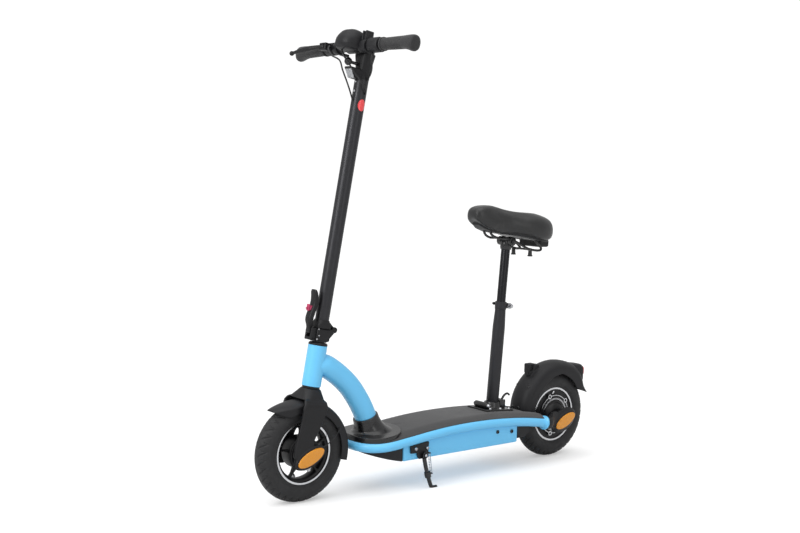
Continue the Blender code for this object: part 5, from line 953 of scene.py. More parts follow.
# Tyres: a round carcass with curved shoulder grooves, a fine groove each side of the crown and a rim line
GROOVES = round(2 * math.pi * TYRE_R / 0.022)
GROOVE_DEPTH = 0.0021
FRONT_WHEEL = Matrix.Translation(FRONT_AXLE) @ ALONG_Y
REAR_WHEEL = Matrix.Translation(REAR_AXLE) @ ALONG_Y


def trough(distance, half):
    """Depth share across a groove with soft sides."""
    share = abs(distance) / half
    return 0.0 if share >= 1 else min(1.0, 2.2 * (1 - share))


def tyre_point(u, v):
    """The tread: slanted shoulder grooves with spurs, a crown groove and raised lines on the sides."""
    section = 2 * math.pi * v
    across = math.degrees(math.pi - abs(section - math.pi))
    side = 1 if section < math.pi else -1
    depth = 0.0
    if 7 < across < 68:
        share = (across - 7) / 61
        slant = 0.95 * share**0.7 + (0.5 if side > 0 else 0.0)
        phase = (u * GROOVES + slant) % 1 - 0.5
        depth = GROOVE_DEPTH * trough(phase, 0.11) * min(1, share * 6, (1 - share) * 5)
        if 0.36 < share < 0.92:
            spur = (u * GROOVES + slant + 0.5 - 0.9 * (share - 0.36)) % 1 - 0.5
            depth = max(
                depth,
                0.8 * GROOVE_DEPTH * trough(spur, 0.08) * min(1, (share - 0.36) * 12, (0.92 - share) * 12))
    depth = max(depth, 0.001 * trough(across - 6, 3.0))
    swell = 0.0007 * max(0.0, 1 - abs(across - 112) / 3.0) + 0.0004 * max(0.0, 1 - abs(across - 78) / 2.5)
    reach = TYRE_SECTION_R - depth + swell
    radius = max(TYRE_R - TYRE_SECTION_R + reach * math.cos(section), RIM_R + GAP)
    turn = 2 * math.pi * u
    return Vector((radius * math.cos(turn), radius * math.sin(turn), reach * math.sin(section)))


WHEELS = (("front", "front_wheel_body", FRONT_WHEEL), ("rear", "rear_wheel_body", REAR_WHEEL))
for label, body, at in WHEELS:
    tyre = skin(tyre_point, GROOVES * 20, 84, at, caps=False)
    dressed(label + "_tyre", body, TYRE_RUBBER, [tyre], crisp=60)


# Front wheel: barrel rim with five slim spokes round a brake drum
def both_sides(half):
    return half + [(radius, -height) for radius, height in reversed(half)]


rim_half = [
    (0.0655, 0.006), (0.0672, 0.012), (0.07, 0.015), (0.0742, 0.016), (0.0752, 0.0185),
    (RIM_R - 0.0028, RIM_HALF), (RIM_R, RIM_HALF)]
SPOKE_OUT = 0.01
# A spoke outwards: radius, shift, half width, half thickness and squareness
SPOKE_ROWS = (
    (FRONT_DRUM_R - 0.004, 0, 0.006, 0.0075, 5), (FRONT_DRUM_R + 0.004, 0, 0.0038, 0.007, 5),
    (0.056, 0, 0.0026, 0.006, 4), (0.064, 0, 0.003, 0.0065, 5), (0.069, 0, 0.006, 0.008, 5))


def spoke_oval(x, y, a, b, power):
    return (x, y, SPOKE_OUT), (0, a, 0), (0, 0, b), power


spokes = []
for step in range(SPOKES):
    turn = FRONT_WHEEL @ Matrix.Rotation(-math.radians(-59) - 2 * math.pi * step / SPOKES, 4, "Z")
    spokes.append(oval_skin(SPOKE_ROWS, spoke_oval, turn, 16, 28))
drum_half = [
    (AXLE_R, FRONT_DRUM_HALF - 0.002), (0.03, FRONT_DRUM_HALF - 0.002), (0.034, FRONT_DRUM_HALF - 0.0045),
    (FRONT_DRUM_R - 0.002, FRONT_DRUM_HALF - 0.005), (FRONT_DRUM_R, FRONT_DRUM_HALF - 0.0075)]
valve_turn = Matrix.Rotation(-math.radians(-80.7), 4, "Z")
dressed("front_wheel", "front_wheel_body", CAST_BLACK, [
    turned(both_sides(rim_half), FRONT_WHEEL, 160, 0.0004),
    turned(both_sides(drum_half), FRONT_WHEEL, 96, 0.0005), *spokes])


def rim_ring(at, low, high, level, thick=0.0006):
    """A turned bright ring, proud of the rim on both sides."""
    rings = []
    for side in (1, -1):
        a, b = side * (level - 0.0004), side * (level + thick)
        rings.append(turned([(low, a), (high, a), (high, b), (low, b)], at, 160, 0.00015))
    return rings


wheel_rings = rim_ring(FRONT_WHEEL, 0.0748, 0.0797, RIM_HALF, 0.001)
wheel_rings += rim_ring(FRONT_WHEEL, 0.0352, 0.0362, FRONT_DRUM_HALF - 0.0052)
VALVE = (((0.064, 0, -0.007), (0.074, 0, 0.008), 0.0028), ((0.06, 0, -0.013), (0.064, 0, -0.007), 0.0038))
for low, high, radius in VALVE:
    wheel_rings.append(rod(low, high, radius, FRONT_WHEEL @ valve_turn, 20))
piece("front_rim_ring", "front_wheel_body", TURNED_ALUMINIUM, wheel_rings)

# Rear hub motor: dished cover with a domed cap, a ring of lugs and bright lines round them
hub_half = [
    (AXLE_R, MOTOR_DOME_HALF), (0.018, MOTOR_DOME_HALF - 0.0004), (0.0262, MOTOR_DOME_HALF - 0.002),
    (0.033, MOTOR_DOME_HALF - 0.0055), (MOTOR_DOME_R, MOTOR_DOME_HALF - 0.01), (0.0372, 0.0275),
    (0.042, 0.025), (MOTOR_DOME_R + 0.012, 0.024), (0.056, 0.0236), (0.0575, 0.0225), (0.0585, 0.018),
    (0.062, 0.0172), (RIM_R - RIM_LIP - 0.002, 0.0172), (RIM_R - RIM_LIP - 0.0005, RIM_HALF + 0.0002),
    (RIM_R, RIM_HALF + 0.0002)]
LUG_HOOP = [(0.0044, 0.0232), (0.0067, 0.0232), (0.0067, 0.0247), (0.0044, 0.0247)]
lugs, lug_rings = [], []
for step in range(MOTOR_LUGS):
    angle = math.radians(75) + 2 * math.pi * step / MOTOR_LUGS
    spot = Vector((0.058 * math.cos(angle), 0.058 * math.sin(angle), 0))
    for side in (1, -1):
        lugs.append(rod(spot + UP * side * 0.015, spot + UP * side * 0.0238, 0.0052, REAR_WHEEL, 28))
        flip = Matrix.Translation(spot) @ Matrix.Diagonal((1, 1, side, 1))
        lug_rings.append(turned(LUG_HOOP, REAR_WHEEL @ flip, 36))
        lugs.append(bolt(spot + UP * side * 0.0238, UP * side, 0.0026, 0.0014, REAR_WHEEL))
for angle in np.linspace(0, 2 * math.pi, 30, endpoint=False):
    for side in (1, -1):
        fin = REAR_WHEEL @ Matrix.Rotation(angle, 4, "Z")
        level = sorted((side * 0.0235, side * 0.0246))
        lugs.append(block((0.0392, -0.0006, level[0]), (0.0445, 0.0006, level[1]), 0.0003, fin, 1))
dressed(
    "rear_hub", "rear_wheel_body", CAST_BLACK,
    [turned(both_sides(hub_half), REAR_WHEEL, 160, 0.0004), *lugs])
rear_valve = Matrix.Rotation(-math.radians(86.3), 4, "Z")
# The bright lines of the hub: inner and outer radius, level and thickness
HUB_RINGS = (
    (0.0746, 0.0797, RIM_HALF + 0.0002, 0.001), (0.0556, 0.0574, 0.0232, 0.0012),
    (0.0444, 0.0458, 0.024, 0.001), (0.0472, 0.0484, 0.024, 0.001))
hub_rings = [ring for place in HUB_RINGS for ring in rim_ring(REAR_WHEEL, *place)] + lug_rings
hub_rings.append(rod((0.0615, 0.003, 0.019), (0.069, -0.003, 0.0205), 0.0026, REAR_WHEEL @ rear_valve, 20))
piece("rear_hub_rings", "rear_wheel_body", TURNED_ALUMINIUM, hub_rings)


# Fork: steerer, crown and two blades that end in oval pods with their reflectors
def oval_across_y(y, x, z, long, short, tilt):
    rear_up = Vector((-math.cos(tilt), 0, math.sin(tilt)))
    upward = Vector((math.sin(tilt), 0, math.cos(tilt)))
    return (x, y, z), rear_up * long, upward * short, 2


LENS_LONG, LENS_SHORT = 0.041, 0.017
# How far out each station of a pod is, its size, and how much of the skirt it has
POD_ROWS = (
    (0, 0.95, 1.0), (0.15, 1.0, 1.0), (0.45, 1.0, 1.0), (0.68, 1.0, 0.45), (0.84, 1.0, 0.06),
    (0.94, 0.985, 0.0), (1.0, 0.95, 0.0), (1.0, 0.925, 0.0))
# How far out each station of a lens is, and its size
LENS_ROWS = ((0, 1.0), (0.55, 1.0), (0.85, 0.975), (1.0, 0.93), (1.06, 0.7), (1.08, 0.35))


def tilted_ovals(centre, rows):
    """A sleeve through (y, half length, half height) rows that are tilted as the reflectors are."""
    table = [(y, centre[0], centre[2], long, short, REFLECTOR_TILT) for y, long, short in rows]
    return oval_skin(table, oval_across_y, sides=72, soft=False, ease=0)


def pod(centre, side, inside, thick, grow, skirt):
    """The oval end of a blade or an arm that carries a reflector; its inner side spreads by the skirt."""
    long, short = LENS_LONG + grow, LENS_SHORT + grow
    rows = []
    for share, size, wider in POD_ROWS:
        a, b = long * size + 0.45 * skirt * wider, short * size + skirt * wider
        rows.append((side * (inside + share * thick), a, b))
    return tilted_ovals(centre, rows)


def reflector(node, body, centre, side, seat):
    rows = []
    for share, size in LENS_ROWS:
        rows.append((side * (seat + GAP + share * REFLECTOR_THICK), LENS_LONG * size, LENS_SHORT * size))
    dressed(node, body, AMBER_ACRYLIC, [tilted_ovals(centre, rows)], crisp=50)


crown_foot = (CROWN_LOW - TYRE_R) / math.cos(RAKE)
BLADE_OUTSIDE = BLADE_INSIDE + BLADE_THICK
# The crown upwards along the stem: height over its foot, front, rear and half width
CROWN_SIDE = (
    (-0.028, 0.044, -0.0276, 0.052), (-0.0146, 0.042, -0.028, 0.052), (-0.0086, 0.0405, -0.0278, 0.048),
    (-0.004, 0.0384, -0.0276, 0.0446), (0.0054, 0.0335, -0.0268, 0.038), (0.0134, 0.0292, -0.026, 0.0321),
    (0.0214, 0.0254, -0.0254, 0.0265), (0.024, 0.0245, -0.0245, 0.0245))
crown_rows = []
for z, fore, aft, half in CROWN_SIDE[3:]:
    power = 4 - 80 * z if z < 0.024 else 2
    crown_rows.append((crown_foot + z, (fore + aft) / 2, (fore - aft) / 2, half - 0.0004, power))
SHOULDER_R = 0.0055
SHOULDER = []
for z, fore, aft, half in CROWN_SIDE[:4]:
    SHOULDER.append((z, (fore + aft) / 2, half - SHOULDER_R, (fore - aft) / 2, SHOULDER_R))
SHOULDER.append((0.001, 0.004, 0.033, 0.025, 0.005))


def shoulder_oval(z, x, y, a, b):
    return (x, y, z), (a, 0, 0), (0, b, 0), 4.5


fork_shapes = [oval_skin(crown_rows, across_z, STEM, 16, 64)]
for side in (-1, 1):
    at = shift(0, side * (BLADE_INSIDE + BLADE_THICK / 2), 0) @ FACING_Y
    fork_shapes.append(plate(blade_outline(), BLADE_THICK, at, 0.003))
    rows = [(crown_foot + z, x, side * y, a, b) for z, x, y, a, b in SHOULDER]
    fork_shapes.append(oval_skin(rows, shoulder_oval, STEM, 16, 48, 0))
    fork_shapes.append(pod(FRONT_POD, side, BLADE_INSIDE, BLADE_THICK + 0.002, 0.0065, 0.002))
steerer = rod((0, 0, CROWN_TOP - 0.01), (0, 0, HINGE_SPLIT - 0.0166), STEERER_R, STEM)
fork_skin = cast(fork_shapes, 0.0012, 12)
dressed("fork", "steering", POWDER_BLACK, [fork_skin, steerer], crisp=60)
for label, side in SIDES:
    reflector("front_reflector_" + label, "steering", FRONT_POD, side, BLADE_OUTSIDE + 0.002)

front_fender = shell(72, 40, front_fender_surface, FENDER_WALL, FRONT_AXLE)
boss = block((0.41, -0.012, 2 * TYRE_R + FENDER_CLEARANCE + 0.0005), (0.44, 0.012, CROWN_LOW - GAP), 0.0005)
dressed("front_fender", "steering", MOULDED_ABS, [front_fender, boss], crisp=45)

PLATE_IN = FRONT_DRUM_HALF + 0.001
# The brake plate outwards and in again: radius and step over its inner face
PLATE_STEPS = (
    (AXLE_R, 0.009), (0.015, 0.009), (0.016, 0.008), (0.018, 0.0055), (0.026, 0.004), (0.027, 0.003),
    (FRONT_DRUM_R - 0.001, 0.002), (FRONT_DRUM_R, 0.001), (FRONT_DRUM_R, 0), (AXLE_R, 0))
plate_profile = [(radius, PLATE_IN + step) for radius, step in PLATE_STEPS]
CAM = FRONT_AXLE + Vector((0.0185, 0, -0.029))
CAM_AT = Matrix.Translation(CAM)
CABLE_STOP = FRONT_AXLE + Vector((-0.0345, 0, 0.006))
STOP_AT = Matrix.Translation(CABLE_STOP) @ Matrix.Rotation(math.radians(35), 4, "Y")
dressed("brake_plate", "steering", POWDER_BLACK, [
    turned(plate_profile, FRONT_WHEEL, 96, 0.0003), pin(0.0255, 0.0345, 0.0065, CAM_AT),
    pin(0.034, 0.0395, 0.003, CAM_AT),
    block((-0.006, PLATE_IN + 0.001, -0.005), (0.006, PLATE_IN + 0.0125, 0.005), 0.001, STOP_AT)])
ARM_END = CAM + Vector((-0.0225, 0, -0.01))
arm_level = Vector((0, 0.037, 0))
across = Vector((0, 0.0018, 0))
dressed("brake_arm", "brake_cam", ZINC_STEEL, [
    rod(CAM + arm_level - across * 1.1, CAM + arm_level + across * 1.1, 0.0062),
    pipe([CAM + arm_level, ARM_END + arm_level], 0.0024, sides=16),
    rod(ARM_END + arm_level - across, ARM_END + arm_level + across, 0.0042),
    rod(CAM + arm_level + across, CAM + arm_level + across * 2.2, 0.0038, sides=6)])
wire_end = CABLE_STOP + Vector((-0.006, PLATE_IN + 0.009, 0.0038))
wire = smooth([
    (0.3455, FRONT_FENDER_HALF + 0.0035, 0.185), (0.36, FRONT_FENDER_HALF + 0.003, 0.165),
    (0.38, 0.037, 0.148), wire_end], 36)
dressed("front_brake_wire", "steering", CABLE_PVC, [pipe(wire, 0.0013, sides=12)])
AXLES = (
    ("front_axle", "steering", BLADE_OUTSIDE - 0.004, FRONT_AXLE),
    ("rear_axle", "chassis", ARM_Y + ARM_POD_THICK - 0.005, REAR_AXLE))
for node, body, end, centre in AXLES:
    dressed(node, body, ZINC_STEEL, [pin(-end, end, AXLE_R, Matrix.Translation(centre))])

# Rear arms from the flared rail ends to the rear axle
arm_start = RAIL_REAR - GAP
arm_slope = math.atan((arch(RAIL_REAR + 0.003) - arch(RAIL_REAR)) / 0.003)
# An arm rearwards: distance ahead of its start, Y, Z, half width, half height, squareness and lean
ARM_ROWS = (
    (0.014, RAIL_HALF, arch(RAIL_REAR + 0.014), 0.0172, 0.0172, 2.0, arm_slope),
    (0.006, RAIL_HALF, arch(RAIL_REAR + 0.006), 0.017, 0.0174, 2.1, arm_slope),
    (-0.005, RAIL_HALF - 0.002, arch(RAIL_REAR), 0.0166, 0.018, 2.2, arm_slope),
    (-0.018, RAIL_HALF - 0.009, 0.1225, 0.012, 0.019, 2.6, arm_slope / 2),
    (-0.031, RAIL_HALF - 0.0175, 0.1225, 0.0085, 0.0225, 2.8, 0),
    (-0.05, ARM_Y + 0.0068, 0.12, 0.0062, 0.027, 2.6, 0),
    (-0.085, ARM_Y + 0.006, 0.1175, 0.0045, 0.014, 3.0, 0))


def arm_oval(x, y, z, a, b, power, lean):
    return (x, y, z), (0, a, 0), (-b * math.sin(lean), 0, b * math.cos(lean)), power


for label, side in SIDES:
    rows = [(arm_start + ahead, side * y, *rest) for ahead, y, *rest in ARM_ROWS]
    arm = oval_skin(rows, arm_oval, rows=36, sides=48)
    arm_pod = pod(REAR_POD + Vector((0, 0, 0.0005)), side, ARM_Y, ARM_POD_THICK, 0.005, 0.011)
    dressed("rear_arm_" + label, "chassis", POWDER_BLACK, [cast([arm, arm_pod], 0.0011, 6)], crisp=70)
    reflector("rear_reflector_" + label, "chassis", REAR_POD, side, ARM_Y + ARM_POD_THICK)


# Rear fender with its hook and the tail lamp's housing
# The lamp's housing rearwards: X, Z, half width and half height
lamp_rows = [
    (-0.486, 0.26, 0.013, 0.009), (-0.502, 0.255, 0.0225, 0.018), (-0.52, 0.248, 0.027, 0.0245),
    (-0.542, 0.241, 0.028, 0.0285), (-0.556, 0.238, 0.028, 0.0295), (-0.56, 0.2375, 0.027, 0.0288)]


def lamp_oval(x, z, half, tall):
    return (x, 0, z), (0, half, 0), (0, 0, tall), 4


fender_shapes = [
    shell(120, 56, rear_fender_surface, FENDER_WALL + 0.0006, REAR_AXLE),
    block((-0.39, -0.01, 0.238), (-0.364, 0.01, 0.28), 0.004),
    block((-0.37, -0.01, 0.277), (-0.346, 0.01, 0.284), 0.0026),
    block((-0.351, -0.01, 0.256), (-0.344, 0.01, 0.284), 0.0026),
    block((-0.37, -0.01, 0.248), (-0.346, 0.01, 0.262), 0.003),
    oval_skin(lamp_rows, lamp_oval, rows=24, sides=56, ease=0.001)]
fender_skin = cast(fender_shapes, 0.0014, 4)
dressed("rear_fender", "chassis", MOULDED_ABS, [fender_skin], crisp=70)
fender_screws = []
for u, v in ((0.225, 0.388), (0.042, 0.45)):
    spot = rear_fender_surface(u, v)
    out = (rear_fender_surface(u + 0.01, v) - spot).cross(rear_fender_surface(u, v + 0.01) - spot)
    out *= math.copysign(1, out.dot(spot - REAR_AXLE))
    fender_screws.append(bolt(spot, out, 0.0042, 0.0016, domed=False))
    fender_screws.append(
        bolt(Vector((spot.x, -spot.y, spot.z)), Vector((out.x, -out.y, out.z)), 0.0042, 0.0016))
piece("fender_screws", "chassis", GLOSS_BLACK, fender_screws)
lens_rows = [
    (-0.56 - GAP, 0.247, 0.0248, 0.0152), (-0.564, 0.2469, 0.0245, 0.0149), (-0.566, 0.2468, 0.0225, 0.013),
    (-0.5665, 0.2468, 0.016, 0.0085)]
tail = oval_skin(lens_rows, lamp_oval, rows=6, sides=56, ease=0.0004)
dressed("tail_lens", "chassis", RED_ACRYLIC, [tail])

# Kickstand: bracket with two bolts, the leg and its coil spring
stand_low, stand_high = BOX_HALF + GAP, STAND_PIVOT_Y - 0.005
STAND_PIVOT = Vector((STAND_PIVOT_X, STAND_PIVOT_Y, STAND_PIVOT_Z))
STAND_AT = Matrix.Translation(STAND_PIVOT)
bracket_outline = [
    (0.154, 0.1015), (0.156, 0.1225), (0.096, 0.128), (0.093, 0.126), (0.0955, 0.088), (0.1, 0.0845),
    (0.125, 0.0835), (0.131, 0.09), (0.1335, 0.101)]
SPRING_TOP = STAND_PIVOT + Vector((-0.0105, 0.003, 0.0065))
bracket_at = shift(0, (stand_high + stand_low) / 2, 0) @ FACING_Y
dressed("kickstand_bracket", "chassis", POWDER_BLACK, [
    plate(bracket_outline, stand_high - stand_low, bracket_at, 0.0012),
    pin(-0.007, 0.0035, 0.003, STAND_AT), pin(0.0029, 0.005, 0.0055, STAND_AT)])
piece("kickstand_bolts", "chassis", ZINC_STEEL, [
    bolt((0.1, stand_high, 0.1107), SIDEWAYS, 0.0052, 0.0034),
    bolt((0.1385, stand_high, 0.113), SIDEWAYS, 0.0052, 0.0034),
    bolt(STAND_PIVOT + Vector((0, 0.005, 0)), SIDEWAYS, 0.004, 0.0016)])
leg_line = [
    STAND_PIVOT + Vector((0.003, 0.0, -0.007)), (0.109, 0.0985, 0.06), (0.101, 0.0995, 0.034),
    (0.0945, STAND_FOOT_Y, 0.015), (0.0905, STAND_FOOT_Y, 0.0075), (0.0835, STAND_FOOT_Y + 0.001, 0.0055),
    (0.074, STAND_FOOT_Y + 0.001, 0.0055)]
stop_collar = Vector((0.103, 0.0993, 0.0415))
leg_axis = (Vector((0.0945, STAND_FOOT_Y, 0.015)) - STAND_PIVOT).normalized()
SPRING_FOOT = stop_collar + Vector((-0.0115, 0, 0.002))
leg = pipe(
    smooth(leg_line, 60), STAND_LEG_R, sides=24,
    factors=list(np.interp(np.linspace(0, 1, 60), [0, 0.8, 1], [1.25, 1.2, 1.0])))
spring_pins = []
PIN_PLACES = ((stop_collar, SPRING_FOOT, 0.002, 0.002), (STAND_PIVOT, SPRING_TOP, 0.001, 0.003))
for root, end, inner, outer in PIN_PLACES:
    spring_pins.append(rod(root, end, SPRING_PIN_R))
    low, high = end - SIDEWAYS * (SPRING_R + inner), end + SIDEWAYS * (SPRING_R + outer)
    spring_pins.append(rod(low, high, SPRING_PIN_R))
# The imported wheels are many-sided, so the floor lies this high inside the tyre's true circle
SOLE = TYRE_R * (1 - math.cos(math.pi / WHEEL_STEPS))
floor_up = TO_GROUND.inverted().to_3x3() @ UP
leg = trimmed(leg, TO_GROUND.inverted() @ Vector((0, 0, SOLE)), -floor_up)
leg_shapes = [
    leg, pin(stand_high + GAP - STAND_PIVOT_Y, 0.0029 - GAP, 0.0088, STAND_AT),
    rod(stop_collar - leg_axis * 0.008, stop_collar + leg_axis * 0.008, 0.0088, ease=0.0012)]
dressed("kickstand_leg", "stand", GLOSS_BLACK, leg_shapes + spring_pins)


COIL_STEPS = 24


def coil(start, end, radius, wire, turns):
    """A coil spring: one unbroken wire whose ends run straight for one wire diameter."""
    axis = (end - start).normalized()
    third = axis.cross(SIDEWAYS).normalized()
    side = third.cross(axis)
    lead = 2 * wire
    length = (end - start).length - 2 * lead
    count = turns * COIL_STEPS
    points = [start + side * radius]
    for step in range(count + 1):
        angle = 2 * math.pi * step / COIL_STEPS
        ring = side * math.cos(angle) + third * math.sin(angle)
        points.append(start + axis * (lead + length * step / count) + ring * radius)
    points.append(end + side * radius)
    return pipe(points, wire, sides=10)


spring_seat = (SPRING_FOOT - SPRING_TOP).normalized() * (SPRING_PIN_R + GAP)
spring = coil(
    SPRING_TOP + spring_seat, SPRING_FOOT - spring_seat, SPRING_R + 0.0006, SPRING_WIRE_R + 0.0002,
    SPRING_TURNS)
dressed("kickstand_spring", "stand", ZINC_STEEL, [spring])

# Seat: foot plate with its socket, the tube, collar and sliding post
SEAT = shift(SEAT_X, 0, 0.165) @ Matrix.Rotation(-SEAT_LEAN, 4, "Y")
MOUNT_REAR, MOUNT_FRONT, MOUNT_HALF, MOUNT_PLATE = -0.26, -0.154, 0.04, 0.005


def mount_surface(lift, inset=0.0):
    def at(u, v):
        x = MOUNT_REAR + inset + (MOUNT_FRONT - MOUNT_REAR - 2 * inset) * u
        y = (MOUNT_HALF - inset) * (1 - 2 * v)
        return Vector((x, y, mat_top(x, y) + lift))

    return at


HANDLE_PIVOT = Vector((SEAT_X - 0.0355, 0, 0.183))
HANDLE_AT = Matrix.Translation(HANDLE_PIVOT)
# The socket round the tube's foot: how much wider than the tube, and how high
SOCKET = (
    (-0.002, 0.021), (0.0045, 0.021), (0.0055, 0.0195), (0.007, 0.009), (0.0085, 0.006), (0.012, 0.0048),
    (0.013, 0.003), (0.013, 0.001), (-0.002, 0.001))
mount_shapes = [
    slab(16, 12, mount_surface(GAP), mount_surface(MOUNT_PLATE, 0.0005), ease=0.001),
    turned([(SEAT_TUBE_R + wider, z) for wider, z in SOCKET], SEAT, ease=0.0004),
    pin(-0.011, 0.011, 0.0025, HANDLE_AT)]
for side in (-1, 1):
    low = (SEAT_X - 0.042, side * 0.01 - 0.0025, 0.166)
    high = (SEAT_X - 0.019, side * 0.01 + 0.0025, 0.1895)
    mount_shapes.append(block(low, high, 0.0015))
dressed("seat_mount", "chassis", GLOSS_BLACK, mount_shapes)
barrel_x = SEAT_X + SEAT_TUBE_R + 0.02
barrel_z = mat_top(barrel_x, 0) + MOUNT_PLATE + 0.008
barrel_at = shift(barrel_x, 0, barrel_z)
barrel = [pin(-0.026, 0.026, 0.0085, barrel_at, 40, ease=0.0012)]
barrel.append(block((-0.014, -0.02, -0.0085), (0.002, 0.02, 0.004), 0.002, barrel_at))
piece("seat_foot_barrel", "chassis", GLOSS_BLACK, barrel)
mount_bolts = [
    bolt((0, 0.026, 0), SIDEWAYS, 0.0062, 0.005, barrel_at),
    bolt((0, -0.026, 0), -SIDEWAYS, 0.0062, 0.005, barrel_at)]
for x, y in ((-0.178, 0.03), (-0.178, -0.03), (-0.25, 0.03), (-0.25, -0.03), (-0.214, 0.033)):
    mount_bolts.append(bolt((x, y, mat_top(x, y) + MOUNT_PLATE), UP, 0.0042, 0.003))
piece("seat_mount_bolts", "chassis", ZINC_STEEL, mount_bolts)
# The handle from its pivot, rearwards and up
HANDLE_LOOP = ((0, 0), (-0.008, 0.012), (-0.016, 0.0185), (-0.025, 0.02), (-0.032, 0.015))
handle_line = smooth([HANDLE_PIVOT + Vector((x, 0, z)) for x, z in HANDLE_LOOP], 28)
dressed("mount_handle", "mount_grab", GLOSS_BLACK, [
    pipe(handle_line, 0.0036, sides=20, factors=list(np.linspace(1.0, 0.8, 28))),
    pin(-0.007, 0.007, 0.0058, HANDLE_AT)])
TUBE_STEP = SEAT_TUBE_LENGTH - SEAT_COLLAR_HEIGHT
dressed("seat_tube", "chassis", ANODISED_GREY, [
    turned([
        (POST_R + GAP, SEAT_TUBE_LENGTH), (SEAT_TOP_R - 0.001, SEAT_TUBE_LENGTH),
        (SEAT_TOP_R - 0.001, TUBE_STEP + 0.002), (SEAT_TOP_R, TUBE_STEP + 0.002),
        (SEAT_TOP_R, TUBE_STEP - 0.001), (SEAT_TUBE_R, TUBE_STEP - 0.048), (SEAT_TUBE_R, 0.006),
        (POST_R + GAP, 0.006)], SEAT, ease=0.0003)])
post_profile = [
    (0, POST_TOP), (POST_R - 0.0035, POST_TOP), (POST_R - 0.002, POST_TOP - 0.001),
    (POST_R, POST_TOP - 0.011), (POST_R, POST_LOW), (POST_R - 0.0022, POST_LOW),
    (POST_R - 0.0022, POST_TOP - 0.02), (0, POST_TOP - 0.02)]
dressed("seat_post", "post", ANODISED_BLACK, [turned(post_profile, SEAT)])
COLLAR_LOW = TUBE_STEP + 0.002 + GAP
CLAMP_BOLT = SEAT @ Vector((-0.0235, 0, COLLAR_LOW + SEAT_COLLAR_HEIGHT / 2))
CLAMP_AT = Matrix.Translation(CLAMP_BOLT)
collar_top = COLLAR_LOW + SEAT_COLLAR_HEIGHT
ears = []
for low, high in ((-0.0085, -0.0015), (0.0015, 0.0085)):
    corners = (-0.029, low, COLLAR_LOW + 0.0035), (-0.0145, high, collar_top - 0.0035)
    ears.append(block(*corners, 0.0015, SEAT))
collar_profile = [
    (SEAT_TOP_R - 0.001 + GAP, collar_top), (SEAT_COLLAR_R - 0.0008, collar_top),
    (SEAT_COLLAR_R, collar_top - 0.0008), (SEAT_COLLAR_R, COLLAR_LOW + 0.0008),
    (SEAT_COLLAR_R - 0.0008, COLLAR_LOW), (SEAT_TOP_R - 0.001 + GAP, COLLAR_LOW)]
dressed(
    "seat_collar", "chassis", ANODISED_GREY,
    [turned(collar_profile, SEAT), *ears, pin(-0.015, 0.012, 0.0025, CLAMP_AT)], slot="bright_steel")
nut = [pin(0.0086, 0.011, 0.0068, CLAMP_AT, 28)]
for step in range(4):
    rib = 0.003 * step
    nut.append(pin(0.011 + rib, 0.0132 + rib, 0.0085 - 0.0011 * step, CLAMP_AT, 32))
nut.append(pin(0.011, 0.0228, 0.0042, CLAMP_AT, 24))
piece("seat_clamp_nut", "chassis", ZINC_STEEL, nut)
# The lever from the clamp's bolt
LEVER_LINE = ((0, -0.019, 0), (0.009, -0.0235, 0.002), (0.02, -0.026, 0.004), (0.031, -0.0255, 0.0055))
quick_line = smooth([CLAMP_BOLT + Vector(place) for place in LEVER_LINE], 28)
quick_sizes = list(
    np.interp(np.linspace(0, 1, 28), [0, 0.3, 0.5, 0.85, 0.95, 1], [1, 0.95, 0.88, 0.98, 0.85, 0.5]))
dressed(
    "seat_lever", "clamp_lever", GLOSS_BLACK,
    [pin(-0.024, -0.0088, 0.0068, CLAMP_AT), pipe(quick_line, 0.0045, sides=20, factors=quick_sizes)])

# Saddle clamp on the post, the rail frame under the saddle and its springs' bumpers
TILT = SEAT @ Vector((0, 0, TILT_HEIGHT))
TILT_AT = Matrix.Translation(TILT)
clamp_profile = [
    (0, TILT_HEIGHT), (POST_R + 0.003, TILT_HEIGHT), (POST_R + 0.0038, TILT_HEIGHT - 0.008),
    (POST_R + 0.004, TILT_HEIGHT - 0.015), (POST_R + 0.0025, TILT_HEIGHT - 0.024),
    (POST_R - 0.001, TILT_HEIGHT - 0.024), (POST_R - 0.001, POST_TOP + GAP), (0, POST_TOP + GAP)]
dressed(
    "saddle_clamp", "post", GLOSS_BLACK,
    [turned(clamp_profile, SEAT, ease=0.0003), pin(-0.01, 0.01, 0.0115, TILT_AT)])
# The left rail wire about the tilt bolt, from the nose to the springs
RAIL_LINE = (
    (0.076, 0.013, 0.033), (0.075, 0.013, 0.027), (0.069, 0.014, 0.019), (0.058, 0.0165, 0.013),
    (0.04, RAIL_WIRE_HALF, 0.009), (0.01, RAIL_WIRE_HALF, 0.0072), (-0.022, 0.024, -0.004),
    (-0.048, 0.031, -0.018), (-0.064, 0.0345, -0.0235), (-0.085, 0.04, -0.0265), (-0.096, 0.043, -0.024),
    (-0.09, 0.046, -0.015), (-0.072, 0.048, -0.002), (-0.066, 0.048, 0.004))
rail_shapes = [pin(-0.033, 0.033, TILT_BOLT_R, TILT_AT)]
for side in (-1, 1):
    rail_shapes.append(pin(side * 0.0103, side * 0.018, 0.0135, TILT_AT, ease=0.001))
    rail_shapes.append(pin(side * 0.0184, side * 0.0275, 0.0128, TILT_AT, ease=0.001))
    rail_shapes.append(pin(side * 0.027, side * 0.032, 0.007, TILT_AT, 6))
    wire_route = [(x, side * y, z) for x, y, z in RAIL_LINE]
    rail_shapes.append(pipe(smooth(wire_route, 96), RAIL_WIRE_R, TILT_AT, 16))
    foot, top = (-0.062, side * 0.034, -0.043), (-0.062, side * 0.034, -0.02)
    rail_shapes.append(rod(foot, top, 0.0062, TILT_AT, 24, 0.005))
    rail_shapes.append(rod(foot, Vector(foot) + UP * 0.0035, 0.0074, TILT_AT, 24))
rail_shapes.append(rod((-0.062, -0.0345, -0.0235), (-0.062, 0.0345, -0.0235), 0.003, TILT_AT, 20))
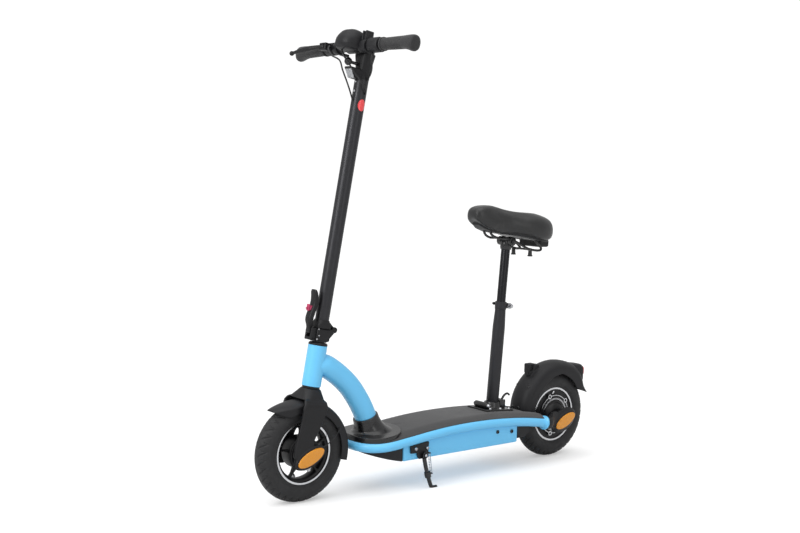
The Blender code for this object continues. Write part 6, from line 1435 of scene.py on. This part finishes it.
dressed("saddle_rails", "saddle", GLOSS_BLACK, rail_shapes)


def base_surface(grow, lift):
    def at(u, v):
        x = -0.125 - grow + (0.244 + 2 * grow) * u
        half, _, skirt = saddle_at(x)
        y = (half - SADDLE_LIP + grow) * (1 - 2 * v) * (1 - 0.25 * (2 * u - 1) ** 8)
        return Vector((x, y, skirt + lift))

    return at


base = slab(40, 16, base_surface(0, 0.0005), base_surface(0, 0.0095), TILT_AT, 0.0008)
tail_block = block((-0.13, -0.043, -0.0175), (-0.09, 0.043, 0.006), 0.006, TILT_AT)
base = cast([base, tail_block], 0.0016, 5)
dressed("saddle_base", "saddle", MOULDED_ABS, [base], crisp=60)


def saddle_point(u, v):
    """The saddle's cage: eleven stations from nose to tail, twelve points round each."""
    x, half, top, skirt = SADDLE[round(u * 10)]
    tall = top - skirt
    ring = [(0.0, top - 0.001), (0.55, top + 0.001), (0.98, top - tall * 0.12), (1.09, skirt + tall * 0.4)]
    ring += [(0.96, skirt - 0.0015), (0.55, skirt + 0.0035), (0.0, skirt + 0.004)]
    step = round(v * 12) % 12
    share, height = ring[step if step <= 6 else 12 - step]
    return Vector((x, math.copysign(share * half, 6 - step) if step % 6 else 0.0, height))


def upholstered(pad):
    """Blows the cover up a little over its foam, as cloth does, up to the cap, and smooths it."""
    scene.view_layers[0].update()
    rounded = pad.modifiers.new("rounded", "SUBSURF")
    rounded.levels = rounded.render_levels = 4
    drawn_in = pad.modifiers.new("drawn_in", "DISPLACE")
    drawn_in.strength = -PAD_SWELL
    drawn_in.mid_level = 0
    meshed = pad.modifiers.new("meshed", "REMESH")
    meshed.mode = "VOXEL"
    meshed.voxel_size = 0.0042
    baked(pad)
    rest = [vert.co.copy() for vert in pad.data.vertices]
    cover = pad.modifiers.new("cover", "CLOTH")
    cover.settings.quality = 6
    cover.settings.mass = 0.3
    cover.settings.tension_stiffness = cover.settings.compression_stiffness = 20
    cover.settings.shear_stiffness = 10
    cover.settings.bending_stiffness = 0.6
    cover.settings.use_pressure = True
    cover.settings.uniform_pressure_force = 4
    cover.settings.effector_weights.gravity = 0
    cover.point_cache.frame_start, cover.point_cache.frame_end = 1, CLOTH_STEPS
    for step in range(1, CLOTH_STEPS + 1):
        scene.frame_set(step)
    baked(pad)
    scene.frame_set(1)
    for vert, start in zip(pad.data.vertices, rest):
        moved = vert.co - start
        if moved.length > PAD_CAP:
            moved *= PAD_CAP / moved.length
        vert.co = start + moved
    evened = pad.modifiers.new("evened", "SMOOTH")
    evened.factor = 0.5
    evened.iterations = 8
    finer = pad.modifiers.new("finer", "SUBSURF")
    finer.levels = finer.render_levels = 1
    baked(pad)
    pad.data.shade_smooth()


def baked(pad):
    """Leaves the object with its modifiers' result as its own mesh."""
    done = evaluated(pad)
    old = pad.data
    pad.modifiers.clear()
    pad.data = done
    bpy.data.meshes.remove(old)


saddle = piece(
    "dressed_saddle", "saddle", SADDLE_VINYL, [skin(saddle_point, 10, 12, TILT_AT)],
    stands_for=("saddle_cushion",), crisp=80)
upholstered(saddle)

# Folding joint: base with its lugs and latch box, the block above it, the latch lever and its red catch
KNUCKLE_AT = STEM @ shift(-KNUCKLE_BACK, 0, HINGE_SPLIT)
LATCH_AT = STEM @ shift(LATCH_FORWARD, 0, LATCH_HEIGHT)
hinge_low, hinge_high = HINGE_LOW + 0.002, HINGE_SPLIT - GAP
box_rear, box_front = HINGE_HALF - 0.006, HINGE_HALF + 0.015
hinge_shapes = [
    block((-HINGE_HALF, -HINGE_HALF, hinge_low), (HINGE_HALF, HINGE_HALF, hinge_high), 0.005, STEM, 4),
    rod((0, 0, HINGE_LOW), (0, 0, HINGE_LOW + 0.013), COLLAR_R, STEM, 64),
    block((box_rear, -0.014, hinge_low), (box_front, 0.014, HINGE_LOW + 0.0105), 0.0035, STEM),
    pin(-0.0205, 0.0205, HINGE_PIN_R, KNUCKLE_AT), pin(-0.013, 0.013, 0.0025, LATCH_AT)]
for side in (-1, 1):
    low, high = sorted((side * 0.0082, side * 0.014))
    hinge_shapes.append(block((box_rear, low, hinge_low), (box_front, high, hinge_high), 0.0018, STEM))
    hinge_shapes.append(pin(side * 0.01, side * 0.02, KNUCKLE_R, KNUCKLE_AT))
    gusset = [
        (-KNUCKLE_BACK, HINGE_SPLIT - 0.0073), (-HINGE_HALF + 0.004, HINGE_LOW + 0.008),
        (-HINGE_HALF + 0.004, hinge_high), (-KNUCKLE_BACK, hinge_high)]
    hinge_shapes.append(plate(gusset, 0.01, STEM @ shift(0, side * 0.015, 0) @ FACING_Y))
dressed("hinge_base", "steering", POWDER_BLACK, hinge_shapes)

HINGE_TOP = HINGE_SPLIT + HINGE_TOP_HEIGHT
top_rows = [
    (HINGE_SPLIT + GAP, 0, HINGE_HALF, HINGE_HALF, 6), (HINGE_SPLIT + 0.002, 0, HINGE_HALF, HINGE_HALF, 6),
    (HINGE_SPLIT + 0.01, 0, HINGE_HALF, HINGE_HALF, 6), (HINGE_SPLIT + 0.015, 0, 0.02, 0.02, 3),
    (HINGE_TOP, 0, 0.0192, 0.0192, 2)]
web = [
    (-KNUCKLE_BACK - 0.002, HINGE_SPLIT + 0.007), (-KNUCKLE_BACK, HINGE_SPLIT + 2 * GAP),
    (-HINGE_HALF + 0.004, HINGE_SPLIT + 2 * GAP), (-HINGE_HALF + 0.004, HINGE_TOP - 0.002)]
dressed("hinge_top", "stem", POWDER_BLACK, [
    oval_skin(top_rows, across_z, STEM, 20, 72), pin(-KNUCKLE_HALF, KNUCKLE_HALF, KNUCKLE_R, KNUCKLE_AT),
    plate(web, 2 * KNUCKLE_HALF, STEM @ FACING_Y)])
hinge_bolts = []
for x, z in ((0.0187, 0.0095), (0.015, -0.0065), (0.0195, -0.016)):
    hinge_bolts.append(bolt((x, HINGE_HALF, HINGE_SPLIT + z - 0.012), SIDEWAYS, 0.0021, 0.0012, STEM))
piece("hinge_bolts", "steering", ZINC_STEEL, hinge_bolts)

# The latch lever upwards from its pin: forward, sideways, up, and thickness
lever_line = [
    (0.0, 0, 0.0, 1.0), (0.0035, 0, 0.015, 1.15), (0.006, 0, 0.03, 1.2), (0.003, 0, 0.048, 1.25),
    (-0.001, 0, 0.066, 1.2), (0.0, 0, 0.084, 1.05), (0.0055, 0, 0.104, 0.7)]
lever_rows = []
for x, _, z, size in smooth(lever_line, 33):
    wide = 0.007 + 0.005 * min(1, max(0, (z - 0.012) / 0.012))
    tip = min(1, (0.1045 - z) / 0.006)
    lever_rows.append((z, x, 0.006 * size * (0.55 + 0.45 * tip), wide * (0.7 + 0.3 * tip), 3.5))
lever = oval_skin(lever_rows, across_z, LATCH_AT, sides=40, soft=False, ease=0.0006)
CATCH_AT = LATCH_AT @ shift(0.0085, 0, 0.056)
dressed("latch_lever", "fold_latch", POWDER_BLACK, [lever, pin(-0.0078, 0.0078, 0.0066, LATCH_AT)])
dressed("safety_catch", "fold_catch", RED_NYLON, [
    rod((-0.0015, -0.0056, 0), (-0.0015, 0.0056, 0), 0.0064, CATCH_AT, 32, ease=0.0006),
    block((0.0046, -0.0056, -0.0072), (0.0082, 0.0056, 0.0095), 0.0014, CATCH_AT),
    rod((0.005, 0, -0.003), (0.013, 0, -0.001), 0.0018, CATCH_AT, 20)])

# Stem tube, with the badge and two small screws on its front
stem_profile = [
    (STEM_R - STEM_WALL, BAR_HEIGHT + 0.006), (STEM_R, BAR_HEIGHT + 0.006), (STEM_R, HINGE_TOP + GAP),
    (STEM_R - STEM_WALL, HINGE_TOP + GAP)]
piece("dressed_stem", "stem", ANODISED_GREY, [turned(stem_profile, STEM, 128)], stands_for=("stem_tube",))


def on_badge(lift):
    def at(u, v):
        x, y = 2 * u - 1, 2 * v - 1
        across, along = x * math.sqrt(1 - y * y / 2), y * math.sqrt(1 - x * x / 2)
        turn = math.radians(90) + 0.58 * across
        reach = STEM_R + lift
        return Vector((reach * math.cos(turn), reach * math.sin(turn), 0.887 + 0.0148 * along))

    return at


badge = slab(24, 24, on_badge(-0.0004), on_badge(0.0008), STEM, 0.0003)
piece("stem_badge", "stem", RED_ENAMEL, [badge])
stem_screws = [bolt((STEM_R - 0.0002, 0, z), (1, 0, 0), 0.0034, 0.0018, STEM) for z in (0.9455, 0.9215)]
piece("stem_screws", "stem", ZINC_STEEL, stem_screws)
# The head under the bar: height from the bar, shift, half length, half width and squareness
HEAD_ROWS = (
    (-0.076, 0, STEM_R + 0.0002, STEM_R + 0.0002, 2), (-0.0745, 0, STEM_R + 0.0004, STEM_R + 0.0004, 2),
    (-0.056, 0, STEM_R + 0.001, 0.02, 2.1), (-0.036, 0.0005, 0.0196, 0.0232, 2.3),
    (-0.02, 0.001, 0.0202, 0.0268, 2.6), (-0.012, 0.001, 0.0202, 0.0286, 2.8),
    (-0.009, 0.001, 0.0188, 0.0274, 2.8))
head_rows = [(BAR_HEIGHT + height, *rest) for height, *rest in HEAD_ROWS]
bar_head = [
    oval_skin(head_rows, across_z, STEM, 30, 64, 0.001),
    rod((0, 0, BAR_HEIGHT - 0.028), (0, 0, BAR_HEIGHT + 0.011), HEAD_CLAMP_R, STEM, 64, ease=0.0015),
    pin(-0.02, 0.02, BAR_R + 0.0055, BAR, 56, ease=0.001),
    block((-BAR_FORWARD + 0.005, -0.015, -0.0125), (0, 0.015, 0.01), 0.003, BAR),
    pin(-BAR_HALF, BAR_HALF, BAR_R, BAR, 56)]
dressed("handlebar", "stem", POWDER_BLACK, bar_head)

# A grip outwards: distance from the middle, and reach upwards, downwards and to the front
grip_rows = [
    (GRIP_START, 0.0165, 0.0165, 0.0165), (GRIP_START + 0.0006, 0.017, 0.017, 0.017),
    (GRIP_START + 0.004, 0.017, 0.017, 0.017), (GRIP_START + 0.0048, GRIP_R, GRIP_R, GRIP_R)]
GRIP_RIB = ((0, 0.0007), (0.001, 0), (0.0034, 0), (0.0042, 0.0007))
for step in range(16):
    start = GRIP_START + 0.008 + step * 0.0046
    droop = 0.002 * step / 15
    for along, dip in GRIP_RIB:
        grip_rows.append((start + along, GRIP_R - dip, GRIP_R - dip + droop, GRIP_R - dip))
# The palm rest: distance along the grip, and how much it grows upwards, downwards and to the front
GRIP_PALM = (
    (0.085, 0, 0.002, 0), (0.095, 0.0003, 0.0036, 0.0005), (0.105, 0.0006, 0.0058, 0.001),
    (0.113, 0.0006, 0.0082, 0.0014), (0.118, 0.0004, 0.0095, 0.0015), (0.1225, 0, 0.0098, 0.0011),
    (0.126, -0.0012, 0.0088, 0), (0.1278, -0.0034, 0.0062, -0.0022), (0.1285, -0.006, 0.003, -0.005))
for along, up, down, fore in GRIP_PALM:
    grip_rows.append((GRIP_START + along, GRIP_R + up, GRIP_R + down, GRIP_R + fore))


def grip_oval(y, up, down, fore):
    return (0, y, (up - down) / 2), (fore, 0, 0), (0, 0, (up + down) / 2), 2.2


for label, side in SIDES:
    rows = [(side * y, *rest) for y, *rest in grip_rows]
    grip = oval_skin(rows, grip_oval, BAR, sides=48, soft=False, ease=0)
    dressed("grip_" + label, "stem", GRIP_RUBBER, [grip], crisp=50)

# Display pod over the bar's middle, its window towards the rider and its ribbed clamp
POD = STEM @ shift(BAR_FORWARD + 0.011, 0, BAR_HEIGHT + 0.008)
WINDOW = POD @ shift(-0.018, 0, 0.0165) @ Matrix.Rotation(math.radians(-42), 4, "Y")
# The pod upwards: height, shift, half length, half width and squareness
pod_rows = [
    (-0.0205, 0, 0.024, 0.029, 2.3), (-0.0175, 0, 0.033, 0.036, 2.3), (-0.011, 0, 0.0382, 0.0392, 2.3),
    (-0.004, 0, 0.0396, 0.04, 2.3), (0.01, -0.001, 0.038, 0.0385, 2.2),
    (0.026, -0.0015, 0.027, 0.0285, 2.1), (0.033, -0.002, 0.011, 0.012, 2)]
display = oval_skin(pod_rows, across_z, POD, 40, 72)
display = trimmed(display, WINDOW.translation, WINDOW.to_3x3() @ UP)
display_shapes = [
    display, pin(0.033, 0.062, BAR_R + 0.0055, BAR, 56, ease=0.001),
    block((-0.009, 0.039, 0.012), (0.009, 0.06, 0.03), 0.003, BAR)]
for place in (0.043, 0.056):
    low, high = (-0.012, place - 0.0028, 0.01), (0.012, place + 0.0028, 0.037)
    display_shapes.append(block(low, high, 0.0024, BAR))
dressed("display_housing", "stem", MOULDED_ABS, display_shapes)
glass = block((-0.018 + GAP, -0.024 + GAP, -0.002), (0.018 - GAP, 0.024 - GAP, 0.0006), 0.0004, WINDOW)
dressed("display_window", "stem", DISPLAY_GLASS, [glass])

# Headlamp with its ribbed lens, and the small round horn above it
LAMP = STEM @ shift(0, 0, BAR_HEIGHT - 0.063)
LAMP_FACE = STEM @ shift(0.0393, 0, BAR_HEIGHT - 0.0666) @ Matrix.Rotation(math.radians(123), 4, "Y")
lamp = block((0.01, -0.015, -0.014), (0.056, 0.015, 0.0115), 0.003, LAMP)
lamp = trimmed(lamp, LAMP_FACE.translation, LAMP_FACE.to_3x3() @ UP)
piece("dressed_headlamp", "stem", MOULDED_ABS, [lamp], stands_for=("headlamp_housing",))
lens = [block((-0.012, -0.013, GAP), (0.012, 0.013, 0.0018), 0.0006, LAMP_FACE)]
for place in np.linspace(-0.0105, 0.0105, 8):
    low, high = (-0.0115, place - 0.0009, 0.0014), (0.0115, place + 0.0009, 0.0026)
    lens.append(block(low, high, 0.0004, LAMP_FACE))
dressed("headlamp_lens", "stem", CLEAR_POLYCARBONATE, lens)
horn_height = BAR_HEIGHT - 0.0392
dressed("horn", "stem", GLOSS_BLACK, [
    ball((0.05, 0, horn_height), 0.01, STEM),
    rod((0.01, 0, horn_height), (0.046, 0, horn_height), 0.004, STEM),
    turned(
        [(0.0098, -0.001), (0.0104, -0.001), (0.0104, 0.001), (0.0098, 0.001)],
        STEM @ shift(0.05, 0, horn_height) @ Matrix.Rotation(math.pi / 2, 4, "Y"), 40)],
    slot="black_plastic")

# Brake lever in its perch, the thumb throttle beside it and the switch pod on the left
LEVER_AT = BAR @ shift(LEVER_FORWARD, PERCH_Y, 0)
perch_shapes = [
    pin(PERCH_Y - 0.0125, PERCH_Y + 0.0185, BAR_R + 0.0055, BAR, 56, ease=0.001),
    rod((0, 0, -0.008), (0, 0, 0.008), LEVER_PIN_R, LEVER_AT),
    block((0.008, PERCH_Y + 0.01, -0.0095), (LEVER_FORWARD + 0.006, PERCH_Y + 0.0175, 0.0095), 0.0025, BAR)]
for side in (-1, 1):
    low, high = sorted((side * 0.0046, side * 0.0095))
    start, end = (0.008, PERCH_Y - 0.0115, low), (LEVER_FORWARD + 0.006, PERCH_Y + 0.0175, high)
    perch_shapes.append(block(start, end, 0.0015, BAR))
dressed("brake_perch", "stem", POWDER_BLACK, perch_shapes)
# The lever's blade inwards: forward, sideways, up, half depth and half height
blade_rows = [
    (0.0, -0.002, 0, 0.004, 0.0042), (0.006, -0.02, -0.0015, 0.0044, 0.005),
    (0.015, -0.042, -0.006, 0.0048, 0.0062), (0.022, -0.07, -0.012, 0.0046, 0.0058),
    (0.0255, -0.098, -0.017, 0.0036, 0.004)]


def blade_oval(x, y, z, a, b):
    return (x, y, z), (a, 0, 0), (0, 0, b), 2.5


blade = oval_skin(blade_rows, blade_oval, LEVER_AT, 32, 28)
dressed("brake_lever", "hand_lever", POWDER_BLACK, [
    blade, rod((0, 0, -0.0043), (0, 0, 0.0043), 0.0068, LEVER_AT),
    ball((0.0258, -0.104, -0.018), 0.0064, LEVER_AT)])
throttle_low = (-0.033, THROTTLE_Y - 0.0075, -0.015)
throttle_high = (-0.008, THROTTLE_Y + 0.006, -0.008)
dressed("throttle", "thumb_throttle", MOULDED_ABS, [
    pin(THROTTLE_Y - 0.009, THROTTLE_Y + 0.009, BAR_R + 0.005, BAR, 56, ease=0.0012),
    block(throttle_low, throttle_high, 0.0022, BAR)])
switch_rows = [
    (SWITCH_Y - 0.02, 0, 0, 0.015, 0.015, 2.4),
    (SWITCH_Y - 0.018, -0.001, 0, SWITCH_R, SWITCH_R - 0.001, 2.6),
    (SWITCH_Y + 0.016, -0.001, 0, SWITCH_R, SWITCH_R - 0.001, 2.6),
    (SWITCH_Y + 0.02, 0, 0, 0.0155, 0.0155, 2.4)]
BUTTON_AT = BAR @ shift(-SWITCH_R - 0.001, SWITCH_Y, 0.002) @ Matrix.Rotation(-math.pi / 2, 4, "Y")
switch = oval_skin(switch_rows, across_y, BAR, sides=64, soft=False, ease=0.0015)
bezel = turned([(0.0058, -0.0015), (0.0074, -0.0015), (0.007, 0.0004), (0.006, 0.0004)], BUTTON_AT, 40)
dressed("switch_pod", "stem", MOULDED_ABS, [switch, bezel])
button = turned(
    [(0, 0.0014), (0.003, 0.0013), (0.0046, 0.0009), (0.0054, 0.0), (0.0054, -0.0027), (0, -0.0027)],
    BUTTON_AT, 40)
dressed("horn_button", "button", RED_NYLON, [button])


# Cables held by the stem and the bar, made whole along their routes
CABLE_R = 0.0021


def cable(node, route):
    """A lead along points whose height is given from the bar."""
    points = [(x, y, BAR_HEIGHT + height) for x, y, height in route]
    dressed(node, "stem", CABLE_PVC, [pipe(smooth(points, 72), CABLE_R, STEM, 14)])


cable("brake_cable", [
    (BAR_FORWARD + LEVER_FORWARD - 0.001, PERCH_Y + 0.0175, 0),
    (BAR_FORWARD + LEVER_FORWARD + 0.001, PERCH_Y + 0.029, -0.0005),
    (BAR_FORWARD + 0.042, -0.053, -0.012), (BAR_FORWARD + 0.044, -0.031, -0.03),
    (BAR_FORWARD + 0.0343, -0.006, -0.042), (BAR_FORWARD + 0.025, 0.001, -0.065),
    (0.043, 0.003, -0.095), (0.028, 0.003, -0.118), (0.015, 0.003, -0.14)])
cable("signal_cable", [
    (BAR_FORWARD + 0.03, -0.01, -0.012), (BAR_FORWARD + 0.031, 0.002, -0.028),
    (BAR_FORWARD + 0.02, 0.018, -0.049), (0.04, 0.0265, -0.07), (0.019, 0.03, -0.088),
    (0.002, 0.027, -0.103), (-0.006, 0.015, -0.113)])
cable("switch_cable", [
    (BAR_FORWARD, SWITCH_Y - 0.01, -SWITCH_R + 0.002),
    (BAR_FORWARD + 0.003, SWITCH_Y - 0.008, -SWITCH_R - 0.009),
    (BAR_FORWARD - 0.001, SWITCH_Y - 0.012, -0.04), (BAR_FORWARD - 0.016, SWITCH_Y - 0.026, -0.051),
    (BAR_FORWARD - 0.033, SWITCH_Y - 0.05, -0.06), (BAR_FORWARD - 0.04, SWITCH_Y - 0.066, -0.07),
    (-0.004, 0.01, -0.083)])

# Carried-over pieces keep their shape and take a finish
cover_node = frame["nodes"]["rear_cover"]
cover_node.data.materials.clear()
cover_node.data.materials.append(MOULDED_ABS)

# Floor and light
WHITE = (1.0, 1.0, 1.0, 1.0)
floor_mesh = bpy.data.meshes.new("floor")
floor_shape = bmesh.new()
bmesh.ops.create_grid(floor_shape, x_segments=1, y_segments=1, size=30.0)
floor_shape.to_mesh(floor_mesh)
floor_shape.free()
floor = bpy.data.objects.new("floor", floor_mesh)
scene.collection.objects.link(floor)
paper, paper_tree, paper_shader, paper_place = started("white_paper_floor")
mottled(paper_tree, paper_shader, paper_place, ("#D8D8D8", "#DCDCDC"), 0.6, (0.85, 0.95))
paper_shader.inputs["Specular IOR Level"].default_value = 0.0
paper_shader.inputs["Emission Color"].default_value = WHITE
paper_rays = add(paper_tree, "ShaderNodeLightPath")
lift = add(
    paper_tree, "ShaderNodeMath", {"operation": "MULTIPLY"},
    {0: paper_rays.outputs["Is Camera Ray"], 1: 0.34})
paper_tree.links.new(lift.outputs["Value"], paper_shader.inputs["Emission Strength"])
floor_mesh.materials.append(paper)

world = bpy.data.worlds.new("studio")
scene.world = world
world.use_nodes = True
sky = world.node_tree
lit = sky.nodes["Background"]
lit.inputs["Color"].default_value = WHITE
seen = add(sky, "ShaderNodeBackground", None, {"Color": WHITE, "Strength": 1.05})
heading = add(sky, "ShaderNodeTexCoord")
upright = add(sky, "ShaderNodeSeparateXYZ", None, {"Vector": heading.outputs["Generated"]})
wall = add(
    sky, "ShaderNodeMapRange", None,
    {"Value": upright.outputs["Z"], "From Min": 0.0, "From Max": 0.9, "To Min": 0.62, "To Max": 0.72})
sky.links.new(wall.outputs["Result"], lit.inputs["Strength"])
rays = add(sky, "ShaderNodeLightPath")
choose = add(
    sky, "ShaderNodeMixShader", None,
    {0: rays.outputs["Is Camera Ray"], 1: lit.outputs["Background"], 2: seen.outputs["Background"]})
sky.links.new(choose.outputs["Shader"], sky.nodes["World Output"].inputs["Surface"])


def softbox(name, place, aim, size, power):
    lamp_data = bpy.data.lights.new(name, "AREA")
    lamp_data.shape = "RECTANGLE"
    lamp_data.size, lamp_data.size_y = size
    lamp_data.energy = power
    made = bpy.data.objects.new(name, lamp_data)
    turn = (Vector(aim) - Vector(place)).to_track_quat("-Z", "Y").to_matrix().to_4x4()
    made.matrix_world = Matrix.Translation(place) @ turn
    scene.collection.objects.link(made)


softbox("key", (2.9, 0.2, 1.9), (0.2, 0, 0.5), (1.2, 1.6), 34)
softbox("fill", (0.2, 3.2, 1.5), (0, 0, 0.4), (0.8, 2.0), 8)
sun_data = bpy.data.lights.new("ceiling", "SUN")
sun_data.energy = 1.4
sun_data.angle = math.radians(70)
ceiling = bpy.data.objects.new("ceiling", sun_data)
ceiling.matrix_world = Vector((0.25, 0.15, 1.0)).to_track_quat("Z", "Y").to_matrix().to_4x4()
scene.collection.objects.link(ceiling)

scene.view_settings.view_transform = "Standard"
